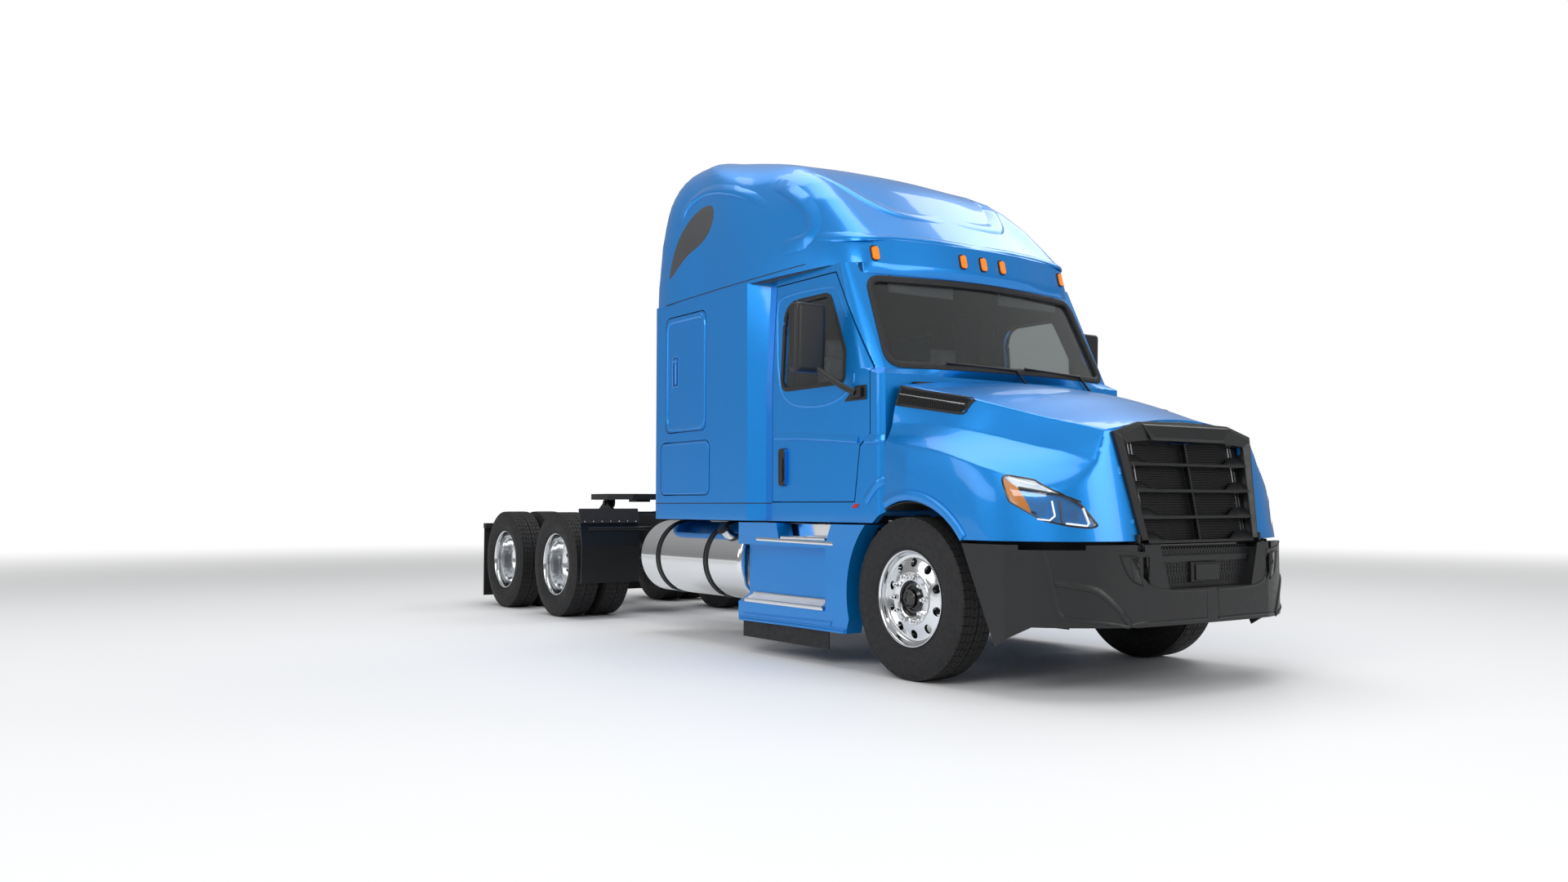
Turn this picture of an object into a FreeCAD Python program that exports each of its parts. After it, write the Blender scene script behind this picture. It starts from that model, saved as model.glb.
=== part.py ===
import FreeCAD, Part
import math
import os

# Semi truck tractor unit: a conventional cab with a raised-roof sleeper on three axles.
# Every shape is drawn with its zero at the front axle, on the ground, with +X forward
# and +Y to the left. The save step then moves it to the middle of the overall length.

V = FreeCAD.Vector
X_AXIS = V(1, 0, 0)
Y_AXIS = V(0, 1, 0)
Z_AXIS = V(0, 0, 1)

# Whole vehicle
overall_length = 8700.0
front_overhang = 1360.0
drive_axle_setback = 5345.0
drive_axle_spacing = 1326.0
half_width = 1200.0
cut_overrun = 60.0
running_gap = 0.3
door_gap = 9.0
seat_gap = 0.3

# Tyres and wheels
tyre_radius = 510.0
tyre_width = 284.0
tread_width = 236.0
tread_shoulder_drop = 14.0
tyre_bulge_radius = 400.0
tyre_sides = 28
bead_radius = 287.0
rim_radius = 286.5
rim_wall = 9.0
rim_flange_radius = 303.0
rim_width = 232.0
rim_flange_thickness = 9.0
wheel_disc_thickness = 22.0
wheel_disc_hub_radius = 142.0
wheel_pilot_radius = 110.0
front_disc_inset = 34.0
hand_hole_radius = 27.0
hand_hole_circle = 222.0
hand_hole_count = 10
front_wheel_offset = 1060.0
dual_centre = 908.0
dual_spacing = 330.0
front_hub_length = 128.0
front_hub_outboard = 96.0
rear_hub_outboard = 118.0
spindle_radius = 38.0
axle_end_radius = 52.0

# Frame
rail_outer = 432.0
rail_top = 1000.0
rail_height = 270.0
rail_flange = 89.0
rail_wall = 9.0
cab_mount_size = 90.0
rail_front = 1160.0
rail_rear = 7250.0
crossmember_size = 150.0
crossmember_thickness = 70.0
crossmember_shares = (0.012, 0.40, 0.50, 0.60, 0.725, 0.86, 0.985)
horn_thickness = 16.0
horn_height = 130.0

# Front axle, steering and springs
beam_height = 96.0
beam_width = 104.0
beam_drop = 110.0
kingpin_offset = 920.0
kingpin_radius = 22.0
kingpin_eye_radius = 50.0
kingpin_eye_height = 104.0
knuckle_ear_height = 36.0
knuckle_ear_gap = 5.5
knuckle_web_thickness = 46.0
knuckle_web_width = 96.0
steer_arm_length = 170.0
steer_arm_thickness = 26.0
steer_arm_width = 44.0
tie_rod_radius = 19.0
tie_rod_pin_radius = 12.0
tie_rod_drop = 112.0
spring_width = 100.0
spring_half_length = 720.0
spring_thickness = 52.0
spring_offset = 425.0

# Drive axles and rear suspension
axle_tube_radius = 66.0
differential_radius = 205.0
differential_width = 250.0
differential_nose = 250.0
bag_radius = 115.0
beam_arm_width = 80.0
beam_arm_height = 70.0
shaft_radius = 55.0

# Engine, gearbox and radiator
engine_rear = 262.0
engine_front = 860.0
engine_half_width = 360.0
engine_bottom = 560.0
engine_top = 1430.0
gearbox_length = 900.0
gearbox_half_width = 210.0
gearbox_bottom = 620.0
gearbox_top = 985.0
radiator_front = 1050.0
radiator_thickness = 110.0
radiator_half_width = 470.0
radiator_top = 1460.0

# Cab and sleeper
sleeper_back = 3360.0
sleeper_corner = 120.0
flute_back = 1840.0
flute_front = 1570.0
flute_floor = 1700.0
flute_half_width = 1118.0
door_half_width = 1150.0
cab_top_half_width = 1105.0
cab_wall = 46.0
cab_skirt_bottom = 975.0
cab_floor_top = 1160.0
cab_floor_thickness = 60.0
belt_height = 2000.0
roof_seam = 2760.0
firewall_front = 285.0
cowl_bow = 6.0
cowl_half_width = 1120.0
pillar_foot = 365.0
pillar_foot_half_width = 1070.0
cab_nose = 235.0
screen_lean = 0.48
pillar_lean = 0.48
door_rear = 1566.0
door_bottom = 1118.0
door_top = 2700.0
door_front_foot = 590.0
door_front_low = 530.0
door_front_step = 420.0
door_step_low = 1492.0
door_step_high = 1567.0
door_front_top = 846.0
window_bottom = 1925.0
window_top = 2558.0
window_rear = 1446.0
window_front = 695.0
window_front_top = 905.0
window_front_rise = 2140.0
window_corner_radii = (75.0, 60.0, 120.0, 90.0, 160.0)
glass_thickness = 6.0
glass_inset = 14.0
handle_length = 260.0
handle_width = 46.0
handle_stand = 22.0
handle_x = 1400.0
handle_bottom = 1235.0

# Luggage hatches on the sleeper
hatch_front = 2455.0
hatch_back = 3095.0
hatch_corner = 60.0
upper_hatch_bottom = 1690.0
upper_hatch_top = 2640.0
lower_hatch_bottom = 1176.0
lower_hatch_top = 1600.0
lower_hatch_back = 3180.0
lower_hatch_front = 2395.0

# Windscreen
screen_top = 2655.0
screen_bottom = 2015.0
screen_half_width_top = 985.0
screen_half_width_bottom = 1040.0

# Roof cap
roof_wall = 40.0
roof_window_thickness = 5.0
lamp_width = 42.0
lamp_height = 96.0
lamp_depth = 24.0

# Hood
hood_rear = 300.0
hood_wall = 26.0
hood_front_middle = 1300.0
hood_front_corner = 1272.0
hood_front_half_width = 540.0
hood_corner_radius = 660.0
hood_front_slope = 0.18
hood_bottom = 888.0
hood_rear_bottom = 1036.0
hood_rear_half_width = 1150.0
hood_crown_rear = 1975.0
arch_radius = 612.0
hinge_x = 1312.0
hinge_z = 848.0
hinge_eye_radius = 20.0
hinge_pin_radius = 9.0
hinge_arm_offset = 560.0
hinge_arm_thickness = 20.0

# Grille
grille_bottom = 892.0
grille_top = 1592.0
grille_half_width_bottom = 538.0
grille_half_width_top = 632.0
grille_frame_width = 52.0
grille_depth = 70.0
blade_rises = (447.0, 290.0, 133.0, 6.0)
blade_height = 17.0
wing_height = 56.0
wing_flat = 105.0
wing_end = 200.0
centre_bar_width = 17.0
grille_band = 100.0
grille_band_drop = 18.0

# Bumper
bumper_front = 1360.0
bumper_top = 868.0
bumper_bottom = 408.0
bumper_side_bottom = 288.0
bumper_wall = 14.0
bumper_rear = 500.0

# Mirrors
mirror_front = 900.0
mirror_bottom = 1985.0
mirror_height = 470.0
mirror_width = 250.0
mirror_depth = 130.0
mirror_inner = 1235.0
mirror_arm = 34.0

# Fuel tanks, side boxes and steps
tank_radius = 305.0
tank_offset = 868.0
tank_height = 655.0
tank_back = 3600.0
tank_front = 1992.0
strap_width = 50.0
strap_thickness = 6.0
strap_shares = (0.19, 0.675)
side_box_outer = 1040.0
side_box_inner = 500.0
side_box_front = 905.0
side_box_back = 1900.0
side_box_bottom = 790.0
side_box_top = 955.0
side_box_corner = 40.0
step_back = 1955.0
step_front = 790.0
step_bottom = 238.0
step_top = 962.0
step_panel_outer = 1075.0
step_wall = 25.0
upper_step_height = 850.0
lower_step_height = 425.0
tread_slope = 0.55
step_skirt_bottom = 112.0
step_skirt_thickness = 8.0
tread_thickness = 14.0

# Rear fenders, flaps and lamps
fender_x = 4700.0
fender_outer = 1215.0
fender_inner = 605.0
fender_bottom = 354.0
fender_top = 1050.0
fender_thickness = 12.0
flap_outer = 1190.0
flap_inner = 590.0
flap_bottom = 90.0
flap_top = 830.0
flap_thickness = 10.0
tail_lamp_depth = 30.0

# Fifth wheel
coupling_x = 5860.0
coupling_top = 1205.0
plate_thickness = 26.0
plate_half_width = 475.0
plate_front_reach = 330.0
plate_back_reach = 560.0
plate_rim_depth = 60.0
kingpin_bore_radius = 25.4
jaw_depth = 84.0
pivot_drop = 95.0
pivot_radius = 24.0
bracket_thickness = 34.0
bracket_offset = 390.0

# Door and hatch stops inside the openings
door_stop_thickness = 12.0
door_stop_overlap = 20.0
stop_gap_back = 530.0
stop_gap_low = 1940.0
stop_gap_high = 2150.0
screen_corner = 85.0

# Roof cap outline: height, nose, corner, turn, side start, full width, back, rear corner radius
roof_rise = 1235.0
roof_level_shares = (
    (0.000, 0.161, (0.202, 0.821), (0.244, 0.904), (0.342, 0.954), (0.565, 0.990), 0.998, 0.100),
    (0.146, 0.173, (0.214, 0.812), (0.256, 0.896), (0.351, 0.950), (0.565, 0.985), 0.998, 0.100),
    (0.275, 0.232, (0.262, 0.808), (0.301, 0.879), (0.402, 0.938), (0.580, 0.977), 0.997, 0.108),
    (0.432, 0.301, (0.321, 0.796), (0.360, 0.867), (0.464, 0.923), (0.610, 0.968), 0.998, 0.125),
    (0.563, 0.360, (0.379, 0.767), (0.420, 0.842), (0.530, 0.900), (0.640, 0.952), 0.996, 0.142),
    (0.648, 0.403, (0.426, 0.738), (0.470, 0.812), (0.565, 0.878), (0.667, 0.938), 0.994, 0.150),
    (0.713, 0.446, (0.473, 0.704), (0.521, 0.783), (0.604, 0.853), (0.693, 0.922), 0.993, 0.158),
    (0.769, 0.497, (0.527, 0.667), (0.571, 0.746), (0.640, 0.823), (0.720, 0.903), 0.990, 0.171),
    (0.822, 0.555, (0.586, 0.621), (0.628, 0.704), (0.682, 0.787), (0.750, 0.879), 0.987, 0.183),
    (0.870, 0.616, (0.646, 0.575), (0.679, 0.662), (0.720, 0.748), (0.780, 0.847), 0.982, 0.192),
    (0.911, 0.673, (0.699, 0.525), (0.726, 0.613), (0.759, 0.700), (0.810, 0.808), 0.976, 0.200),
    (0.943, 0.717, (0.738, 0.475), (0.759, 0.562), (0.786, 0.650), (0.830, 0.762), 0.969, 0.208),
    (0.969, 0.756, (0.771, 0.417), (0.787, 0.504), (0.810, 0.592), (0.845, 0.708), 0.959, 0.212),
    (0.988, 0.786, (0.798, 0.354), (0.810, 0.438), (0.826, 0.525), (0.851, 0.642), 0.948, 0.188),
    (1.000, 0.812, (0.821, 0.283), (0.830, 0.362), (0.842, 0.442), (0.857, 0.542), 0.932, 0.158))
knot_power = 0.8
nose_bow_shares = ((0.5, 0.25), (0.8, 0.64))
roof_lip_height = 26.0
roof_window_back = 3060.0
roof_window_front = 2430.0
roof_window_bottom = 3000.0
roof_window_top = 3460.0
lamp_middle = 2828.0
lamp_outer = 909.0
lamp_inner = 191.0
lamp_back = 900.0
drop_shares = ((0.0, 0.0), (0.30, 0.20), (0.62, 0.25), (0.92, 0.13), (1.0, 0.0), (0.90, -0.13), (0.55, -0.12),
               (0.22, -0.05))

# Inside the cab
dash_front = 350.0
dash_back = 660.0
dash_bottom = 1560.0
dash_top = 1890.0
dash_brow = 60.0
dash_half_width = 1000.0
seat_offset = 520.0
steering_x = 880.0
steering_z = 1960.0
steering_radius = 225.0
steering_rim = 15.0
seat_x = 1330.0
seat_depth = 500.0
seat_half_width = 255.0
seat_height = 1620.0
seat_cushion = 120.0
seat_back_top = 2330.0
bunk_front = 2500.0
bunk_height = 1760.0

# Hood outline
hood_rear_step = 25.0
hood_rear_bow = 110.0
vent_rear = -262.0
vent_rear_low = 1742.0
vent_rear_high = 1880.0
vent_front = 352.0
vent_front_low = 272.0
vent_front_top = 1739.0
vent_front_bottom = 1652.0
vent_inner = 850.0
vent_depth = 14.0
headlamp_depth = 60.0
# Along, crown height, then width and height of the fender, shoulder, valley and edge
hood_section_shares = (
    (0.0, 1.005, (1.05, 0.66), (0.967, 0.76), (0.950, 0.87), (0.880, 0.962)),
    (0.34, 0.948, (1.05, 0.63), (0.957, 0.725), (0.900, 0.81), (0.800, 0.900)),
    (0.64, 0.870, (1.05, 0.60), (0.920, 0.670), (0.770, 0.75), (0.670, 0.832)),
    (0.82, 0.826, (1.05, 0.55), (0.830, 0.625), (0.660, 0.71), (0.580, 0.793)),
    (1.0, 0.790, (1.05, 0.50), (0.720, 0.560), (0.580, 0.66), (0.485, 0.750)))

# Headlamp corners from the side, rear top first
lamp_points = ((760.0, 1278.0), (935.0, 1240.0), (1075.0, 1160.0), (1150.0, 1090.0), (1215.0, 955.0),
               (1120.0, 972.0),
               (1020.0, 1003.0), (845.0, 1112.0))

# Grille
grille_chamfer = 62.0
grille_stand = 26.0
grille_flat_half_width = 420.0

# Bumper outline
bumper_bow = 18.0
bumper_flat_half_width = 560.0
bumper_fold_x = 860.0
bumper_fold_sweep = 190.0
bumper_foot_x = 778.0
mouth_half_bottom = 380.0
mouth_half_top = 470.0
mouth_bottom = 612.0
mouth_depth = 85.0
slot_step = 70.0
slot_width = 46.0
slot_bottom = 640.0
slot_top = 800.0
bracket_back = 1060.0

# Wipers and cowl
cowl_height = 1890.0
cowl_reach = 900.0
cowl_thickness = 14.0
wiper_radius = 8.0
wiper_knee = 100.0
wiper_reach = 600.0
wiper_pivot_shares = (0.10, 0.77)

# Fuel filler and blue step pillar
filler_radius = 42.0
filler_back = 2290.0
pillar_length = 540.0
step_depth = 130.0
step_foot = 170.0

datum_to_middle = overall_length / 2 - front_overhang
rear_end = front_overhang - overall_length
first_drive_axle = -drive_axle_setback
second_drive_axle = -drive_axle_setback - drive_axle_spacing


def block(x0, x1, y0, y1, z0, z1):
    size = (abs(x1 - x0), abs(y1 - y0), abs(z1 - z0))
    corner = V(min(x0, x1), min(y0, y1), min(z0, z1))
    return Part.makeBox(*size, corner)


def wire_through(points):
    return Part.makePolygon(list(points) + [points[0]])


def plate_xz(points, y0, y1):
    """A side-view outline of (x, z) points, from y0 to y1."""
    face = Part.Face(wire_through([V(x, y0, z) for x, z in points]))
    return face.extrude(V(0, y1 - y0, 0))


def plate_xy(points, z0, z1):
    face = Part.Face(wire_through([V(x, y, z0) for x, y in points]))
    return face.extrude(V(0, 0, z1 - z0))


def plate_yz(points, x0, x1):
    face = Part.Face(wire_through([V(x0, y, z) for y, z in points]))
    return face.extrude(V(x1 - x0, 0, 0))


def rounded(outline, radius, thickness_axis):
    """Round the edges of a prism that run along thickness_axis."""
    edges = [e for e in outline.Edges
             if e.Curve.TypeId == "Part::GeomLine" and abs(e.Curve.Direction.dot(thickness_axis)) > 0.999]
    return outline.makeFillet(radius, edges)


def drum(centre, axis, radius, length):
    """A cylinder centred on its point."""
    return Part.makeCylinder(radius, length, centre - axis * (length / 2), axis)


def revolved_y(profile, centre):
    """Turn a closed (radius, y) outline about the Y line through centre."""
    face = Part.Face(wire_through([centre + V(r, y, 0) for r, y in profile]))
    return face.revolve(centre, Y_AXIS, 360)


def other_side(shape):
    return shape.mirror(V(0, 0, 0), Y_AXIS)


def joined(shapes):
    result = shapes[0].fuse(shapes[1:]) if len(shapes) > 1 else shapes[0]
    return result.removeSplitter()


def pair(shape):
    return Part.makeCompound([shape, other_side(shape)])


def solid_of(shape):
    """The one solid of a boolean's result."""
    return shape.Solids[0] if len(shape.Solids) == 1 else shape


def save(name, shape):
    moved = shape.copy()
    moved.translate(V(datum_to_middle, 0, 0))
    moved.exportStep("parts/" + name + ".step")


# Tyres and wheels

def tyre_ring(centre):
    """A tyre with flat facets, so that a flat stretch stands on the ground."""
    half_tread = tread_width / 2
    half_width_here = tyre_width / 2
    half_bead = rim_width / 2 - rim_flange_thickness - running_gap
    bead_top = rim_flange_radius + running_gap * 4
    profile = ((bead_radius, -half_bead), (bead_radius, half_bead), (bead_top, half_bead),
               (tyre_bulge_radius, half_width_here),
               (tyre_radius - tread_shoulder_drop, half_tread + tread_shoulder_drop / 2),
               (tyre_radius, half_tread - tread_shoulder_drop),
               (tyre_radius, tread_shoulder_drop - half_tread),
               (tyre_radius - tread_shoulder_drop, -half_tread - tread_shoulder_drop / 2),
               (tyre_bulge_radius, -half_width_here), (bead_top, -half_bead))
    turn = 2 * math.pi / tyre_sides
    corner_share = 1 / math.cos(turn / 2)

    def corner(radius, y, index):
        angle = turn * (index + 1 / 2)
        reach = radius * corner_share
        return centre + V(reach * math.sin(angle), y, -reach * math.cos(angle))

    faces = []
    count = len(profile)
    for index in range(tyre_sides):
        for here in range(count):
            following = (here + 1) % count
            ring = [corner(*profile[here], index), corner(*profile[following], index),
                    corner(*profile[following], index + 1), corner(*profile[here], index + 1)]
            faces.append(Part.Face(wire_through(ring)))
    solid = Part.makeSolid(Part.makeShell(faces))
    if solid.Volume < 0:
        solid.reverse()
    return solid


def rim_barrel(centre):
    half = rim_width / 2
    inner = rim_radius - rim_wall
    profile = ((inner, -half), (rim_flange_radius, -half), (rim_flange_radius, rim_flange_thickness - half),
               (rim_radius, rim_flange_thickness - half), (rim_radius, half - rim_flange_thickness),
               (rim_flange_radius, half - rim_flange_thickness), (rim_flange_radius, half), (inner, half))
    return revolved_y(profile, centre)


def hand_holes(centre, depth):
    holes = []
    for index in range(hand_hole_count):
        angle = 2 * math.pi * index / hand_hole_count
        place = centre + V(hand_hole_circle * math.cos(angle), 0, hand_hole_circle * math.sin(angle))
        holes.append(drum(place, Y_AXIS, hand_hole_radius, depth))
    return holes


def wheel_disc(centre, hub_y, rim_y, side):
    """A dished disc from the bolt flat at hub_y out to the barrel at rim_y."""
    t = wheel_disc_thickness * side
    inner = rim_radius - rim_wall / 2
    profile = ((0, hub_y - t), (wheel_disc_hub_radius, hub_y - t), (inner, rim_y - t), (inner, rim_y),
               (wheel_disc_hub_radius, hub_y), (0, hub_y))
    return revolved_y(profile, centre)


def front_rim(side):
    """One steered wheel with its hub, on the side given by the sign."""
    centre = V(0, side * front_wheel_offset, tyre_radius)
    half = rim_width / 2
    face = side * (half - front_disc_inset)
    disc = wheel_disc(centre, face, face - side * wheel_disc_thickness, side)
    hub_out = side * front_hub_outboard
    hub_in = hub_out - side * front_hub_length
    hub = drum(centre + V(0, (hub_out + hub_in) / 2, 0), Y_AXIS, wheel_pilot_radius, front_hub_length)
    cap = drum(centre + V(0, hub_out, 0), Y_AXIS, wheel_pilot_radius * 0.62, front_disc_inset * 1.5)
    body = rim_barrel(centre).fuse([disc, hub, cap])
    body = body.cut(hand_holes(centre + V(0, face, 0), wheel_disc_thickness * 6))
    bore_length = front_hub_length - wheel_disc_thickness
    bore = drum(centre + V(0, hub_in + side * (bore_length / 2 - cut_overrun / 2), 0), Y_AXIS,
                spindle_radius + running_gap, bore_length + cut_overrun)
    return solid_of(body.cut(bore).removeSplitter())


def rear_rims(x, side):
    """Twin wheels on one hub: two barrels whose discs meet at the middle."""
    middle = V(x, side * dual_centre, tyre_radius)
    half_gap = dual_spacing / 2
    disc_reach = dual_spacing / 2 - rim_width * 0.2
    solids = []
    for direction in (side, -side):
        centre = middle + V(0, direction * half_gap, 0)
        solids.append(rim_barrel(centre))
        solids.append(wheel_disc(middle, direction * wheel_disc_thickness, direction * disc_reach, direction))
    hub_out = side * rear_hub_outboard
    hub_in = side * -(half_gap + rim_width / 2)
    solids.append(drum(middle + V(0, (hub_out + hub_in) / 2, 0), Y_AXIS, wheel_pilot_radius,
                       abs(hub_out - hub_in)))
    body = solids[0].fuse(solids[1:])
    body = body.cut(hand_holes(middle, dual_spacing))
    bore_length = abs(hub_out - hub_in) - wheel_disc_thickness
    bore_start = hub_in - side * cut_overrun
    bore = drum(middle + V(0, bore_start + side * (bore_length + cut_overrun) / 2, 0), Y_AXIS,
                axle_end_radius + running_gap, bore_length + cut_overrun)
    return solid_of(body.cut(bore).removeSplitter())


def make_wheels():
    for side, word in ((-1, "right"), (1, "left")):
        save("tyre_front_" + word, tyre_ring(V(0, side * front_wheel_offset, tyre_radius)))
        save("rim_front_" + word, front_rim(side))
        for x, axle in ((first_drive_axle, "drive1"), (second_drive_axle, "drive2")):
            pair_of_tyres = [tyre_ring(V(x, side * (dual_centre + step * dual_spacing / 2), tyre_radius))
                             for step in (-1, 1)]
            save("tyres_" + axle + "_" + word, Part.makeCompound(pair_of_tyres))
            save("rims_" + axle + "_" + word, rear_rims(x, side))


# Frame

def frame_rails():
    """Two channel rails, the crossmembers between them and the horns at the front."""
    inner = rail_outer - rail_flange
    bottom = rail_top - rail_height
    channel = ((rail_outer, bottom), (rail_outer, rail_top), (inner, rail_top), (inner, rail_top - rail_wall),
               (rail_outer - rail_wall, rail_top - rail_wall), (rail_outer - rail_wall, bottom + rail_wall),
               (inner, bottom + rail_wall), (inner, bottom))
    rail = plate_yz(channel, -rail_rear, rail_front)
    pieces = [rail, other_side(rail)]
    for share in crossmember_shares:
        x = rail_front - share * (rail_front + rail_rear)
        web = rail_outer - rail_wall
        middle = rail_top - rail_wall - crossmember_size / 2
        pieces.append(block(x - crossmember_thickness / 2, x + crossmember_thickness / 2, -web, web,
                            middle - crossmember_size / 2, middle + crossmember_size / 2))
    for x in (-firewall_front - cab_mount_size, -sleeper_back * 0.5,
              -sleeper_back + cab_wall + cab_mount_size):
        mount = block(x - cab_mount_size / 2, x + cab_mount_size / 2, inner, rail_outer, rail_top,
                      cab_floor_top - cab_floor_thickness - seat_gap)
        pieces += [mount, other_side(mount)]
    horn_back = rail_front - horn_height
    horn_top = hinge_z + hinge_eye_radius
    horn_y = hinge_arm_offset + hinge_arm_thickness / 2 + door_gap
    profile = ((horn_back, bottom), (hinge_x - hinge_eye_radius * 2, bottom),
               (hinge_x + seat_gap, hinge_z - horn_thickness),
               (hinge_x + seat_gap, hinge_z + horn_thickness), (horn_back, horn_top))
    horn = plate_xz(profile, horn_y, horn_y + horn_thickness)
    foot = block(horn_back, horn_back + crossmember_thickness, rail_outer, horn_y + horn_thickness, bottom,
                 horn_top)
    pieces += [foot, other_side(foot)]
    pin_reach = hinge_arm_offset - hinge_arm_thickness * 0.7
    pin = drum(V(hinge_x, (horn_y + pin_reach) / 2, hinge_z), Y_AXIS, hinge_pin_radius, horn_y - pin_reach)
    for piece in (horn, pin):
        pieces += [piece, other_side(piece)]
    return joined(pieces)


# Front axle and steering

def front_axle():
    """A dropped beam with an eye for the kingpin at each end."""
    eye_z = tyre_radius
    beam_top = eye_z - beam_drop + beam_height / 2
    seat = spring_offset + spring_width
    half_eye, neck = beam_height / 2, kingpin_offset - kingpin_eye_radius * 2.6
    outline = ((-kingpin_offset, eye_z + half_eye), (-kingpin_offset, eye_z - half_eye),
               (-neck, eye_z - half_eye),
               (-seat, beam_top - beam_height), (seat, beam_top - beam_height), (neck, eye_z - half_eye),
               (kingpin_offset, eye_z - half_eye), (kingpin_offset, eye_z + half_eye),
               (neck, eye_z + half_eye),
               (seat, beam_top), (-seat, beam_top), (-neck, eye_z + half_eye))
    beam = plate_yz(outline, -beam_width / 2, beam_width / 2)
    eye = drum(V(0, kingpin_offset, eye_z), Z_AXIS, kingpin_eye_radius, kingpin_eye_height)
    room = drum(V(0, kingpin_offset, eye_z), Z_AXIS, kingpin_eye_radius + knuckle_web_thickness,
                kingpin_eye_height * 2)
    outer = block(-beam_width, beam_width, kingpin_offset, kingpin_offset + beam_width, 0, eye_z * 2)
    body = beam.cut([outer, other_side(outer)]).fuse([eye, other_side(eye)])
    clear = room.cut(drum(V(0, kingpin_offset, eye_z), Z_AXIS, kingpin_eye_radius, kingpin_eye_height * 3))
    neck = block(-beam_width / 3, beam_width / 3, 0, kingpin_offset, 0, eye_z * 2)
    clear = clear.cut(neck)
    body = body.cut([clear, other_side(clear)])
    hole = drum(V(0, kingpin_offset, eye_z), Z_AXIS, kingpin_radius + running_gap, kingpin_eye_height * 2)
    return solid_of(body.cut([hole, other_side(hole)]).removeSplitter())


def knuckle(side):
    """The yoke, kingpin, spindle and steering arm that carry one front wheel."""
    eye_z = tyre_radius
    pin_line = V(0, side * kingpin_offset, eye_z)
    reach = kingpin_eye_height / 2 + knuckle_ear_gap
    ear_rise = reach + knuckle_ear_height / 2
    solids = [drum(pin_line, Z_AXIS, kingpin_radius, 2 * (reach + knuckle_ear_height))]
    web_in = kingpin_eye_radius + knuckle_ear_gap
    for sign in (-1, 1):
        level = V(0, 0, sign * ear_rise)
        solids.append(drum(pin_line + level, Z_AXIS, kingpin_eye_radius, knuckle_ear_height))
        solids.append(block(-knuckle_web_width / 2, knuckle_web_width / 2, side * kingpin_offset,
                            side * (kingpin_offset + web_in + knuckle_web_thickness),
                            eye_z + sign * reach, eye_z + sign * (reach + knuckle_ear_height)))
    web = block(-knuckle_web_width / 2, knuckle_web_width / 2, side * (kingpin_offset + web_in),
                side * (kingpin_offset + web_in + knuckle_web_thickness), eye_z - ear_rise, eye_z + ear_rise)
    spindle_start = kingpin_offset + web_in
    spindle_end = front_wheel_offset + front_hub_outboard - wheel_disc_thickness * 2
    spindle = drum(V(0, side * (spindle_start + spindle_end) / 2, eye_z), Y_AXIS, spindle_radius,
                   spindle_end - spindle_start)
    arm_z = eye_z - reach - knuckle_ear_height / 2
    arm = block(-steer_arm_length, 0, side * (kingpin_offset - steer_arm_width / 2),
                side * (kingpin_offset + steer_arm_width / 2), arm_z - steer_arm_thickness / 2,
                arm_z + steer_arm_thickness / 2)
    arm_end = V(-steer_arm_length, side * kingpin_offset, arm_z)
    arm_boss = drum(arm_end, Z_AXIS, steer_arm_width / 2, steer_arm_thickness)
    boss_hole = drum(arm_end, Z_AXIS, tie_rod_pin_radius + running_gap, steer_arm_thickness * 2)
    solids += [web, spindle, arm, arm_boss]
    return solid_of(joined(solids).cut(boss_hole))


def tie_rod():
    """The track rod under the steering arms, with a ball pin up into each."""
    arm_z = tyre_radius - kingpin_eye_height / 2 - knuckle_ear_gap - knuckle_ear_height / 2
    rod_z = tyre_radius - tie_rod_drop
    rod = drum(V(-steer_arm_length, 0, rod_z), Y_AXIS, tie_rod_radius, 2 * kingpin_offset)
    solids = [rod]
    for side in (-1, 1):
        end = V(-steer_arm_length, side * kingpin_offset, rod_z)
        solids.append(drum(end, Z_AXIS, steer_arm_width / 2, 2 * tie_rod_radius + knuckle_ear_gap))
        pin_top = arm_z + steer_arm_thickness / 2
        pin = Part.makeCylinder(tie_rod_pin_radius, pin_top - rod_z, end, Z_AXIS)
        solids.append(pin)
    return solid_of(joined(solids))


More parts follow.
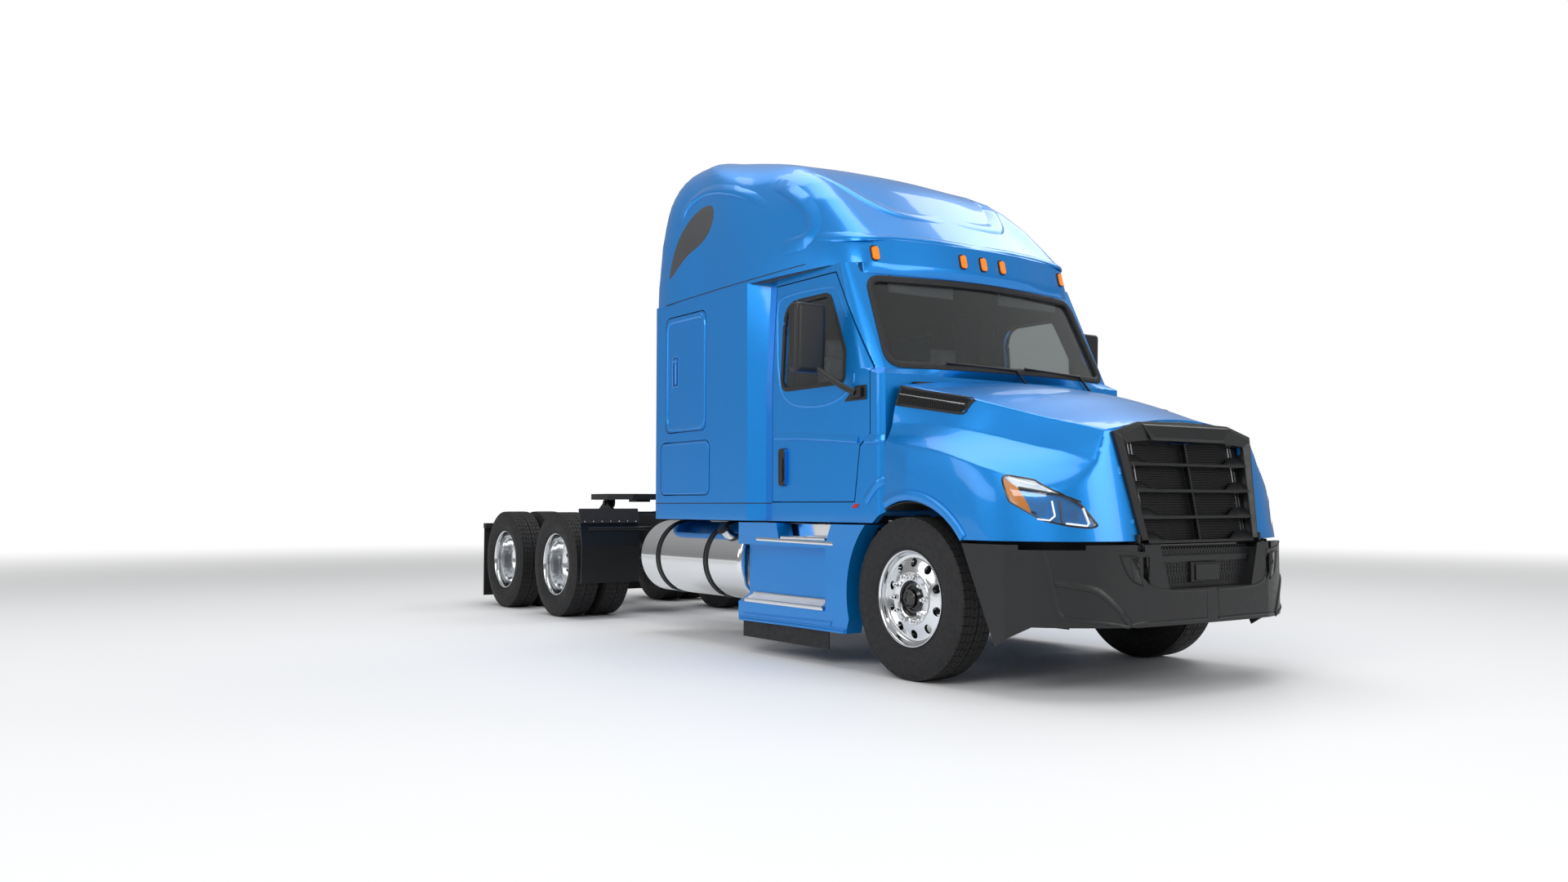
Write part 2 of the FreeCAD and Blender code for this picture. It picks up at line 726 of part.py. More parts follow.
def suspension():
    """Leaf springs on the front axle, and trailing arms with air bags at the drive axles."""
    solids = []
    beam_top = tyre_radius - beam_drop + beam_height / 2
    seat_z = beam_top + seat_gap
    end_rise = rail_top - rail_height - seat_z
    for side in (-1, 1):
        y0 = side * (spring_offset - spring_width / 2)
        y1 = side * (spring_offset + spring_width / 2)
        top = seat_z + spring_thickness
        eye = end_rise * 0.55
        profile = ((-spring_half_length, seat_z + eye), (-beam_width, seat_z), (beam_width, seat_z),
                   (spring_half_length, seat_z + eye), (spring_half_length, top + eye * 0.9),
                   (beam_width, top), (-beam_width, top), (-spring_half_length, top + eye * 0.9))
        spring = plate_xz(profile, y0, y1)
        hangers = []
        for x in (-spring_half_length, spring_half_length):
            hangers.append(block(x - spring_thickness, x + spring_thickness, y0, y1,
                                 seat_z + eye * 0.9, rail_top - rail_height - seat_gap))
        solids.append(joined([spring] + hangers))
        for x in (first_drive_axle, second_drive_axle):
            arm_low = tyre_radius + axle_tube_radius + seat_gap
            hanger_x = x + bag_radius * 4.2
            low = rail_top - rail_height - seat_gap
            arm_y0 = side * (rail_outer - rail_flange)
            arm_y1 = side * (rail_outer - rail_flange + beam_arm_width)
            arm = block(x - bag_radius * 2.6, hanger_x, arm_y0, arm_y1, arm_low, arm_low + beam_arm_height)
            hanger = block(hanger_x - beam_arm_height, hanger_x, arm_y0, arm_y1, arm_low, low)
            bag_x = x - bag_radius * 1.7
            bag = Part.makeCylinder(bag_radius * 0.86, low - arm_low - beam_arm_height / 2,
                                    V(bag_x, (arm_y0 + arm_y1) / 2, arm_low + beam_arm_height / 2), Z_AXIS)
            solids.append(joined([arm, hanger, bag]))
    return Part.makeCompound(solids)


def drive_axles():
    """Two housings, each a tube with a bowl for the gears and a nose for the shaft."""
    solids = []
    reach = dual_centre + rear_hub_outboard - wheel_disc_thickness * 2
    for x in (first_drive_axle, second_drive_axle):
        centre = V(x, 0, tyre_radius)
        inner_reach = dual_centre - dual_spacing / 2 - rim_width / 2 - door_gap * 3
        tube = drum(centre, Y_AXIS, axle_tube_radius, 2 * inner_reach)
        ends = drum(centre, Y_AXIS, axle_end_radius, 2 * reach)
        bowl = drum(centre, Y_AXIS, differential_radius, differential_width)
        nose = Part.makeCone(differential_radius * 0.8, shaft_radius * 1.6, differential_nose * 1.3, centre,
                             X_AXIS)
        solids.append(solid_of(joined([tube, ends, bowl, nose])))
    return Part.makeCompound(solids)


def driveshaft():
    """The shafts from the gearbox to the first axle, and on to the second."""
    shaft_z = tyre_radius
    nose_front = first_drive_axle + differential_nose * 1.3
    gearbox_end = -engine_rear - gearbox_length
    start = V(gearbox_end - seat_gap, 0, (gearbox_bottom + gearbox_top) / 2)
    end = V(nose_front + seat_gap, 0, shaft_z)
    run = end - start
    first = Part.makeCylinder(shaft_radius, run.Length - shaft_radius,
                              start + run * (shaft_radius / 2 / run.Length), run)
    flange_front = drum(start - X_AXIS * (shaft_radius / 2), X_AXIS, shaft_radius * 1.3, shaft_radius)
    flange_back = drum(end + X_AXIS * (shaft_radius / 2), X_AXIS, shaft_radius * 1.3, shaft_radius)
    between_start = first_drive_axle - differential_radius - seat_gap
    between_end = second_drive_axle + differential_nose * 1.3 + seat_gap
    second = Part.makeCylinder(shaft_radius, between_start - between_end, V(between_end, 0, shaft_z), X_AXIS)
    return Part.makeCompound([solid_of(joined([first, flange_front, flange_back])), second])


def engine_block():
    """One plain block at the engine's real place, with the gearbox behind it."""
    engine = block(-engine_rear, engine_front, -engine_half_width, engine_half_width, rail_top + seat_gap,
                   engine_top)
    inside = rail_outer - rail_flange - door_gap
    sump = block(-engine_rear, engine_front - crossmember_size, -inside, inside, engine_bottom + beam_height,
                 rail_top)
    gearbox = block(-engine_rear - gearbox_length, -engine_rear, -gearbox_half_width, gearbox_half_width,
                    gearbox_bottom, gearbox_top)
    return solid_of(joined([engine, sump, gearbox]))


def radiator():
    return block(radiator_front - radiator_thickness, radiator_front, -radiator_half_width,
                 radiator_half_width,
                 rail_top + seat_gap, radiator_top)


# Cab and sleeper

def screen_x(z, y):
    """Where the windscreen's outer surface is, at a height and half-width."""
    middle = -cab_nose - screen_lean * (z - belt_height)
    bow = (abs(y) / pillar_foot_half_width) ** 2 * (pillar_foot - cab_nose)
    return middle - bow


def plan_wire(z, inset, shape):
    """One closed outline of the cab at height z, drawn inwards by inset."""
    nose, corner_x, corner_y, door_y, flute_y, body_y, back = shape
    body_y, door_y, flute_y, corner_y = (value - inset for value in (body_y, door_y, flute_y, corner_y))
    nose, corner_x = nose + inset, corner_x + inset
    back = back - inset
    side_start = corner_x + (door_y - corner_y) * 2.2
    edges = []

    def line(a, b):
        edges.append(Part.LineSegment(V(*a, z), V(*b, z)).toShape())

    def arc(a, b, c):
        edges.append(Part.Arc(V(*a, z), V(*b, z), V(*c, z)).toShape())

    def side(sign):
        s = sign
        corner = sleeper_corner
        mid_x = -(corner_x * 0.35 + side_start * 0.65)
        mid_y = corner_y + (door_y - corner_y) * 0.86
        path = [
            ("arc", (-corner_x, s * corner_y), (mid_x + corner_x * 0.03, s * mid_y),
             (-side_start, s * door_y)),
            ("line", (-side_start, s * door_y), (-flute_front, s * door_y)),
            ("line", (-flute_front, s * door_y), (-flute_floor, s * flute_y)),
            ("line", (-flute_floor, s * flute_y), (-flute_back, s * body_y)),
            ("line", (-flute_back, s * body_y), (-back + corner, s * body_y)),
            ("arc", (-back + corner, s * body_y),
             (-back + corner * 0.293, s * (body_y - corner * 0.293)), (-back, s * (body_y - corner)))]
        return path

    right = side(-1)
    left = [(kind, *reversed(points)) for kind, *points in reversed(side(1))]
    arc((-corner_x, corner_y), (-nose, 0), (-corner_x, -corner_y))
    for kind, *points in right:
        (arc if kind == "arc" else line)(*points)
    line((-back, -(body_y - sleeper_corner)), (-back, body_y - sleeper_corner))
    for kind, *points in left:
        (arc if kind == "arc" else line)(*points)
    return Part.Wire(edges)


def cab_levels():
    """The cab's outline at the skirt, the belt and the roof seam."""
    rise = roof_seam - belt_height
    top_nose = cab_nose + screen_lean * rise
    top_corner = pillar_foot + pillar_lean * rise
    low = (firewall_front, firewall_front + cowl_bow, cowl_half_width, door_half_width, flute_half_width,
           half_width, sleeper_back)
    belt = (cab_nose, pillar_foot, pillar_foot_half_width, door_half_width, flute_half_width, half_width,
            sleeper_back)
    top = (top_nose, top_corner, cab_top_half_width - (door_half_width - pillar_foot_half_width) / 2,
           cab_top_half_width, flute_half_width - (door_half_width - cab_top_half_width), half_width,
           sleeper_back)
    return low, belt, top


def cab_solid(inset, bottom, top_z):
    low, belt, top = cab_levels()
    seam = belt_height - cab_wall
    lower = Part.makeLoft([plan_wire(bottom, inset, low), plan_wire(seam, inset, low)], True, True)
    middle = Part.makeLoft([plan_wire(seam, inset, low), plan_wire(belt_height, inset, belt)], True, True)
    share = (top_z - belt_height) / (roof_seam - belt_height)
    reached = tuple(a + (b - a) * share for a, b in zip(belt, top))
    upper = Part.makeLoft([plan_wire(belt_height, inset, belt), plan_wire(top_z, inset, reached)], True, True)
    return lower.fuse([middle, upper])


def door_outline(grow):
    g = grow
    return [(-door_rear - g, door_bottom - g), (-door_front_foot + g, door_bottom - g),
            (-door_front_low + g, door_step_low - g), (-door_front_step + g, door_step_high - g),
            (-door_front_step + g, belt_height + g), (-door_front_top + g, door_top + g),
            (-door_rear - g, door_top + g)]


def window_outline(grow):
    g = grow
    return [(-window_rear - g, window_bottom - g), (-window_front + g, window_bottom - g),
            (-window_front + g, window_front_rise + g), (-window_front_top + g, window_top + g),
            (-window_rear - g, window_top + g)]


def window_prism(grow, y0, y1):
    """The window's opening with each corner rounded by its own radius."""
    prism = plate_xz(window_outline(grow), y0, y1)
    for (x, z), radius in zip(window_outline(grow), window_corner_radii):
        edges = [e for e in prism.Edges if abs(e.Vertexes[0].X - x) < running_gap and abs(e.Vertexes[0].Z
                                                                                          - z) < running_gap
                 and abs(e.Vertexes[-1].X - x) < running_gap and abs(e.Vertexes[-1].Z - z) < running_gap]
        prism = prism.makeFillet(radius + grow, edges)
    return prism


def hatch_box(back, front, bottom, top, grow):
    outline = [(-back - grow, bottom - grow), (-front + grow, bottom - grow), (-front + grow, top + grow),
               (-back - grow, top + grow)]
    prism = plate_xz(outline, half_width + cut_overrun, half_width - cab_wall - cut_overrun)
    return rounded(prism, hatch_corner + grow, Y_AXIS)


def make_cab():
    outer = cab_solid(0, cab_skirt_bottom, roof_seam)
    inner = cab_solid(cab_wall, cab_floor_top, roof_seam + cut_overrun)
    under_low = block(-sleeper_back + cab_wall, -firewall_front - cab_wall, cab_wall - door_half_width,
                      door_half_width - cab_wall, 0, cab_floor_top - cab_floor_thickness)
    arch = drum(V(0, 0, tyre_radius), Y_AXIS, arch_radius, half_width * 3)
    shell = outer.cut([inner, under_low, arch])
    door_side = half_width + cut_overrun
    door_inside = cab_top_half_width - cab_wall - cut_overrun * 1.5
    door_tool = plate_xz(door_outline(0), door_side, door_inside)
    door_hole = plate_xz(door_outline(door_gap), door_side, door_inside)
    window_hole = window_prism(0, door_side, door_inside)
    upper_tool = hatch_box(hatch_back, hatch_front, upper_hatch_bottom, upper_hatch_top, 0)
    upper_hole = hatch_box(hatch_back, hatch_front, upper_hatch_bottom, upper_hatch_top, door_gap)
    lower_tool = hatch_box(lower_hatch_back, lower_hatch_front, lower_hatch_bottom, lower_hatch_top, 0)
    lower_hole = hatch_box(lower_hatch_back, lower_hatch_front, lower_hatch_bottom, lower_hatch_top, door_gap)
    wall = outer.cut(cab_solid(cab_wall, cab_skirt_bottom - cut_overrun, roof_seam + cut_overrun))
    door = wall.common(door_tool).cut(window_hole)
    upper = wall.common(upper_tool)
    lower = wall.common(lower_tool)
    within = cab_volume(cab_wall + seat_gap)
    return shell, door, door_hole.cut(within), upper, upper_hole.cut(within), lower, lower_hole.cut(within)


def roof_half(level, inset, z, sign):
    """Points on one half of the roof cap's outline, from the nose to the back, drawn inwards by inset."""
    _, nose, *corners, back, radius = level
    slant = inset * math.sqrt(0.5)
    nose, back, radius = nose * sleeper_back, back * sleeper_back, radius * half_width
    places = [(x * sleeper_back, y * half_width) for x, y in corners]
    (corner_x, corner_y), (turn_x, turn_y), (side_x, side_y), (full_x, full_y) = places
    corner_x, corner_y, turn_x, turn_y = corner_x + slant, corner_y - slant, turn_x + slant, turn_y - slant
    side_y, full_y, nose, back = side_y - inset, full_y - inset, nose + inset, back - inset
    bend = radius * (1 - math.sqrt(0.5))
    half = [(-nose, 0)] + [(-nose - across * (corner_x - nose), along * corner_y)
                           for along, across in nose_bow_shares]
    half += [(-corner_x, corner_y), (-turn_x, turn_y), (-side_x, side_y), (-full_x, full_y),
             ((-full_x - back + radius) / 2, full_y), (radius - back, full_y), (bend - back, full_y - bend),
             (-back, full_y - radius), (-back, (full_y - radius) / 2), (-back, 0)]
    return [V(x, sign * y, z) for x, y in half]


def roof_curve(points, sign):
    """A smooth curve through points, square to the middle plane at both ends."""
    knots = [0.0]
    for near, far in zip(points, points[1:]):
        knots.append(knots[-1] + (far - near).Length ** knot_power)
    curve = Part.BSplineCurve()
    curve.interpolate(Points=points, Parameters=[knot / knots[-1] for knot in knots],
                      InitialTangent=V(0, sign, 0), FinalTangent=V(0, -sign, 0))
    return curve.toShape()


def roof_wire(level, inset, z):
    return Part.Wire([roof_curve(roof_half(level, inset, z, 1), 1),
                      roof_curve(roof_half(level, inset, z, -1)[::-1], -1)])


def roof_solid(inset, bottom):
    """The roof cap's volume: an upright brow band under a dome of thin bands."""
    lowest, brow = roof_level_shares[0], roof_level_shares[1][0]
    wires = [roof_wire(lowest, inset, bottom)] if bottom < roof_seam else []
    for level in roof_level_shares:
        drop = inset * max(level[0] - brow, 0) / (1 - brow)
        wires.append(roof_wire(level, inset, roof_seam + level[0] * roof_rise - drop))
    return Part.makeLoft(wires, True, True)


def drop_outline(grow):
    """The tear-drop side window: round at the top front, pointed at the lower back."""
    length = math.hypot(roof_window_back - roof_window_front, roof_window_top - roof_window_bottom)
    tilt = math.atan2(roof_window_top - roof_window_bottom, roof_window_back - roof_window_front)
    points = []
    for along, across in drop_shares:
        reach = along * length + math.copysign(grow, along - 0.5)
        aside = across * length + math.copysign(grow, across)
        x = -roof_window_back + reach * math.cos(tilt) - aside * math.sin(tilt)
        z = roof_window_bottom + reach * math.sin(tilt) + aside * math.cos(tilt)
        points.append(V(x, 0, z))
    curve = Part.BSplineCurve()
    curve.interpolate(Points=points, PeriodicFlag=True)
    face = Part.Face(Part.Wire([curve.toShape()]))
    face.translate(V(0, half_width * 0.7, 0))
    return face.extrude(V(0, half_width * 0.5, 0))


def make_roof():
    outer = roof_solid(0, roof_seam)
    inner = roof_solid(roof_wall, roof_seam - cut_overrun)
    wide = half_width + cut_overrun
    lip = outer.common(block(-sleeper_back - cut_overrun, 0, -wide, wide, roof_seam,
                             roof_seam + roof_lip_height))
    cabin = cab_levels()[2]
    hole = Part.makeLoft([plan_wire(z, cab_wall, cabin) for z in (roof_seam - cut_overrun,
                                                                  roof_seam + cut_overrun)],
                         True, True)
    cap = outer.cut(inner).fuse(lip.cut(hole))
    panel_depth = roof_window_thickness + running_gap
    skin = roof_solid(panel_depth, roof_seam - cut_overrun)
    window = outer.cut(roof_solid(roof_window_thickness, roof_seam - cut_overrun)).common(drop_outline(0))
    recess = drop_outline(running_gap * 1.5).cut(skin)
    lamps = []
    around = roof_solid(-lamp_depth, roof_seam - cut_overrun).cut(roof_solid(-running_gap,
                                                                             roof_seam - cut_overrun * 2))
    lamp_z = lamp_middle
    for y in (-lamp_outer, -lamp_inner, 0, lamp_inner, lamp_outer):
        pill = block(-lamp_back, -lamp_back / 2, y - lamp_width / 2, y + lamp_width / 2,
                     lamp_z - lamp_height / 2, lamp_z + lamp_height / 2)
        pill = rounded(pill, lamp_width * 0.48, X_AXIS)
        lamps.append(solid_of(pill.common(around)))
    save("roof_cap", solid_of(cap.cut([recess, other_side(recess)])))
    save("roof_windows", pair(solid_of(window)))
    save("marker_lamps", Part.makeCompound(lamps))


def layer(make, near, far):
    """The skin of a volume between two insets."""
    return make(near).cut(make(far))


def cab_volume(inset):
    return cab_solid(inset, cab_skirt_bottom - cut_overrun, roof_seam)


def make_cab_parts():
    """The cab shell, its doors, hatches and glass, all cut from one wall."""
    shell, door, door_hole, upper, upper_hole, lower, lower_hole = make_cab()
    middle = block(-sleeper_back - cut_overrun, 0, -step_panel_outer * 0.6, step_panel_outer * 0.6, 0,
                   cab_floor_top - cab_floor_thickness)
    shell = shell.cut([middle] + [tool for one in (door_hole, upper_hole, lower_hole)
                                  for tool in (one, other_side(one))])
    side_y = half_width + cut_overrun
    stop_in = cab_wall + door_stop_thickness
    door_inside = cab_top_half_width - cab_wall - cut_overrun * 1.5
    ring = plate_xz(door_outline(door_gap + door_stop_thickness), side_y, door_inside).cut(
        plate_xz(door_outline(-door_stop_overlap), side_y + cut_overrun, door_inside - cut_overrun))
    stop = layer(cab_volume, cab_wall - door_stop_thickness / 2, stop_in).common(ring)
    swing_room = block(-stop_gap_back, 0, 0, side_y, stop_gap_low, stop_gap_high)
    stops = [stop.cut([door_hole, swing_room])]
    for hole, sizes in ((upper_hole, (hatch_back, hatch_front, upper_hatch_bottom, upper_hatch_top)),
                        (lower_hole, (lower_hatch_back, lower_hatch_front, lower_hatch_bottom,
                                      lower_hatch_top))):
        back, front, bottom, top = sizes
        out = hatch_box(back, front, bottom, top, door_gap + door_stop_thickness)
        into = block(-back + door_stop_overlap, -front - door_stop_overlap, 0, side_y,
                     bottom + door_stop_overlap, top - door_stop_overlap)
        slab = block(-sleeper_back, 0, half_width - stop_in, half_width - cab_wall, 0, roof_seam)
        stops.append(out.cut(into).common(slab).cut(hole))
    screen_outline = [(-screen_half_width_bottom, screen_bottom), (screen_half_width_bottom, screen_bottom),
                      (screen_half_width_top, screen_top), (-screen_half_width_top, screen_top)]

    def screen_prism(shrink):
        points = [(y - math.copysign(shrink, y), z + (shrink if z < belt_height * 1.1 else -shrink))
                  for y, z in screen_outline]
        return rounded(plate_yz(points, -sleeper_back / 2, cab_nose), screen_corner, X_AXIS)

    screen = layer(cab_volume, glass_inset, glass_inset + glass_thickness).common(screen_prism(seat_gap))
    shell = shell.cut(screen_prism(0))
    shell = shell.fuse(stops + [other_side(one) for one in stops])
    pane_tool = window_prism(-seat_gap, side_y, door_inside)
    pane = layer(cab_volume, glass_inset, glass_inset + glass_thickness).common(pane_tool)
    handle = block(-handle_x - handle_width / 2, -handle_x + handle_width / 2, door_half_width,
                   door_half_width + handle_stand, handle_bottom, handle_bottom + handle_length)
    door = door.fuse(rounded(handle, handle_width * 0.4, Y_AXIS))
    save("cab_shell", solid_of(shell))
    save("windshield", solid_of(screen))
    for word, place in (("left", lambda s: s), ("right", other_side)):
        save("door_" + word, place(solid_of(door)))
        save("door_glass_" + word, place(solid_of(pane)))
        save("hatch_upper_" + word, place(solid_of(upper)))
        save("hatch_lower_" + word, place(solid_of(lower)))


def cabin_inside():
    """Dashboard, steering wheel, seats and bunk."""
    dash = plate_xz([(-dash_front, dash_bottom), (-dash_back, dash_bottom),
                     (-dash_back, dash_top - dash_brow),
                     (-dash_back + dash_brow, dash_top), (-dash_front, dash_top)],
                    -dash_half_width, dash_half_width)
    leg = block(-dash_front - dash_brow, -dash_front, -dash_half_width / 2, dash_half_width / 2,
                cab_floor_top + seat_gap, dash_bottom)
    column_start = V(-dash_back + dash_brow, seat_offset, dash_bottom + dash_brow)
    column_end = V(-steering_x, seat_offset, steering_z)
    run = column_end - column_start
    column = Part.makeCylinder(steering_rim * 2, run.Length, column_start, run)
    wheel = Part.makeTorus(steering_radius, steering_rim, column_end, run)
    spoke = drum(column_end, Y_AXIS, steering_rim, steering_radius * 2)
    save("dashboard", solid_of(joined([dash, leg, column, wheel, spoke])))
    seats, bases = [], []
    for side in (-1, 1):
        y0, y1 = side * seat_offset - seat_half_width, side * seat_offset + seat_half_width
        base_top = seat_height - seat_cushion
        bases.append(block(-seat_x - seat_depth * 0.35, -seat_x + seat_depth * 0.35, y0 + seat_cushion / 2,
                           y1 - seat_cushion / 2, cab_floor_top + seat_gap, base_top - seat_gap))
        cushion = block(-seat_x - seat_depth / 2, -seat_x + seat_depth / 2, y0, y1, base_top, seat_height)
        back = plate_xz([(-seat_x - seat_depth / 2 - seat_cushion, seat_height - seat_cushion),
                         (-seat_x - seat_depth / 2, seat_height - seat_cushion), (-seat_x - seat_depth / 2,
                                                                                  seat_height),
                         (-seat_x - seat_depth * 0.62, seat_back_top),
                         (-seat_x - seat_depth * 0.62 - seat_cushion * 0.8, seat_back_top)],
                        y0, y1)
        head_x = -seat_x - seat_depth * 0.64 - seat_cushion * 0.4
        head = block(head_x - seat_cushion * 0.4, head_x + seat_cushion * 0.35,
                     side * seat_offset - seat_half_width / 2,
                     side * seat_offset + seat_half_width / 2, seat_back_top - seat_gap,
                     seat_back_top + seat_cushion * 1.2)
        seats.append(solid_of(joined([cushion, back, head])))
    save("seats", Part.makeCompound(seats))
    save("seat_bases", Part.makeCompound(bases))
    inner_back = sleeper_back - cab_wall - sleeper_corner / 3
    inner_side = half_width - cab_wall - sleeper_corner * 0.42
    mattress = block(-inner_back, -bunk_front, -inner_side, inner_side, bunk_height - seat_cushion,
                     bunk_height)
    save("bunk", rounded(mattress, seat_cushion * 0.3, X_AXIS))
    box = block(-inner_back, -bunk_front, -inner_side, inner_side, cab_floor_top + seat_gap,
                bunk_height - seat_cushion - seat_gap)
    room = block(-inner_back + cab_wall, -bunk_front - cab_wall, -inner_side + cab_wall,
                 inner_side - cab_wall,
                 cab_floor_top + cab_wall, bunk_height - seat_cushion - cab_wall)
    doors = block(-lower_hatch_back, -lower_hatch_front, -half_width, half_width, cab_floor_top + cab_wall,
                  bunk_height - seat_cushion - cab_wall)
    save("bunk_base", solid_of(box.cut([room, doors])))


# Hood, grille and lamps

def hood_plan_wire(z, inset, face_x):
    """The hood's outline seen from above: a bowed nose, round corners, straight sides."""
    corner = face_x - (hood_front_middle - hood_front_corner) - inset
    nose = face_x - inset
    y_in = hood_front_half_width
    radius = hood_corner_radius - inset
    centre_x = corner - radius
    side_y = y_in + radius
    diagonal = radius * math.sqrt(0.5)
    rear_y = hood_rear_half_width - inset
    rear = -hood_rear * 1.2

    def line(a, b):
        return Part.LineSegment(V(*a, z), V(*b, z)).toShape()

    def arc(a, b, c):
        return Part.Arc(V(*a, z), V(*b, z), V(*c, z)).toShape()

    edges = [arc((corner, -y_in), (nose, 0), (corner, y_in)),
             arc((corner, y_in), (centre_x + diagonal, y_in + diagonal), (centre_x, side_y)),
             line((centre_x, side_y), (0, side_y)), line((0, side_y), (rear, rear_y)),
             line((rear, rear_y), (rear, -rear_y)),
             line((rear, -rear_y), (0, -side_y)), line((0, -side_y), (centre_x, -side_y)),
             arc((centre_x, -side_y), (centre_x + diagonal, -y_in - diagonal), (corner, -y_in))]
    return Part.Wire(edges)


def hood_section_wire(x, inset, shares):
    """One cross outline of the hood: flared fender, shoulder, valley, edge and crown."""
    crown_share, *pairs = shares
    base = hood_bottom - cut_overrun * 2
    wide = half_width + cut_overrun
    points = [(wide, base)] + [(y * half_width, z * hood_crown_rear - inset) for y, z in pairs]
    crown = crown_share * hood_crown_rear - inset
    right = [V(x, -y, z) for y, z in points]
    left = [V(x, y, z) for y, z in points]
    edges = [Part.LineSegment(right[i], right[i + 1]).toShape() for i in range(len(right) - 1)]
    edges.append(Part.Arc(right[-1], V(x, 0, crown), left[-1]).toShape())
    edges += [Part.LineSegment(left[i + 1], left[i]).toShape() for i in reversed(range(len(left) - 1))]
    edges.append(Part.LineSegment(left[0], right[0]).toShape())
    return Part.Wire(edges)


def hood_volume(inset):
    bottom, top = hood_bottom, hood_crown_rear + cut_overrun
    faces = [hood_front_middle - hood_front_slope * (z - hood_bottom) for z in (bottom, top)]
    start = bottom if inset <= 0 else bottom - cut_overrun
    faces[0] = hood_front_middle - hood_front_slope * (start - hood_bottom)
    plan = Part.makeLoft([hood_plan_wire(start, inset, faces[0]), hood_plan_wire(top, inset, faces[1])], True,
                         True)
    length = hood_rear * 1.2 + hood_front_middle + cut_overrun
    wires = [hood_section_wire(-hood_rear * 1.2 + along * length, inset, shares)
             for along, *shares in hood_section_shares]
    crown = Part.makeLoft(wires, True, False)
    return solid_of(plan.common(crown))


def hood_rear_room():
    """What is cut away behind the hood: a bow that follows the foot of the windscreen."""
    bow = Part.Arc(V(-hood_rear + hood_rear_step, hood_rear_half_width * 1.2, 0),
                   V(-hood_rear + hood_rear_bow, 0, 0),
                   V(-hood_rear + hood_rear_step, -hood_rear_half_width * 1.2, 0)).toShape()
    far = -hood_rear * 2
    ends = [V(far, -hood_rear_half_width * 1.2, 0), V(far, hood_rear_half_width * 1.2, 0)]
    edges = [bow, Part.LineSegment(bow.Vertexes[1].Point, ends[0]).toShape(),
             Part.LineSegment(ends[0], ends[1]).toShape(),
             Part.LineSegment(ends[1], bow.Vertexes[0].Point).toShape()]
    return Part.Face(Part.Wire(edges)).extrude(V(0, 0, hood_crown_rear * 2))


def lamp_outline(grow):
    """The headlamp seen from the side, in (x, z)."""
    points = []
    middle_x = sum(x for x, z in lamp_points) / len(lamp_points)
    middle_z = sum(z for x, z in lamp_points) / len(lamp_points)
    for x, z in lamp_points:
        reach = math.hypot(x - middle_x, z - middle_z)
        points.append((x + grow * (x - middle_x) / reach, z + grow * (z - middle_z) / reach))
    return points


def vent_outline(grow):
    return [(vent_rear - grow, vent_rear_low - grow), (vent_front_low + grow, vent_front_bottom - grow),
            (vent_front + grow, vent_front_top + grow), (vent_rear - grow, vent_rear_high + grow)]


def make_hood():
    outer = hood_volume(0)
    inner = hood_volume(hood_wall)
    rear_room = hood_rear_room()
    shell = outer.cut([inner, rear_room])
    arch = drum(V(0, 0, tyre_radius), Y_AXIS, arch_radius, half_width * 3)
    rear_foot = plate_xz([(-hood_rear * 2, 0), (0, 0), (0, hood_rear_bottom),
                          (-hood_rear * 2, hood_rear_bottom)],
                         -half_width * 2, half_width * 2)
    side_out = half_width + cut_overrun
    lamp_tool = plate_xz(lamp_outline(0), side_out, hood_front_half_width)
    lamp_hole = plate_xz(lamp_outline(running_gap * 2), side_out, hood_front_half_width)
    lamp = outer.cut(hood_volume(headlamp_depth)).common(lamp_tool)
    vent_tool = plate_xz(vent_outline(0), side_out, vent_inner)
    vent_hole = plate_xz(vent_outline(running_gap), side_out, vent_inner)
    vent = outer.cut(hood_volume(vent_depth)).common(vent_tool)
    vent_room = vent_hole.cut(hood_volume(vent_depth + running_gap))
    mouth = leaned(plate_yz(grille_outline(running_gap), -grille_depth - cut_overrun, cut_overrun))
    sill = block(hood_front_middle - hood_wall * 3, bumper_front, -grille_half_width_bottom,
                 grille_half_width_bottom,
                 hood_bottom - cut_overrun, grille_bottom)
    tools = [arch, rear_foot, mouth, sill]
    for tool in (lamp_hole, vent_room):
        tools += [tool, other_side(tool)]
    shell = shell.cut(tools)
    arms = []
    for side in (-1, 1):
        y0 = side * hinge_arm_offset - hinge_arm_thickness / 2
        y1 = side * hinge_arm_offset + hinge_arm_thickness / 2
        top = grille_bottom + grille_frame_width * 0.7
        back = hood_front_middle - hood_wall * 1.5
        arm = plate_xz([(back - hinge_eye_radius, hood_bottom), (hinge_x - hinge_eye_radius, hinge_z),
                        (hinge_x, hinge_z - hinge_eye_radius * 0.6), (hinge_x - hinge_eye_radius * 0.9,
                                                                      hinge_z + hinge_eye_radius * 0.9),
                        (back + hood_wall, hood_bottom + hinge_eye_radius), (back + hood_wall, top),
                        (back - hinge_eye_radius, top)], y0, y1)
        eye = drum(V(hinge_x, (y0 + y1) / 2, hinge_z), Y_AXIS, hinge_eye_radius, hinge_arm_thickness)
        arms += [arm, eye]
    holes = drum(V(hinge_x, 0, hinge_z), Y_AXIS, hinge_pin_radius + running_gap, half_width)
    shell = shell.fuse(arms).cut(holes)
    save("hood", solid_of(shell.removeSplitter()))
    save("headlamps", pair(solid_of(lamp)))
    save("hood_vents", pair(solid_of(vent)))


def grille_outline(grow):
    """The surround's outer corners in (y, z), with the two top corners cut off."""
    low, high, flat = (width + grow for width in (grille_half_width_bottom, grille_half_width_top,
                                                  grille_flat_half_width))
    top = grille_top + grow
    return [(-low, grille_bottom - grow), (low, grille_bottom - grow), (high, top - grille_chamfer),
            (flat, top),
            (-flat, top), (-high, top - grille_chamfer)]


def leaned(shape):
    """Lean a piece drawn upright at zero back with the hood's nose."""
    lean = math.degrees(math.atan(hood_front_slope))
    shape.rotate(V(0, 0, grille_bottom), Y_AXIS, -lean)
    shape.translate(V(hood_front_corner + grille_stand, 0, 0))
    return shape


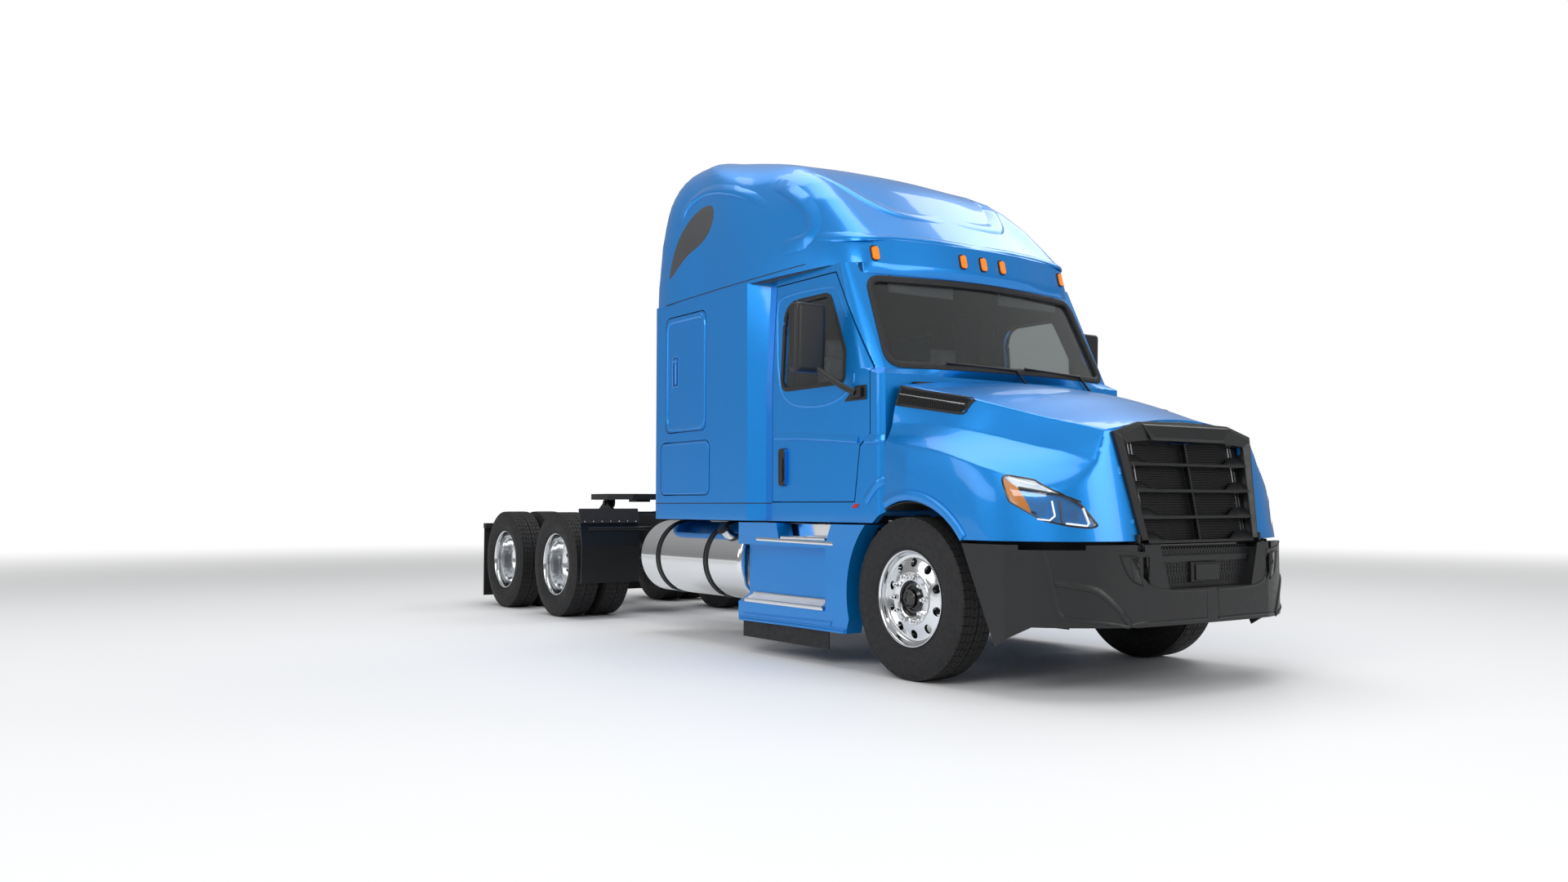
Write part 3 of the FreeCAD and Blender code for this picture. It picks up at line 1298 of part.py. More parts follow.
def grille_blade(z, reach):
    """One blade across the opening, with a wing rising towards its end at each side."""
    back = -grille_depth * 0.8
    half = blade_height / 2
    bar = plate_xz([(back / 2, z - half), (0, z - half), (0, z + half), (back / 2, z + half)], -reach, reach)
    wing = plate_yz([(reach, z - half), (reach - wing_end, z - half), (reach - wing_flat, z + wing_height),
                     (reach, z + wing_height)],
                    back, 0)
    slope = plate_xz([(0, z + half), (cut_overrun, z + half), (cut_overrun, z + wing_height * 2),
                      (back * 0.8, z + wing_height + half)],
                     0, half_width)
    wing = wing.cut(slope)
    return [bar, wing, other_side(wing)]


def make_grille():
    """The surround and its winged blades, drawn upright and leaned back with the hood's nose."""
    side, top_side = grille_frame_width, grille_frame_width * 1.6
    inner_top = grille_top - grille_band
    inside = [(-grille_half_width_bottom + side, grille_bottom + blade_height / 2),
              (grille_half_width_bottom - side, grille_bottom + blade_height / 2),
              (grille_half_width_top - top_side, inner_top - grille_band_drop),
              (grille_flat_half_width - side, inner_top), (side - grille_flat_half_width, inner_top),
              (top_side - grille_half_width_top, inner_top - grille_band_drop)]
    ring = plate_yz(grille_outline(0), -grille_depth, 0)
    ring = ring.cut(plate_yz(inside, -grille_depth - cut_overrun, cut_overrun))
    pieces = [ring]
    for rise in blade_rises:
        share = max(rise, 0) / (grille_top - grille_chamfer - grille_bottom)
        reach = grille_half_width_bottom + share * (grille_half_width_top
                                                    - grille_half_width_bottom) - side * 0.8
        pieces += grille_blade(grille_bottom + rise, reach)
    bar = block(-grille_depth * 0.7, -grille_depth * 0.4, -centre_bar_width / 2, centre_bar_width / 2,
                grille_bottom + blade_height / 2, inner_top + blade_height / 2)
    pieces.append(bar)
    save("grille", solid_of(leaned(joined(pieces))))


# Bumper

def bumper_wire(z, inset):
    nose = bumper_front - inset
    flat = bumper_front - bumper_bow - inset
    y_in = bumper_flat_half_width
    y_out = half_width - inset
    side_x = bumper_fold_x
    fold = (flat - bumper_fold_sweep, y_in + (y_out - y_in) * 0.62)

    def line(a, b):
        return Part.LineSegment(V(*a, z), V(*b, z)).toShape()

    def arc(a, b, c):
        return Part.Arc(V(*a, z), V(*b, z), V(*c, z)).toShape()

    back = bumper_rear - cut_overrun
    edges = [arc((flat, -y_in), (nose, 0), (flat, y_in)), arc((flat, y_in), fold, (side_x, y_out)),
             line((side_x, y_out), (back, y_out)), line((back, y_out), (back, -y_out)),
             line((back, -y_out), (side_x, -y_out)),
             arc((side_x, -y_out), (fold[0], -fold[1]), (flat, -y_in))]
    return Part.Wire(edges)


def bumper_volume(inset, bottom, top):
    return Part.Face(bumper_wire(bottom, inset)).extrude(V(0, 0, top - bottom))


def mouth_outline(grow):
    return [(-mouth_half_bottom - grow, mouth_bottom - grow), (mouth_half_bottom + grow, mouth_bottom - grow),
            (mouth_half_top + grow, bumper_top + cut_overrun), (-mouth_half_top - grow,
                                                                bumper_top + cut_overrun)]


def make_bumper():
    low = bumper_side_bottom - cut_overrun
    outer = bumper_volume(0, low, bumper_top)
    inner = bumper_volume(bumper_wall, low - cut_overrun, bumper_top - bumper_wall)
    wide = half_width * 2
    under = plate_xz([(bumper_rear - wide, 0), (bumper_front + wide, 0), (bumper_front + wide, bumper_bottom),
                      (bumper_fold_x + cut_overrun * 2, bumper_bottom), (bumper_foot_x, bumper_side_bottom),
                      (bumper_rear, bumper_top + bumper_wall),
                      (bumper_rear - wide, bumper_top + bumper_wall)], -wide, wide)
    top_room = block(bumper_rear - cut_overrun, hood_front_middle - hood_wall * 4,
                     -half_width + bumper_wall * 3,
                     half_width - bumper_wall * 3, bumper_top - bumper_wall * 2, bumper_top + cut_overrun)
    hinge_room = block(hood_front_middle - hood_wall * 5, bumper_front - bumper_wall * 1.5,
                       -hinge_arm_offset - cut_overrun, hinge_arm_offset + cut_overrun,
                       hinge_z - hinge_eye_radius - door_gap, bumper_top + cut_overrun)
    slot = [(mouth_half_top + slot_step, slot_bottom), (mouth_half_top + slot_step + slot_width,
                                                        slot_bottom + slot_width),
            (mouth_half_top + slot_step + slot_width, slot_top), (mouth_half_top + slot_step, slot_top)]
    slot_tool = plate_yz(slot, bumper_rear, bumper_front + cut_overrun)
    mouth = plate_yz(mouth_outline(0), radiator_front, bumper_front + cut_overrun)
    shell = outer.cut([inner, under, top_room, hinge_room, slot_tool, other_side(slot_tool), mouth])
    back = bumper_front - mouth_depth
    tunnel = plate_yz(mouth_outline(bumper_wall), back, bumper_front - bumper_wall)
    tunnel = tunnel.cut(plate_yz(mouth_outline(0), back + bumper_wall, bumper_front))
    tunnel = tunnel.common(block(back, bumper_front, -wide, wide, 0, bumper_top - bumper_wall * 2))
    plate_y = hinge_arm_offset + hinge_arm_thickness / 2 + door_gap + horn_thickness + seat_gap
    bracket_end = bumper_front - bumper_bow - bumper_wall / 2
    bracket = block(bracket_back, bracket_end, plate_y, plate_y + bumper_wall * 2, rail_top - rail_height,
                    rail_top - rail_height + bumper_wall * 5)
    brackets = [bracket, other_side(bracket)]
    body = shell.fuse([tunnel] + brackets)
    save("bumper", solid_of(body.removeSplitter()))


def make_mirror():
    """A mirror head on one arm from a bracket on the door's front corner."""
    head = block(-mirror_front, -mirror_front + mirror_depth, mirror_inner, mirror_inner + mirror_width,
                 mirror_bottom,
                 mirror_bottom + mirror_height)
    head = rounded(head, mirror_depth * 0.3, Z_AXIS)
    foot_x, foot_z = -door_front_step - mirror_arm * 2, window_bottom - mirror_arm * 2.6
    skin = door_half_width + seat_gap
    bracket = plate_xz([(foot_x - mirror_depth * 1.6, foot_z - mirror_arm),
                        (foot_x + mirror_arm, foot_z - mirror_arm),
                        (foot_x + mirror_arm, foot_z + mirror_arm * 1.6), (foot_x - mirror_arm * 1.6,
                                                                           foot_z + mirror_arm * 1.6)],
                       skin, skin + mirror_arm)
    start = V(foot_x - mirror_arm, skin + mirror_arm * 0.7, foot_z)
    end = V(-mirror_front + mirror_depth / 2, mirror_inner + mirror_width * 0.35, mirror_bottom + mirror_arm)
    run = end - start
    arm = Part.makeCylinder(mirror_arm / 2, run.Length, start, run)
    return solid_of(joined([head, bracket, arm]))


def make_cowl():
    """The dark strip between the hood and the glass, with the two wipers on it."""
    reach = hood_rear_room()
    reach.translate(V(-door_gap, 0, 0))
    slab = block(-hood_rear * 2, 0, -cowl_reach, cowl_reach, cowl_height, cowl_height + cowl_thickness)
    strip = slab.common(reach).cut(cab_solid(-seat_gap, cowl_height - cut_overrun, roof_seam))
    save("cowl", solid_of(strip))
    wipers = []
    for pivot_share in wiper_pivot_shares:
        foot_y = pivot_share * screen_half_width_bottom
        knee_y = foot_y - wiper_knee
        tip_y = knee_y - wiper_reach
        knee_z, tip_z = screen_bottom + wiper_radius * 2, screen_bottom + wiper_radius * 4.5
        foot_z = cowl_height + cowl_thickness + seat_gap
        foot_x = max(screen_x(belt_height, foot_y), -firewall_front) + wiper_radius * 3
        foot = V(foot_x, foot_y, foot_z)
        knee = V(screen_x(knee_z, knee_y) + wiper_radius * 2.8, knee_y, knee_z)
        tip = V(screen_x(tip_z, tip_y) + wiper_radius * 2.3, tip_y, tip_z)
        base = Part.makeCylinder(wiper_radius * 1.6, wiper_radius * 2, foot, Z_AXIS)
        start = foot + Z_AXIS * wiper_radius
        lower = Part.makeCylinder(wiper_radius, (knee - start).Length, start, knee - start)
        upper = Part.makeCylinder(wiper_radius, (tip - knee).Length, knee, tip - knee)
        bend = Part.makeSphere(wiper_radius, knee)
        wipers.append(solid_of(joined([base, lower, bend, upper])))
    save("wipers", Part.makeCompound(wipers))


def make_tanks():
    centre_y, centre_z = tank_offset, tank_height
    length = tank_back - tank_front
    tank = Part.makeCylinder(tank_radius, length, V(-tank_back, centre_y, centre_z), X_AXIS)
    tank = tank.makeFillet(tank_radius * 0.1, [e for e in tank.Edges if e.Curve.TypeId == "Part::GeomCircle"])
    neck = V(-filler_back, centre_y + tank_radius * 0.62, centre_z + tank_radius * 0.6)
    filler = Part.makeCylinder(filler_radius, tank_radius * 0.36, neck, V(0, 1, 1))
    straps = []
    bottom = rail_top - rail_height
    for share in strap_shares:
        x = -tank_back + share * length
        band = Part.makeCylinder(tank_radius + seat_gap + strap_thickness, strap_width,
                                 V(x, centre_y, centre_z), X_AXIS)
        bracket = block(x, x + strap_width, rail_outer + seat_gap, centre_y, centre_z - tank_radius * 0.9,
                        rail_top - rail_wall)
        whole = joined([band, bracket])
        hole = Part.makeCylinder(tank_radius + seat_gap, strap_width + cut_overrun, V(x - cut_overrun / 2,
                                                                                      centre_y, centre_z),
                                 X_AXIS)
        straps.append(solid_of(whole.cut(hole)))
    save("fuel_tanks", pair(solid_of(joined([tank, filler]))))
    save("tank_straps", Part.makeCompound(straps + [other_side(one) for one in straps]))


def make_steps():
    """The step fairing with its two treads, and the bright box behind it."""
    outer, inner = half_width, half_width - step_depth
    arch = drum(V(0, 0, tyre_radius), Y_AXIS, arch_radius, half_width * 3)
    face = [(-step_back, step_top), (-step_back, step_bottom), (-step_front + step_foot, step_bottom),
            (-step_front + step_foot * 2.4, step_top)]
    whole = plate_xz(face, inner, outer).cut(arch)
    upper_well = plate_xz([(-step_back + pillar_length, upper_step_height), (-step_front - step_wall * 2,
                                                                             upper_step_height),
                           (-step_front + step_wall * 1.5, step_top + cut_overrun),
                           (-step_back + pillar_length * 0.9, step_top + cut_overrun)],
                          0, half_width * 2)
    well_in, well_out = step_panel_outer + step_wall, outer + cut_overrun
    lower_well = plate_yz([(well_in, lower_step_height),
                           (well_out, lower_step_height - tread_slope * (well_out - well_in)),
                           (well_out, upper_step_height - step_wall * 2),
                           (well_in, upper_step_height - step_wall * 2)],
                          -step_back - cut_overrun, -step_front - step_wall * 2.4)
    under = block(-step_back + step_wall, -step_front - step_wall * 2, 0, outer - step_wall, 0,
                  lower_step_height - step_wall - tread_slope * (outer - well_in))
    behind = block(-step_back + step_wall, -step_front - step_wall * 2, 0, step_panel_outer, 0,
                   upper_step_height - step_wall)
    fairing = whole.cut([upper_well, lower_well, under, behind])
    skirt_out = outer - step_wall - seat_gap
    skirt = block(-step_back + step_wall * 1.2, -step_front - step_wall * 2.2,
                  skirt_out - step_skirt_thickness, skirt_out,
                  step_skirt_bottom, step_bottom + step_wall * 3)
    save("step_skirts", pair(skirt))
    beams = []
    for x in (-step_back + step_wall * 4, -step_front - step_wall * 6):
        beams.append(block(x, x + step_wall * 2, rail_outer + seat_gap, inner + step_wall,
                           rail_top - rail_height,
                           rail_top - rail_height + step_wall * 2))
    fairing = joined([fairing] + beams)
    save("step_fairings", pair(solid_of(fairing)))
    upper_start = -step_back + pillar_length + step_wall / 2
    height = upper_step_height + seat_gap
    treads = [block(upper_start, -step_front - step_wall * 3, inner, outer - step_wall * 0.2, height,
                    height + tread_thickness)]
    y0, y1 = well_in + step_wall / 2, outer - step_wall * 0.2
    height = lower_step_height + seat_gap - tread_slope * (y0 - well_in)
    fall = tread_slope * (y1 - y0)
    treads.append(plate_yz([(y0, height), (y1, height - fall), (y1, height - fall + tread_thickness),
                            (y0, height + tread_thickness)],
                           -step_back + step_wall * 3, -step_front - step_wall * 4))
    save("step_treads", Part.makeCompound(treads + [other_side(one) for one in treads]))


def make_side_boxes():
    """A bright box on each rail behind the steps, on two feet."""
    box_z = side_box_bottom
    box = block(-side_box_back, -side_box_front, side_box_inner, side_box_outer, box_z, side_box_top)
    box = rounded(box, side_box_corner, Y_AXIS)
    feet = []
    for x in (-side_box_back + side_box_corner * 3, -side_box_front - side_box_corner * 3):
        feet.append(block(x, x + side_box_corner, rail_outer + seat_gap, side_box_inner,
                          rail_top - rail_height,
                          rail_top - rail_wall * 2))
    save("side_boxes", pair(solid_of(joined([box] + feet))))


def make_rear():
    """Quarter fenders ahead of the drive tyres, and the hangers, flaps and lamps at the end."""
    outline = [(0, fender_bottom), (fender_thickness, (fender_bottom + fender_top) / 2),
               (-fender_thickness * 2, fender_top * 0.86),
               (-fender_thickness * 5, fender_top)]
    back = [(x - fender_thickness, z) for x, z in reversed(outline)]
    fender = plate_xz(outline + back, fender_inner, fender_outer)
    fender.translate(V(-fender_x, 0, 0))
    arm_z = rail_top - rail_height / 2
    arm = Part.makeCylinder(hinge_eye_radius, fender_outer - fender_thickness * 6 - rail_outer - seat_gap,
                            V(-fender_x - fender_thickness - hinge_eye_radius * 0.5, rail_outer + seat_gap,
                              arm_z), Y_AXIS)
    save("rear_fenders", pair(solid_of(joined([fender, arm]))))
    x0 = rear_end + tail_lamp_depth
    hanger = block(x0, x0 + crossmember_thickness, rail_outer + seat_gap, flap_outer, flap_top,
                   flap_top + crossmember_thickness * 0.8)
    flap = block(x0 + crossmember_thickness * 0.3, x0 + crossmember_thickness * 0.3 + flap_thickness,
                 flap_inner, flap_outer, flap_bottom, flap_top)
    save("rear_flaps", pair(solid_of(joined([hanger, flap]))))
    lamp = block(rear_end, x0 - seat_gap, flap_inner, flap_outer - crossmember_thickness, flap_top,
                 flap_top + crossmember_thickness * 0.8)
    save("tail_lamps", pair(lamp))


def make_coupling():
    """The fifth wheel: a horseshoe plate that rocks on two pins in the brackets on the frame."""
    pivot_z = coupling_top - pivot_drop
    bottom = coupling_top - plate_thickness
    slot_half = kingpin_bore_radius
    mouth_half = plate_half_width * 0.42
    reach = plate_back_reach
    outline = [(plate_front_reach, plate_half_width * 0.52), (plate_front_reach * 0.55, plate_half_width),
               (-reach * 0.35, plate_half_width),
               (-reach, mouth_half * 1.25), (-reach, mouth_half), (-reach * 0.42, slot_half), (0, slot_half)]
    outline += [(x, -y) for x, y in reversed(outline)]
    plate = plate_xy(outline, bottom, coupling_top)
    rim_low = coupling_top - plate_rim_depth
    skirt = plate_xy(outline, rim_low, bottom).cut(plate_xy([(x * 0.9, y * 0.93) for x, y in outline[:4]]
                                                            + [(x * 0.9, y * 0.93) for x, y in outline[-4:]],
                                                            rim_low - cut_overrun, bottom + cut_overrun))
    jaw = block(-jaw_depth, jaw_depth, -jaw_depth, jaw_depth, coupling_top - jaw_depth, bottom)
    bore = drum(V(0, 0, coupling_top), Z_AXIS, kingpin_bore_radius, jaw_depth * 4)
    throat = block(-reach, 0, -slot_half, slot_half, 0, coupling_top * 2)
    lugs = []
    for side in (-1, 1):
        y0 = side * (bracket_offset - bracket_thickness * 2 - door_gap)
        y1 = side * (bracket_offset - bracket_thickness - door_gap)
        lugs.append(block(-pivot_radius * 2, pivot_radius * 2, y0, y1, pivot_z, bottom))
        lugs.append(drum(V(0, (y0 + y1) / 2, pivot_z), Y_AXIS, pivot_radius * 2, abs(y1 - y0)))
        lugs.append(drum(V(0, side * (bracket_offset - bracket_thickness * 0.5), pivot_z), Y_AXIS,
                         pivot_radius, bracket_thickness * 3))
    top = joined([plate, skirt, jaw] + lugs).cut([bore, throat])
    top.translate(V(-coupling_x, 0, 0))
    base_low = rail_top + seat_gap
    solids = []
    for side in (-1, 1):
        y0 = side * (bracket_offset - bracket_thickness / 2)
        y1 = side * (bracket_offset + bracket_thickness / 2)
        cheek = plate_xz([(-plate_front_reach * 0.7, base_low), (plate_front_reach * 0.7, base_low),
                          (pivot_radius * 2, pivot_z), (-pivot_radius * 2, pivot_z)], y0, y1)
        eye = drum(V(0, (y0 + y1) / 2, pivot_z), Y_AXIS, pivot_radius * 2, bracket_thickness)
        bar = block(-plate_front_reach * 0.9, plate_front_reach * 0.9, side * (rail_outer - rail_flange),
                    side * rail_outer, base_low, base_low + bracket_thickness / 2)
        solids += [cheek, eye, bar]
    for x in (-plate_front_reach * 0.6, plate_front_reach * 0.6):
        solids.append(block(x - bracket_thickness, x + bracket_thickness, -rail_outer, rail_outer, base_low,
                            base_low + bracket_thickness / 2))
    holes = drum(V(0, 0, pivot_z), Y_AXIS, pivot_radius + running_gap, half_width)
    base = joined(solids).cut(holes)
    base.translate(V(-coupling_x, 0, 0))
    save("fifth_wheel_plate", solid_of(top))
    save("fifth_wheel_base", solid_of(base))


if __name__ == "__main__":
    os.makedirs("parts", exist_ok=True)
    make_wheels()
    for side_sign, side_word in ((-1, "right"), (1, "left")):
        save("knuckle_" + side_word, knuckle(side_sign))
    save("frame_rails", frame_rails())
    save("front_axle", front_axle())
    save("tie_rod", tie_rod())
    save("suspension", suspension())
    save("drive_axles", drive_axles())
    save("driveshaft", driveshaft())
    save("engine_block", engine_block())
    save("radiator", radiator())
    make_cab_parts()
    make_roof()
    cabin_inside()
    make_hood()
    make_grille()
    make_bumper()
    mirror = make_mirror()
    save("mirror_left", mirror)
    save("mirror_right", other_side(mirror))
    make_cowl()
    make_tanks()
    make_steps()
    make_side_boxes()
    make_rear()
    make_coupling()
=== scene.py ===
import math

import bmesh
import bpy
from mathutils import Matrix, Vector
from mathutils.bvhtree import BVHTree


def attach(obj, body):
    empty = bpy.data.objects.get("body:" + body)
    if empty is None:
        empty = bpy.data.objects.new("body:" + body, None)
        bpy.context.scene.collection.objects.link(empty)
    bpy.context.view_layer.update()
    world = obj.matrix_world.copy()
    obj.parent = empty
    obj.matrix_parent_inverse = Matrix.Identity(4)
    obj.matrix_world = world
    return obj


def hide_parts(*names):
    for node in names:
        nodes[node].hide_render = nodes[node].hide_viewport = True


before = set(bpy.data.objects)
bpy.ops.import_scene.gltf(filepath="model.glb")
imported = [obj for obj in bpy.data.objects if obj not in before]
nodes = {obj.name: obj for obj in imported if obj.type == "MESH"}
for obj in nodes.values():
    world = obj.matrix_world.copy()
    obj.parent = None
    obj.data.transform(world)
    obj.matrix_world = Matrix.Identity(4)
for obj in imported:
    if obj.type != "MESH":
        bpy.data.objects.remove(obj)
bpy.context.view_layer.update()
datum = 2.990  # the front axle's place along X


# Colours and node materials

def srgb(code, alpha=1.0):
    parts = [int(code[i:i + 2], 16) / 255 for i in (1, 3, 5)]
    return tuple(c / 12.92 if c <= 0.04045 else ((c + 0.055) / 1.055) ** 2.4 for c in parts) + (alpha,)


def addNode(tree, kind, inputs=None, **settings):
    node = tree.nodes.new(kind)
    for key, value in settings.items():
        setattr(node, key, value)
    for key, value in (inputs or {}).items():
        if isinstance(value, bpy.types.NodeSocket):
            tree.links.new(value, node.inputs[key])
        else:
            node.inputs[key].default_value = value
    return node


def newMaterial(name):
    material = bpy.data.materials.new(name)
    material.use_nodes = True
    tree = material.node_tree
    shader = tree.nodes["Principled BSDF"]
    place = addNode(tree, "ShaderNodeTexCoord")
    return material, tree, shader, place.outputs["Object"]


def noiseAt(tree, place, scale, detail=2.0, stretch=None):
    if stretch:
        place = addNode(tree, "ShaderNodeMapping", {"Vector": place, "Scale": stretch}).outputs[0]
    return addNode(tree, "ShaderNodeTexNoise", {"Vector": place, "Scale": scale,
                                                "Detail": detail}).outputs["Fac"]


def spread(tree, value, low, high):
    return addNode(tree, "ShaderNodeMapRange", {"Value": value, "From Min": 0.3, "From Max": 0.7,
                                                "To Min": low, "To Max": high}).outputs[0]


def blendColours(tree, value, first, second):
    mix = addNode(tree, "ShaderNodeMix", data_type="RGBA")
    tree.links.new(value, mix.inputs[0])
    for socket, colour in ((mix.inputs[6], first), (mix.inputs[7], second)):
        if isinstance(colour, bpy.types.NodeSocket):
            tree.links.new(colour, socket)
        else:
            socket.default_value = colour
    return mix.outputs[2]


def bumpBy(tree, shader, value, height, strength=1.0):
    bump = addNode(tree, "ShaderNodeBump", {"Height": value, "Strength": strength, "Distance": height})
    tree.links.new(bump.outputs[0], shader.inputs["Normal"])


def setInputs(shader, values):
    for name, value in values.items():
        shader.inputs[name].default_value = value


def paintMaterial(name, code, deepCode):
    # Metallic coach paint: a fine flake, a clear coat and slight orange peel
    material, tree, shader, place = newMaterial(name)
    flake = addNode(tree, "ShaderNodeTexVoronoi", {"Vector": place, "Scale": 900.0}).outputs["Color"]
    grain = addNode(tree, "ShaderNodeSeparateColor", {"Color": flake}).outputs[0]
    colour = blendColours(tree, spread(tree, grain, 0.0, 1.0), srgb(code), srgb(deepCode))
    tree.links.new(colour, shader.inputs["Base Color"])
    setInputs(shader, {"Metallic": 0.55, "Roughness": 0.34, "Coat Weight": 0.5, "Coat Roughness": 0.05})
    bumpBy(tree, shader, noiseAt(tree, place, 220.0), 0.00012, 0.25)
    return material


def plainMaterial(name, code, roughness, metallic=0.0, grain=0.0, grainScale=400.0, coat=0.0, change=0.05):
    # A surface with slight changes of shine, and grain as real height in metres
    material, tree, shader, place = newMaterial(name)
    colour = srgb(code)
    darker = tuple(c * (1 - change * 2) for c in colour[:3]) + (1.0,)
    cloud = spread(tree, noiseAt(tree, place, 9.0, 4.0), 0.0, 1.0)
    tree.links.new(blendColours(tree, cloud, colour, darker), shader.inputs["Base Color"])
    shine = spread(tree, noiseAt(tree, place, 30.0, 3.0), roughness * 0.88, roughness * 1.12)
    tree.links.new(shine, shader.inputs["Roughness"])
    setInputs(shader, {"Metallic": metallic, "Coat Weight": coat})
    if grain:
        bumpBy(tree, shader, noiseAt(tree, place, grainScale, 2.0), grain)
    return material


def brushedMaterial(name, code, roughness, stretch=(1.0, 60.0, 60.0)):
    material, tree, shader, place = newMaterial(name)
    setInputs(shader, {"Base Color": srgb(code), "Metallic": 1.0})
    lines = noiseAt(tree, place, 40.0, 3.0, stretch)
    tree.links.new(spread(tree, lines, roughness * 0.7, roughness * 1.3), shader.inputs["Roughness"])
    bumpBy(tree, shader, lines, 0.00004, 0.5)
    return material


def glassMaterial(name, code, roughness=0.02):
    material, tree, shader, place = newMaterial(name)
    setInputs(shader, {"Base Color": srgb(code), "Transmission Weight": 0.99, "IOR": 1.45})
    film = spread(tree, noiseAt(tree, place, 3.0), roughness, roughness * 2)
    tree.links.new(film, shader.inputs["Roughness"])
    return material


def lensMaterial(name, code, rib=0.0001, glow=0.0):
    # A coloured lamp lens, with ribs moulded across it
    material, tree, shader, place = newMaterial(name)
    setInputs(shader, {"Base Color": srgb(code), "Roughness": 0.12, "Transmission Weight": 0.35,
                       "Coat Weight": 0.6, "Emission Color": srgb(code), "Emission Strength": glow})
    wave = addNode(tree, "ShaderNodeTexWave", {"Vector": place, "Scale": 60.0}).outputs["Fac"]
    bumpBy(tree, shader, wave, rib, 0.6)
    return material


paint = paintMaterial("blue metallic coach paint", "#0092E6", "#007AD2")
# A darker blue that paints the shade inside the latch's recess
recessShadePaint = paintMaterial("blue coach paint in a recess", "#0A5CB0", "#084E9A")
curtainCloth = plainMaterial("dark grey curtain cloth", "#3C4046", 0.92, grain=0.0004, grainScale=1400.0)
blackPaint = plainMaterial("satin black chassis paint", "#1C1D1F", 0.45, grain=0.0001)
blackPlastic = plainMaterial("moulded black plastic", "#151618", 0.40, grain=0.00012, grainScale=900.0)
glossBlack = plainMaterial("gloss black plastic", "#0E0F11", 0.16, coat=0.4)
greyTrim = plainMaterial("grey cabin trim plastic", "#4A4C50", 0.6, grain=0.0002, grainScale=700.0)
darkTrim = plainMaterial("dark cabin trim plastic", "#2E3034", 0.62, grain=0.0002, grainScale=700.0)
polished = brushedMaterial("polished aluminium", "#E4E6E8", 0.13)
castAlloy = plainMaterial("machined steel", "#9A9DA1", 0.35, metallic=1.0, grain=0.00005)
iron = plainMaterial("dark cast iron", "#2B2B2D", 0.62, metallic=0.3, grain=0.0004, grainScale=250.0)
chrome = plainMaterial("bright chrome", "#EDEEF0", 0.06, metallic=1.0, change=0.01)
glass = glassMaterial("clear tinted glass", "#EAF0F0")
darkGlass = plainMaterial("dark tinted window panel", "#3B3D41", 0.12, coat=0.8)
amberLens = lensMaterial("amber lamp lens", "#FF9416", rib=0.0006, glow=0.25)
whiteGuide = lensMaterial("white light guide", "#F3F6F8", glow=0.25)
redLens = lensMaterial("red lamp lens", "#D21E1E", rib=0.0006, glow=0.1)
clearLens = glassMaterial("clear lamp cover", "#F4F7F8")
tyreRubber = plainMaterial("tyre rubber", "#18181A", 0.70, grain=0.0003, grainScale=500.0)
blackRubber = plainMaterial("black rubber", "#18181A", 0.62, grain=0.0002, grainScale=600.0)
seatCloth = plainMaterial("grey woven seat cloth", "#6E7278", 0.9, grain=0.0005, grainScale=1500.0)
bunkCloth = plainMaterial("bunk cover cloth", "#8A8F98", 0.9, grain=0.0005, grainScale=1200.0)

# A star stands for left and right
nodeMaterials = {
    paint: "cab_shell door_* hatch_lower_* hatch_upper_* hood roof_cap step_fairings",
    blackPaint: "drive_axles fifth_wheel_base fifth_wheel_plate frame_rails front_axle suspension "
                "tank_straps",
    blackPlastic: "bumper cowl grille hood_vents mirror_* rear_fenders wipers",
    greyTrim: "bunk_base seat_bases", darkTrim: "dashboard",
    polished: "fuel_tanks rim_front_* rims_drive1_* rims_drive2_* side_boxes step_treads",
    castAlloy: "driveshaft radiator tie_rod", iron: "engine_block knuckle_*",
    glass: "windshield door_glass_*", darkGlass: "roof_windows",
    amberLens: "marker_lamps", redLens: "tail_lamps", clearLens: "headlamps",
    tyreRubber: "tyre_front_* tyres_drive1_* tyres_drive2_*", blackRubber: "rear_flaps step_skirts",
    seatCloth: "seats", bunkCloth: "bunk"}
for material, names in nodeMaterials.items():
    for name in [name.replace("*", word) for name in names.split() for word in ("left", "right")]:
        nodes[name].data.materials.clear()
        nodes[name].data.materials.append(material)


# Helpers for pieces

sides = ((-1, "right"), (1, "left"))
slots = {paint: "paint", recessShadePaint: "paint", blackPaint: "black_paint", blackPlastic: "black_plastic",
         glossBlack: "black_plastic", greyTrim: "grey_plastic", blackRubber: "rubber", tyreRubber: "tyre",
         polished: "polished", chrome: "polished", castAlloy: "polished", amberLens: "amber", redLens: "red",
         clearLens: "lens", whiteGuide: "lens", seatCloth: "cloth", bunkCloth: "cloth", curtainCloth: "cloth"}


def addObject(name, mesh):
    obj = bpy.data.objects.new(name, mesh)
    bpy.context.scene.collection.objects.link(obj)
    return obj


def placed(obj, material, body, slot=None, replaced=()):
    # A finished piece with its material, its body and the CAD nodes it stands for
    if not obj.data.materials:
        obj.data.materials.append(material)
    slot = slot or slots[material]
    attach(obj, body)
    if replaced:
        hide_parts(*replaced)
    return obj


def piece(name, bm, material, body, angle=None, replaced=(), slot=None):
    return placed(addObject(name, meshOf(bm, angle)), material, body, slot, replaced)


def bevelled(obj, width, segments, degrees):
    step = obj.modifiers.new("edges", "BEVEL")
    step.width, step.segments, step.limit_method = width, segments, "ANGLE"
    step.angle_limit = math.radians(degrees)


def meshOf(bm, sharpAngle=None):
    bmesh.ops.recalc_face_normals(bm, faces=bm.faces)
    if sharpAngle is not None:
        for face in bm.faces:
            face.smooth = True
        for edge in bm.edges:
            if len(edge.link_faces) == 2 and edge.calc_face_angle(0) > math.radians(sharpAngle):
                edge.smooth = False
    mesh = bpy.data.meshes.new("piece")
    bm.to_mesh(mesh)
    bm.free()
    return mesh


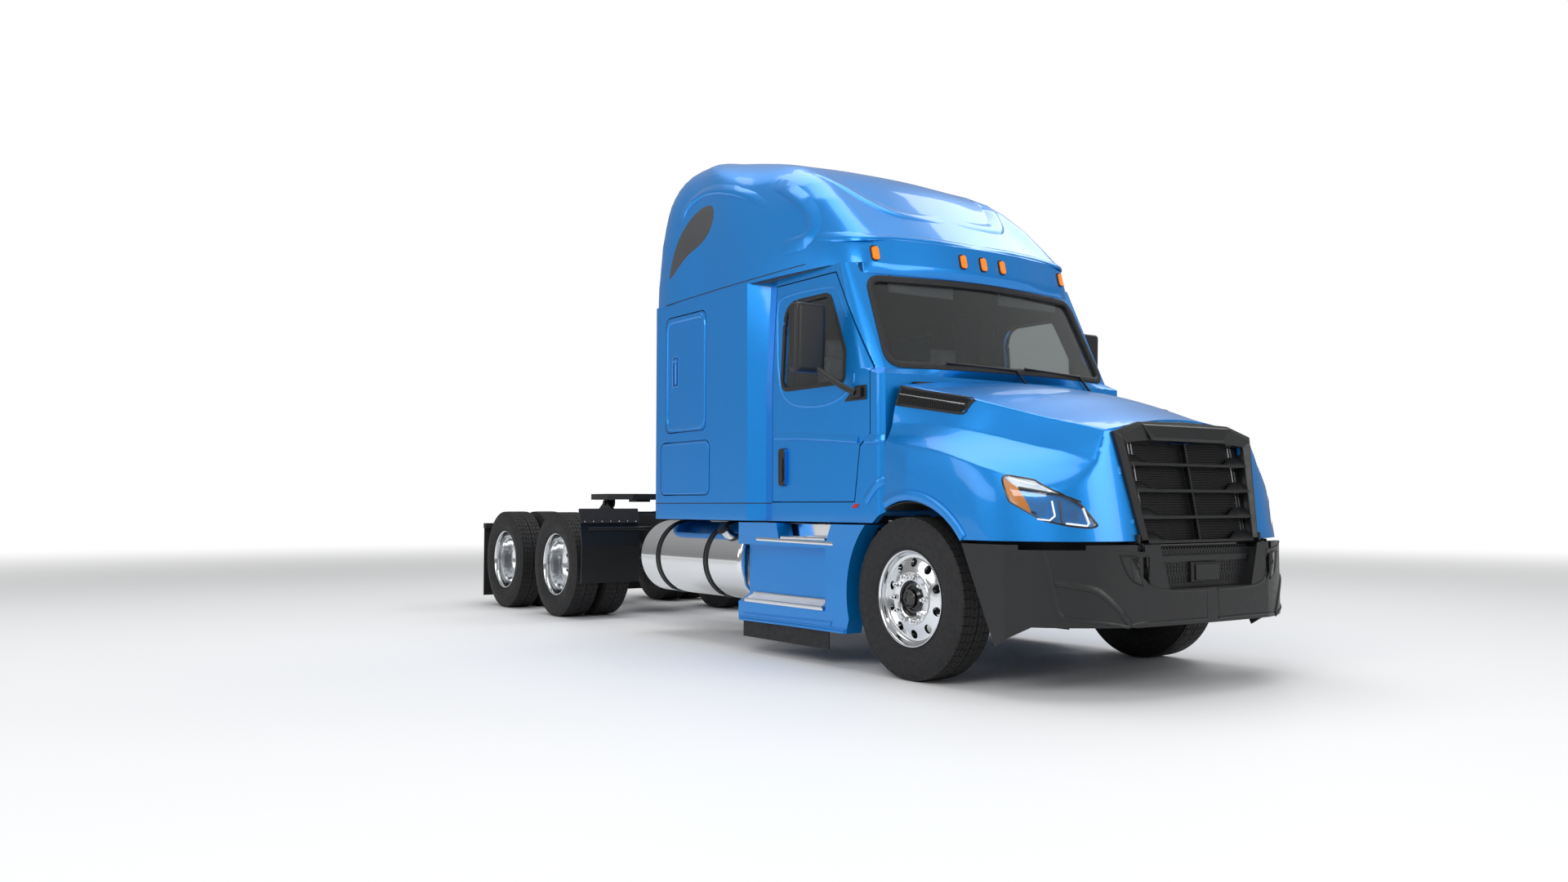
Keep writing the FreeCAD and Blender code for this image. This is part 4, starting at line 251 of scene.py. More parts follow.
def revolve(bm, profile, segments, closed=True):
    # Turn (radius, along) points about the Y axis into bm
    rings = []
    turns = [2 * math.pi * i / segments for i in range(segments)]
    for r, y in profile:
        if r < 1e-6:
            rings.append([bm.verts.new((0, y, 0))] * segments)
        else:
            rings.append([bm.verts.new((r * math.sin(turn), y, r * math.cos(turn))) for turn in turns])
    count = len(rings) if closed else len(rings) - 1
    for a in range(count):
        low, high = rings[a], rings[(a + 1) % len(rings)]
        for i in range(segments):
            j = (i + 1) % segments
            corners = []
            for v in (low[i], low[j], high[j], high[i]):
                if v not in corners:
                    corners.append(v)
            if len(corners) > 2:
                bm.faces.new(corners)


def loftRings(bm, rings, closedRing=True, closed=False):
    # Faces between rings of points, and from the last ring to the first where the loft is closed
    made = [[bm.verts.new(p) for p in ring] for ring in rings]
    count = len(made[0])
    for low, high in zip(made, made[1:] + (made[:1] if closed else [])):
        for k in range(count if closedRing else count - 1):
            bm.faces.new((low[k], low[(k + 1) % count], high[(k + 1) % count], high[k]))
    return made


def capped(bm, rings, closed=False):
    # A loft with a face at both ends, unless it is closed
    made = loftRings(bm, rings, closed=closed)
    if not closed:
        bm.faces.new(made[0])
        bm.faces.new(made[-1])


def prism(bm, outline, depth, place=Matrix.Identity(4), chamfer=0.0):
    # A closed (x, y) outline as a block from z 0 up to depth, its top edge chamfered, moved by place
    levels = [(0.0, 0.0), (depth - chamfer, 0.0)] + ([(depth, chamfer)] if chamfer else [])
    mid = Vector([sum(values) / len(outline) for values in zip(*outline)])
    rings = []
    for z, shrink in levels:
        ring = []
        for x, y in outline:
            out = Vector((x, y)) - mid
            point = mid + out * (1 - min(shrink * 1.4 / max(out.length, 1e-9), 0.9))
            ring.append(place @ Vector((point.x, point.y, z)))
        rings.append(ring)
    capped(bm, rings)


def boxAt(bm, low, high, x=0.0):
    # A block between two corners, moved by x along X
    x0, y0, z0 = low
    x1, y1, z1 = high
    prism(bm, [(x0 + x, y0), (x1 + x, y0), (x1 + x, y1), (x0 + x, y1)], z1 - z0,
          Matrix.Translation((0, 0, z0)))


def boxMesh(low, high):
    bm = bmesh.new()
    boxAt(bm, low, high)
    return meshOf(bm)


def disc(bm, radius, low, high, corners, place=Matrix.Identity(4), top=1.0):
    # A short round bar along Z from low to high, its top radius a share of its foot's
    middle = place @ Matrix.Translation((0, 0, (low + high) / 2))
    bmesh.ops.create_cone(bm, cap_ends=True, segments=corners, radius1=radius, radius2=radius * top,
                          depth=high - low, matrix=middle)


def tube(bm, points, radius, corners=12):
    # A round bar through points, with capped ends
    points = [Vector(p) for p in points]
    turns = [2 * math.pi * k / corners for k in range(corners)]
    rings = []
    for i, point in enumerate(points):
        way = (points[min(i + 1, len(points) - 1)] - points[max(i - 1, 0)]).normalized()
        side = way.cross(Vector((0, 0, 1)))
        if side.length < 0.05:
            side = way.cross(Vector((0, 1, 0)))
        side.normalize()
        up = side.cross(way).normalized()
        rings.append([point + (side * math.cos(turn) + up * math.sin(turn)) * radius for turn in turns])
    capped(bm, rings)


def smoothPath(points, steps=8):
    # A Catmull-Rom line through points
    points = [Vector(p) for p in points]
    padded = [points[0] * 2 - points[1]] + points + [points[-1] * 2 - points[-2]]
    out = []
    for i in range(1, len(padded) - 2):
        a, b, c, d = padded[i - 1:i + 3]
        for k in range(steps):
            t = k / steps
            out.append(0.5 * ((2 * b) + (c - a) * t + (2 * a - 5 * b + 4 * c - d) * t * t
                              + (3 * b - a - 3 * c + d) * t ** 3))
    return out + [points[-1]]


def evaluated(obj):
    return bpy.data.meshes.new_from_object(obj.evaluated_get(bpy.context.evaluated_depsgraph_get()))


def cutBy(mesh, toolMesh, mode="DIFFERENCE", solver="EXACT"):
    # The mesh less the tool's volume
    host, tool = addObject("host", mesh), addObject("tool", toolMesh)
    step = host.modifiers.new("cut", "BOOLEAN")
    step.operation, step.object, step.solver = mode, tool, solver
    made = evaluated(host)
    for gone in (host, tool):
        bpy.data.objects.remove(gone)
    return made


def sharpened(mesh, degrees):
    bm = bmesh.new()
    bm.from_mesh(mesh)
    return meshOf(bm, degrees)


def newGroup(name, wanted=()):
    group = bpy.data.node_groups.new(name, "GeometryNodeTree")
    group.interface.new_socket("Geometry", in_out="OUTPUT", socket_type="NodeSocketGeometry")
    for word, kind in (("Geometry", "Geometry"),) + wanted:
        group.interface.new_socket(word, in_out="INPUT", socket_type="NodeSocket" + kind)
    return group, group.nodes.new("NodeGroupInput"), group.nodes.new("NodeGroupOutput")


def repeaterGroup(kind):
    # Copies of a shape round a ring, or over a grid of rows
    wanted = (("Shape", "Object"), ("Count", "Int"), ("Rows", "Int"), ("Reach", "Float"), ("Step", "Vector"),
              ("Row Step", "Vector"), ("Material", "Material"))
    group, start, end = newGroup(kind, wanted)
    given = start.outputs

    def add(word, inputs=None, **settings):
        return addNode(group, word, inputs, **settings).outputs[0]

    shape = addNode(group, "GeometryNodeObjectInfo", {"Object": given["Shape"]}).outputs["Geometry"]
    if kind == "ringRepeater":
        points = add("GeometryNodeMeshCircle", {"Vertices": given["Count"], "Radius": given["Reach"]})
        turn = add("ShaderNodeMath", {0: add("GeometryNodeInputIndex"), 1: 2 * math.pi}, operation="MULTIPLY")
        turn = add("ShaderNodeMath", {0: turn, 1: given["Count"]}, operation="DIVIDE")
        rotation = add("ShaderNodeCombineXYZ", {"Z": turn})
        copies = add("GeometryNodeInstanceOnPoints", {"Points": points, "Instance": shape,
                                                      "Rotation": rotation})
    else:
        line = add("GeometryNodeMeshLine", {"Count": given["Count"], "Offset": given["Step"]})
        row = add("GeometryNodeInstanceOnPoints", {"Points": line, "Instance": shape})
        rows = add("GeometryNodeMeshLine", {"Count": given["Rows"], "Offset": given["Row Step"]})
        copies = add("GeometryNodeInstanceOnPoints", {
            "Points": rows, "Instance": add("GeometryNodeRealizeInstances", {"Geometry": row})})
    real = add("GeometryNodeRealizeInstances", {"Geometry": copies})
    coloured = add("GeometryNodeSetMaterial", {"Geometry": real, "Material": given["Material"]})
    group.links.new(coloured, end.inputs[0])
    return group


ringRepeater = repeaterGroup("ringRepeater")
rowRepeater = repeaterGroup("rowRepeater")


def repeated(group, shapeMesh, material, place=Matrix.Identity(4), **inputs):
    # The mesh that a repeater makes of a shape, moved by place
    shape = addObject("shape", shapeMesh)
    host = addObject("host", bpy.data.meshes.new("host"))
    step = host.modifiers.new("repeat", "NODES")
    step.node_group = group
    named = {item.name: item.identifier for item in group.interface.items_tree if item.in_out == "INPUT"}
    step[named["Shape"]] = shape
    step[named["Material"]] = material
    for name, value in inputs.items():
        step[named[name.replace("_", " ")]] = value
    made = evaluated(host)
    for gone in (host, shape):
        bpy.data.objects.remove(gone)
    made.transform(place)
    made.materials.clear()
    made.materials.append(material)
    made.polygons.foreach_set("material_index", [0] * len(made.polygons))
    return made


def mergedMesh(meshes):
    bm = bmesh.new()
    materials = []
    for mesh in meshes:
        start = len(bm.faces)
        bm.from_mesh(mesh)
        bm.faces.ensure_lookup_table()
        for material in mesh.materials:
            if material not in materials:
                materials.append(material)
        if mesh.materials:
            spot = materials.index(mesh.materials[0])
            for face in bm.faces[start:]:
                face.material_index = spot
    made = bpy.data.meshes.new("piece")
    bm.to_mesh(made)
    bm.free()
    for material in materials:
        made.materials.append(material)
    return made


print("frame and materials done")


# Light, floor and the photo's camera

# Each lamp: its name, place, size, power and the point it faces
studioLamps = (
    ("key", (9, -13, 9), (9, 6), 900, (0, 0, 1.6)), ("front", (15, 2, 6), (7, 5), 450, (3, 0, 1.5)),
    ("fill", (-4, -14, 5), (9, 4), 260, (-2, 0, 1.2)), ("top", (0, 0, 12), (12, 8), 700, (0, 0, 0)),
    ("far", (-1, 11, 12), (8, 5), 350, (0, 0, 1.5)))


def setStage():
    scene = bpy.context.scene
    scene.view_settings.view_transform = "Standard"
    world = bpy.data.worlds.new("studio")
    scene.world = world
    world.use_nodes = True
    tree = world.node_tree
    tree.nodes.clear()
    place = addNode(tree, "ShaderNodeTexCoord").outputs["Generated"]
    height = addNode(tree, "ShaderNodeSeparateXYZ", {"Vector": place}).outputs[2]
    ramp = addNode(tree, "ShaderNodeMapRange", {"Value": height, "From Min": -0.1, "From Max": 0.9,
                                                "To Min": 0.45, "To Max": 1.0}).outputs[0]
    soft = addNode(tree, "ShaderNodeBackground", {"Color": ramp, "Strength": 0.48})
    white = addNode(tree, "ShaderNodeBackground", {"Color": (1, 1, 1, 1), "Strength": 1.0})
    path = addNode(tree, "ShaderNodeLightPath")
    mix = addNode(tree, "ShaderNodeMixShader", {0: path.outputs["Is Camera Ray"], 1: soft.outputs[0],
                                                2: white.outputs[0]})
    out = addNode(tree, "ShaderNodeOutputWorld")
    tree.links.new(mix.outputs[0], out.inputs[0])
    for name, spot, size, power, aim in studioLamps:
        data = bpy.data.lights.new(name, "AREA")
        data.shape, data.size, data.size_y, data.energy = "RECTANGLE", *size, power
        lamp = bpy.data.objects.new(name, data)
        bpy.context.scene.collection.objects.link(lamp)
        lamp.location = spot
        lamp.rotation_euler = (Vector(aim) - Vector(spot)).to_track_quat("-Z", "Y").to_euler()
    bpy.ops.mesh.primitive_plane_add(size=160)
    floor = bpy.context.object
    floor.name = "floor"
    material, tree, shader, place = newMaterial("pale studio floor")
    setInputs(shader, {"Base Color": srgb("#F2F3F4"), "Roughness": 0.55})
    distance = addNode(tree, "ShaderNodeVectorMath", {0: place}, operation="LENGTH").outputs["Value"]
    far = addNode(tree, "ShaderNodeMapRange", {"Value": distance, "From Min": 9.0, "From Max": 26.0,
                                               "To Min": 0.0, "To Max": 1.0},
                  interpolation_type="SMOOTHSTEP").outputs[0]
    glow = addNode(tree, "ShaderNodeEmission", {"Color": (1, 1, 1, 1), "Strength": 1.0})
    mix = addNode(tree, "ShaderNodeMixShader", {0: far, 1: shader.outputs[0], 2: glow.outputs[0]})
    tree.links.new(mix.outputs[0], tree.nodes["Material Output"].inputs["Surface"])
    floor.data.materials.append(material)


def setCamera():
    data = bpy.data.cameras.new("camera")
    data.sensor_width, data.lens = 36.0, 36.0 * view["lens"] / 1920
    camera = bpy.data.objects.new("camera", data)
    bpy.context.scene.collection.objects.link(camera)
    camera.location = view["place"]
    camera.rotation_euler = photoRay(*view["middle"]).to_track_quat("-Z", "Y").to_euler()
    data.clip_start, data.clip_end = 0.1, 300
    bpy.context.scene.camera = camera


# Tyres: a carcass with moulded rings, and blocks of tread on it

tyre = {"ground": 0.5085, "grooveFloor": 0.4945, "blocksRound": 60, "segments": 96, "gap": 0.0022,
        "sunk": 0.003, "shoulder": 0.1, "shoulderDrop": 0.002, "chamfer": 0.0012}
tyreProfile = [
    (0.2870, 0.104), (0.2905, 0.1065), (0.3040, 0.1072), (0.3120, 0.1110), (0.3200, 0.1190),
    (0.3235, 0.1235), (0.3260, 0.1240), (0.3290, 0.1250), (0.3450, 0.1325), (0.3700, 0.1390),
    (0.3950, 0.1412), (0.4120, 0.1405), (0.4150, 0.1412), (0.4180, 0.1400), (0.4400, 0.1360),
    (0.4560, 0.1310), (0.4585, 0.1312), (0.4610, 0.1290), (0.4780, 0.1240), (0.4880, 0.1215),
    (0.4930, 0.1170), (0.4940, 0.0990), (0.4945, 0.0)]
# Each column of tread blocks: its near and far edge across, and how far the edges lean along
treadColumns = [((0.0980, 0.1185), 0.0, 0.0), ((0.0700, 0.0945), 0.0, 0.0), ((0.0385, 0.0655), 0.010, -0.006),
                ((0.0040, 0.0350), -0.006, 0.012)]


def treadShape():
    # One pitch of tread blocks, across the whole tread
    bm = bmesh.new()
    reach = math.pi * tyre["ground"] / tyre["blocksRound"] - tyre["gap"]
    turned = Matrix(((0, 0, 1, -tyre["sunk"]), (1, 0, 0, 0), (0, 1, 0, 0), (0, 0, 0, 1)))
    for side in (-1, 1):
        for (near, far), leanNear, leanFar in treadColumns:
            outline = [(-reach + leanNear, side * near), (reach + leanNear, side * near),
                       (reach + leanFar, side * far), (-reach + leanFar, side * far)]
            drop = tyre["shoulderDrop"] if far > tyre["shoulder"] else 0.0
            rise = tyre["ground"] - tyre["grooveFloor"] + tyre["sunk"] - drop
            prism(bm, outline, rise, turned, chamfer=tyre["chamfer"])
    return meshOf(bm)


def tyreMesh(middles, spot):
    # The tyres of one node, at these places along the axle
    made = []
    upright = Matrix.Rotation(math.radians(-90), 4, "X")
    for y in middles:
        bm = bmesh.new()
        profile = tyreProfile + [(r, -across) for r, across in reversed(tyreProfile[:-1])]
        revolve(bm, profile, tyre["segments"])
        carcass = meshOf(bm, 35)
        carcass.materials.append(tyreRubber)
        place = Matrix.Translation((spot[0], y, spot[2]))
        carcass.transform(place)
        tread = repeated(ringRepeater, treadShape(), tyreRubber, place @ upright, Count=tyre["blocksRound"],
                         Reach=tyre["grooveFloor"])
        made += [carcass, tread]
    return mergedMesh(made)


# Wheels: polished discs with hand holes, a dark hub and stepped nuts

wheel = {"holes": 10, "holeCircle": 0.2235, "holeRadius": 0.0285, "nutCircle": 0.1428, "segments": 96,
         "frontHoles": (0.02, 0.15), "rearHoles": (-0.2, -0.04), "frontNuts": 0.0990, "rearNuts": 0.0245,
         "height": 0.510, "front": 1.060, "hub": 0.908, "outer": 1.073, "inner": 0.743}
# Along X: 5.345 behind the front axle, and 1.326 further
driveAxles = {"drive1": -2.355, "drive2": -3.681}
# The hub's bolts: their plane, count, circle and scale
hubBolts = (0.1170, 8, 0.068, 0.42)
# Each step of a nut: radius, from, to and corners
nutSteps = ((0.0215, 0.0, 0.006, 20), (0.0170, 0.005, 0.028, 6), (0.0105, 0.026, 0.046, 14),
            (0.0130, 0.026, 0.031, 14))
frontRimProfile = [
    (0.3030, 0.1120), (0.3015, 0.1155), (0.2975, 0.1160), (0.2925, 0.1135), (0.2885, 0.1070),
    (0.2850, 0.0960), (0.2830, 0.0860), (0.2800, 0.0760), (0.2740, 0.0690), (0.2620, 0.0660),
    (0.2450, 0.0680), (0.2200, 0.0745), (0.1980, 0.0815), (0.1800, 0.0855), (0.1680, 0.0870),
    (0.1650, 0.0880), (0.1640, 0.0965), (0.1615, 0.0990), (0.1150, 0.0990), (0.1125, 0.0975),
    (0.1115, 0.0940), (0.1115, 0.0700), (0.1650, 0.0700), (0.2000, 0.0600), (0.2450, 0.0460),
    (0.2680, 0.0440), (0.2765, 0.0400), (0.2775, 0.0200), (0.2750, -0.0200), (0.2720, -0.0600),
    (0.2760, -0.1000), (0.2850, -0.1100), (0.2950, -0.1160), (0.3030, -0.1130), (0.3025, -0.1075),
    (0.2930, -0.1065), (0.2862, -0.1000), (0.2862, 0.1000), (0.2930, 0.1065), (0.3025, 0.1075)]
rearRimProfile = [
    (0.3030, 0.1120), (0.3015, 0.1155), (0.2975, 0.1160), (0.2925, 0.1135), (0.2885, 0.1070),
    (0.2830, 0.0900), (0.2785, 0.0600), (0.2770, 0.0000), (0.2770, -0.0500), (0.2745, -0.0780),
    (0.2620, -0.0980), (0.2400, -0.1120), (0.2150, -0.1220), (0.1900, -0.1310), (0.1720, -0.1370),
    (0.1660, -0.1385), (0.1640, -0.1405), (0.1125, -0.1405), (0.1112, -0.1420), (0.1112, -0.1635),
    (0.1680, -0.1635), (0.2050, -0.1470), (0.2500, -0.1280), (0.2700, -0.1200), (0.2850, -0.1130),
    (0.3000, -0.1160), (0.3030, -0.1130), (0.3025, -0.1075), (0.2930, -0.1065), (0.2862, -0.1000),
    (0.2862, 0.1000), (0.2930, 0.1065), (0.3025, 0.1075)]
frontHubProfile = [
    (0.0, 0.1120), (0.0260, 0.1120), (0.0280, 0.1100), (0.0400, 0.1095), (0.0440, 0.1170), (0.0540, 0.1180),
    (0.0570, 0.1150), (0.0600, 0.0950), (0.0780, 0.0820), (0.0940, 0.0820), (0.1000, 0.0960),
    (0.1060, 0.1010), (0.1100, 0.1000), (0.1113, 0.0970), (0.1113, 0.0500), (0.0, 0.0500)]
rearHubProfile = [
    (0.0, 0.1140), (0.0300, 0.1150), (0.0350, 0.1175), (0.0860, 0.1175), (0.0900, 0.1150), (0.0915, 0.1000),
    (0.0940, 0.0600), (0.1020, 0.0500), (0.1080, 0.0400), (0.1100, 0.0300), (0.1108, 0.0), (0.1000, -0.0400),
    (0.0, -0.0400)]


def rimMesh(profile, holeSpan):
    bm = bmesh.new()
    revolve(bm, profile, wheel["segments"])
    rim = meshOf(bm)
    holes = bmesh.new()
    low, high = holeSpan
    for k in range(wheel["holes"]):
        angle = 2 * math.pi * (k + 0.5) / wheel["holes"]
        spot = Matrix.Translation((wheel["holeCircle"] * math.cos(angle), (low + high) / 2,
                                   wheel["holeCircle"] * math.sin(angle)))
        disc(holes, wheel["holeRadius"], (low - high) / 2, (high - low) / 2, 28,
             spot @ Matrix.Rotation(math.radians(90), 4, "X"))
    cut = sharpened(cutBy(rim, meshOf(holes)), 32)
    cut.materials.clear()
    cut.materials.append(polished)
    return cut


def nutShape():
    # A flanged hexagon nut with its stud, standing along Z
    bm = bmesh.new()
    for radius, low, high, corners in nutSteps:
        disc(bm, radius, low, high, corners, top=1.0 if corners == 6 else 0.94)
    return meshOf(bm, 30)


def nutRing(face, count=10, circle=None, scale=1.0):
    # Nuts round the wheel's bolt circle, their feet on the plane y = face
    shape = nutShape()
    shape.transform(Matrix.Scale(scale, 4))
    upright = Matrix.Translation((0, face, 0)) @ Matrix.Rotation(math.radians(-90), 4, "X")
    return repeated(ringRepeater, shape, chrome, upright, Count=count, Reach=circle or wheel["nutCircle"])


def hubMesh(profile, material):
    bm = bmesh.new()
    revolve(bm, profile, 64, closed=False)
    mesh = meshOf(bm, 30)
    mesh.materials.append(material)
    return mesh


def copied(source, place):
    mesh = source.copy()
    mesh.transform(place)
    return mesh


def makeWheels():
    frontRim = mergedMesh([rimMesh(frontRimProfile, wheel["frontHoles"])])
    rearRim = rimMesh(rearRimProfile, wheel["rearHoles"])
    frontParts = {"rim": frontRim, "hub": hubMesh(frontHubProfile, glossBlack),
                  "nuts": nutRing(wheel["frontNuts"])}
    rearParts = {"hub": hubMesh(rearHubProfile, castAlloy), "nuts": nutRing(wheel["rearNuts"]),
                 "hubBolts": nutRing(*hubBolts)}
    inner = copied(rearRim, Matrix.Scale(-1, 4, (0, 1, 0)))
    inner.flip_normals()
    z = wheel["height"]
    for side, word in sides:
        turned = Matrix.Identity(4) if side > 0 else Matrix.Rotation(math.pi, 4, "Z")
        spot = (datum, side * wheel["front"], z)
        body = "wheel_front_" + word
        for name, source in frontParts.items():
            mesh = copied(source, Matrix.Translation(spot) @ turned)
            replaced = ["rim_front_" + word] if name == "rim" else ()
            placed(addObject("front_%s_%s" % (name, word), mesh), polished, body, replaced=replaced)
        placed(addObject("front_tyre_" + word, tyreMesh([spot[1]], spot)), tyreRubber, body,
               replaced=["tyre_front_" + word])
        near, far = side * wheel["outer"], side * wheel["inner"]
        for axle, x in driveAxles.items():
            body = "wheels_%s_%s" % (axle, word)
            spot = (x, side * wheel["hub"], z)
            rims = mergedMesh([copied(rim, Matrix.Translation((x, y, z)) @ turned)
                               for rim, y in ((rearRim, near), (inner, far))])
            placed(addObject("%s_rims_%s" % (axle, word), rims), polished, body,
                   replaced=["rims_%s_%s" % (axle, word)])
            for name, source in rearParts.items():
                mesh = copied(source, Matrix.Translation(spot) @ turned)
                placed(addObject("%s_%s_%s" % (axle, name, word), mesh), polished, body)
            placed(addObject("%s_tyres_%s" % (axle, word), tyreMesh([near, far], spot)), tyreRubber, body,
                   replaced=["tyres_%s_%s" % (axle, word)])
    print("wheels done")


makeWheels()


# Trim laid on the CAD pieces' own surfaces

def surfaceOf(*names):
    bm = bmesh.new()
    for name in names:
        bm.from_mesh(nodes[name].data)
    return BVHTree.FromBMesh(bm)


def seenFrom(tree, point, way):
    # The first surface point and its normal along a way, from a point outside
    hit = tree.ray_cast(Vector(point), Vector(way))
    if hit[0] is None:
        return None
    normal = hit[1]
    if normal.dot(Vector(way)) > 0:
        normal = -normal
    return hit[0], normal


def sideHits(tree, path, side):
    # (x, z) points in the datum's frame as places and normals on one side's surface
    found = [seenFrom(tree, (spot[0] + datum, side * 2.2, spot[1]), (0, -side, 0)) for spot in path]
    return [hit for hit in found if hit]


def frontHits(tree, path):
    found = [seenFrom(tree, (6.0, y, z), (-1, 0, 0)) for y, z in path]
    return [hit for hit in found if hit]


def facing(hits, side):
    # The order of hits that keeps a strip's outer face out on either side
    return hits if side < 0 else hits[::-1]


def resampled(points, step, closed):
    # The same line at even steps
    loop = [Vector(p) for p in points]
    if closed:
        loop.append(loop[0])
    out = []
    for a, b in zip(loop, loop[1:]):
        count = max(1, int((b - a).length / step))
        out += [a.lerp(b, k / count) for k in range(count)]
    if not closed:
        out.append(loop[-1])
    return out


def roundedLoop(points, radius, steps=6):
    # A closed outline with rounded corners; radius is one length, or one for each corner
    out = []
    count = len(points)
    for i, point in enumerate(points):
        here = Vector(point)
        before, after = Vector(points[i - 1]) - here, Vector(points[(i + 1) % count]) - here
        r = radius[i] if hasattr(radius, "__len__") else radius
        half = before.angle(after) / 2
        cut = min(r / math.tan(half), before.length * 0.48, after.length * 0.48)
        a, b = here + before.normalized() * cut, here + after.normalized() * cut
        for k in range(steps + 1):
            t = k / steps
            out.append(a * (1 - t) ** 2 + here * 2 * t * (1 - t) + b * t * t)
    return out


def rectangle(low, high, radius):
    return roundedLoop([low, (high[0], low[1]), high, (low[0], high[1])], radius)


def ribbon(bm, hits, section, closed, fade=0):
    # A strip with an (across, out) section along surface points, sinking away over fade points at its ends
    count = len(hits)
    rings = []
    for i, (point, normal) in enumerate(hits):
        before = hits[(i - 1) % count][0] if closed or i else point
        after = hits[(i + 1) % count][0] if closed or i < count - 1 else point
        way = (after - before).normalized()
        across = way.cross(normal).normalized()
        out = across.cross(way).normalized()
        share = min(1.0, i / fade, (count - 1 - i) / fade) if fade else 1.0
        rings.append([point + across * a + out * (o * share if o > 0 else o) for a, o in section])
    capped(bm, rings, closed)


def flatSection(width, height, bevel=0.3, sink=0.002):
    w, b = width / 2, width * bevel
    return [(-w, -sink), (w, -sink), (w, height * 0.4), (w - b, height), (b - w, height), (-w, height * 0.4)]


def stepSection(width, height):
    # A pressed edge: a slow rise, then a quick fall
    return [(-width * 0.65, -0.004), (-width * 0.42, height * 0.30), (-width * 0.12, height * 0.85),
            (width * 0.06, height), (width * 0.20, height * 0.70), (width * 0.35, -0.004)]


def finSection(foot, tip, low, high):
    return [(-foot, low), (foot, low), (tip, high), (-tip, high)]


def trimPiece(name, hitLists, section, closed, material, body, angle=40, fade=0):
    bm = bmesh.new()
    for hits in hitLists:
        if len(hits) > 2:
            ribbon(bm, hits, section, closed, fade)
    return piece(name, bm, material, body, angle)


def sideTrim(name, tree, path, side, section, closed, material, body, angle=40):
    return trimPiece(name, [facing(sideHits(tree, path, side), side)], section, closed, material, body, angle)


def bothSides(name, treeNames, path, section, material, bodies):
    # The same closed trim on the truck's right and left sides, on each side's own body
    for side, word in sides:
        tree = surfaceOf(*[node.replace("side", word) for node in treeNames])
        sideTrim(name + "_" + word, tree, resampled(path, 0.012, True), side, section, True, material,
                 bodies.replace("side", word))


def mirrored(hits):
    flip = Vector((1, -1, 1))
    return [(p * flip, n * flip) for p, n in reversed(hits)]


def mirroredTrim(name, hitLists, section, closed, material, bodies, angle=40, fade=0):
    # Trim along the right side's hits, and its mirror image on the left
    for side, word in sides:
        lines = hitLists if side < 0 else [mirrored(line) for line in hitLists]
        trimPiece(name + "_" + word, lines, section, closed, material, bodies.replace("side", word), angle,
                  fade)


# The grille: a bevelled surround, four winged blades, slanted centre bars and a fine screen

grille = {"foot": (1.298 + datum, 0.892), "lean": math.radians(10.2), "low": 0.538, "high": 0.632,
          "shoulder": 0.638, "flat": 0.42, "top": 0.700, "lips": (0.447, 0.290, 0.133, -0.010),
          "lipHeight": 0.017, "wing": 0.056, "wingFlat": 0.105, "wingEnd": 0.20, "edge": 0.050,
          "screen": -0.062, "wall": -0.072, "bar": 0.0085, "bevel": 0.003,
          "rails": (-0.478, -0.452, 0.452, 0.478)}
# The raised middle of the top band, then how it narrows to its front
grilleBand = [(-0.405, 0.686), (0.405, 0.686), (0.335, 0.585), (-0.335, 0.585)]
bandFront = {"middle": 0.635, "wide": 0.97, "tall": 0.72, "foot": 0.010, "face": 0.024}
# Ribs and wires of the screen: half sizes, count and pitch
screenRib = {"half": (0.0025, 0.585, 0.0022), "count": 56, "pitch": 0.0104}
screenWire = {"half": (0.0015, 0.0012), "tall": 0.58, "count": 96, "pitch": 0.012, "first": -0.57}


def grillePoint(a, h, d):
    lean = grille["lean"]
    return Vector((grille["foot"][0] - math.sin(lean) * h + math.cos(lean) * d, a,
                   grille["foot"][1] + math.cos(lean) * h + math.sin(lean) * d))


def grilleEdge(h):
    # Half the surround's width at a height
    return grille["low"] + (grille["high"] - grille["low"]) * min(h, grille["shoulder"]) / grille["shoulder"]


def wholeLine(half, top):
    return [(-a, h) for a, h in half] + [(0.0, top)] + half[::-1]


def bladeRings(lip):
    # Cross sections of one blade, from its left wing to its right wing
    g = grille
    reach = grilleEdge(max(lip, 0.0)) - g["edge"]
    half = [(reach, 1.0), (reach - g["wingFlat"], 0.94), (reach - g["wingEnd"], 0.0)]
    low, high = lip - g["lipHeight"] / 2, lip + g["lipHeight"] / 2
    rings = []
    for a, share in [(-a, share) for a, share in half] + half[::-1]:
        back = -0.052 if share else -0.030
        rings.append([grillePoint(a, low, -0.002), grillePoint(a, high, 0.0),
                      grillePoint(a, high + g["wing"] * share + 0.006, back),
                      grillePoint(a, low + 0.004, back - 0.008)])
    return rings


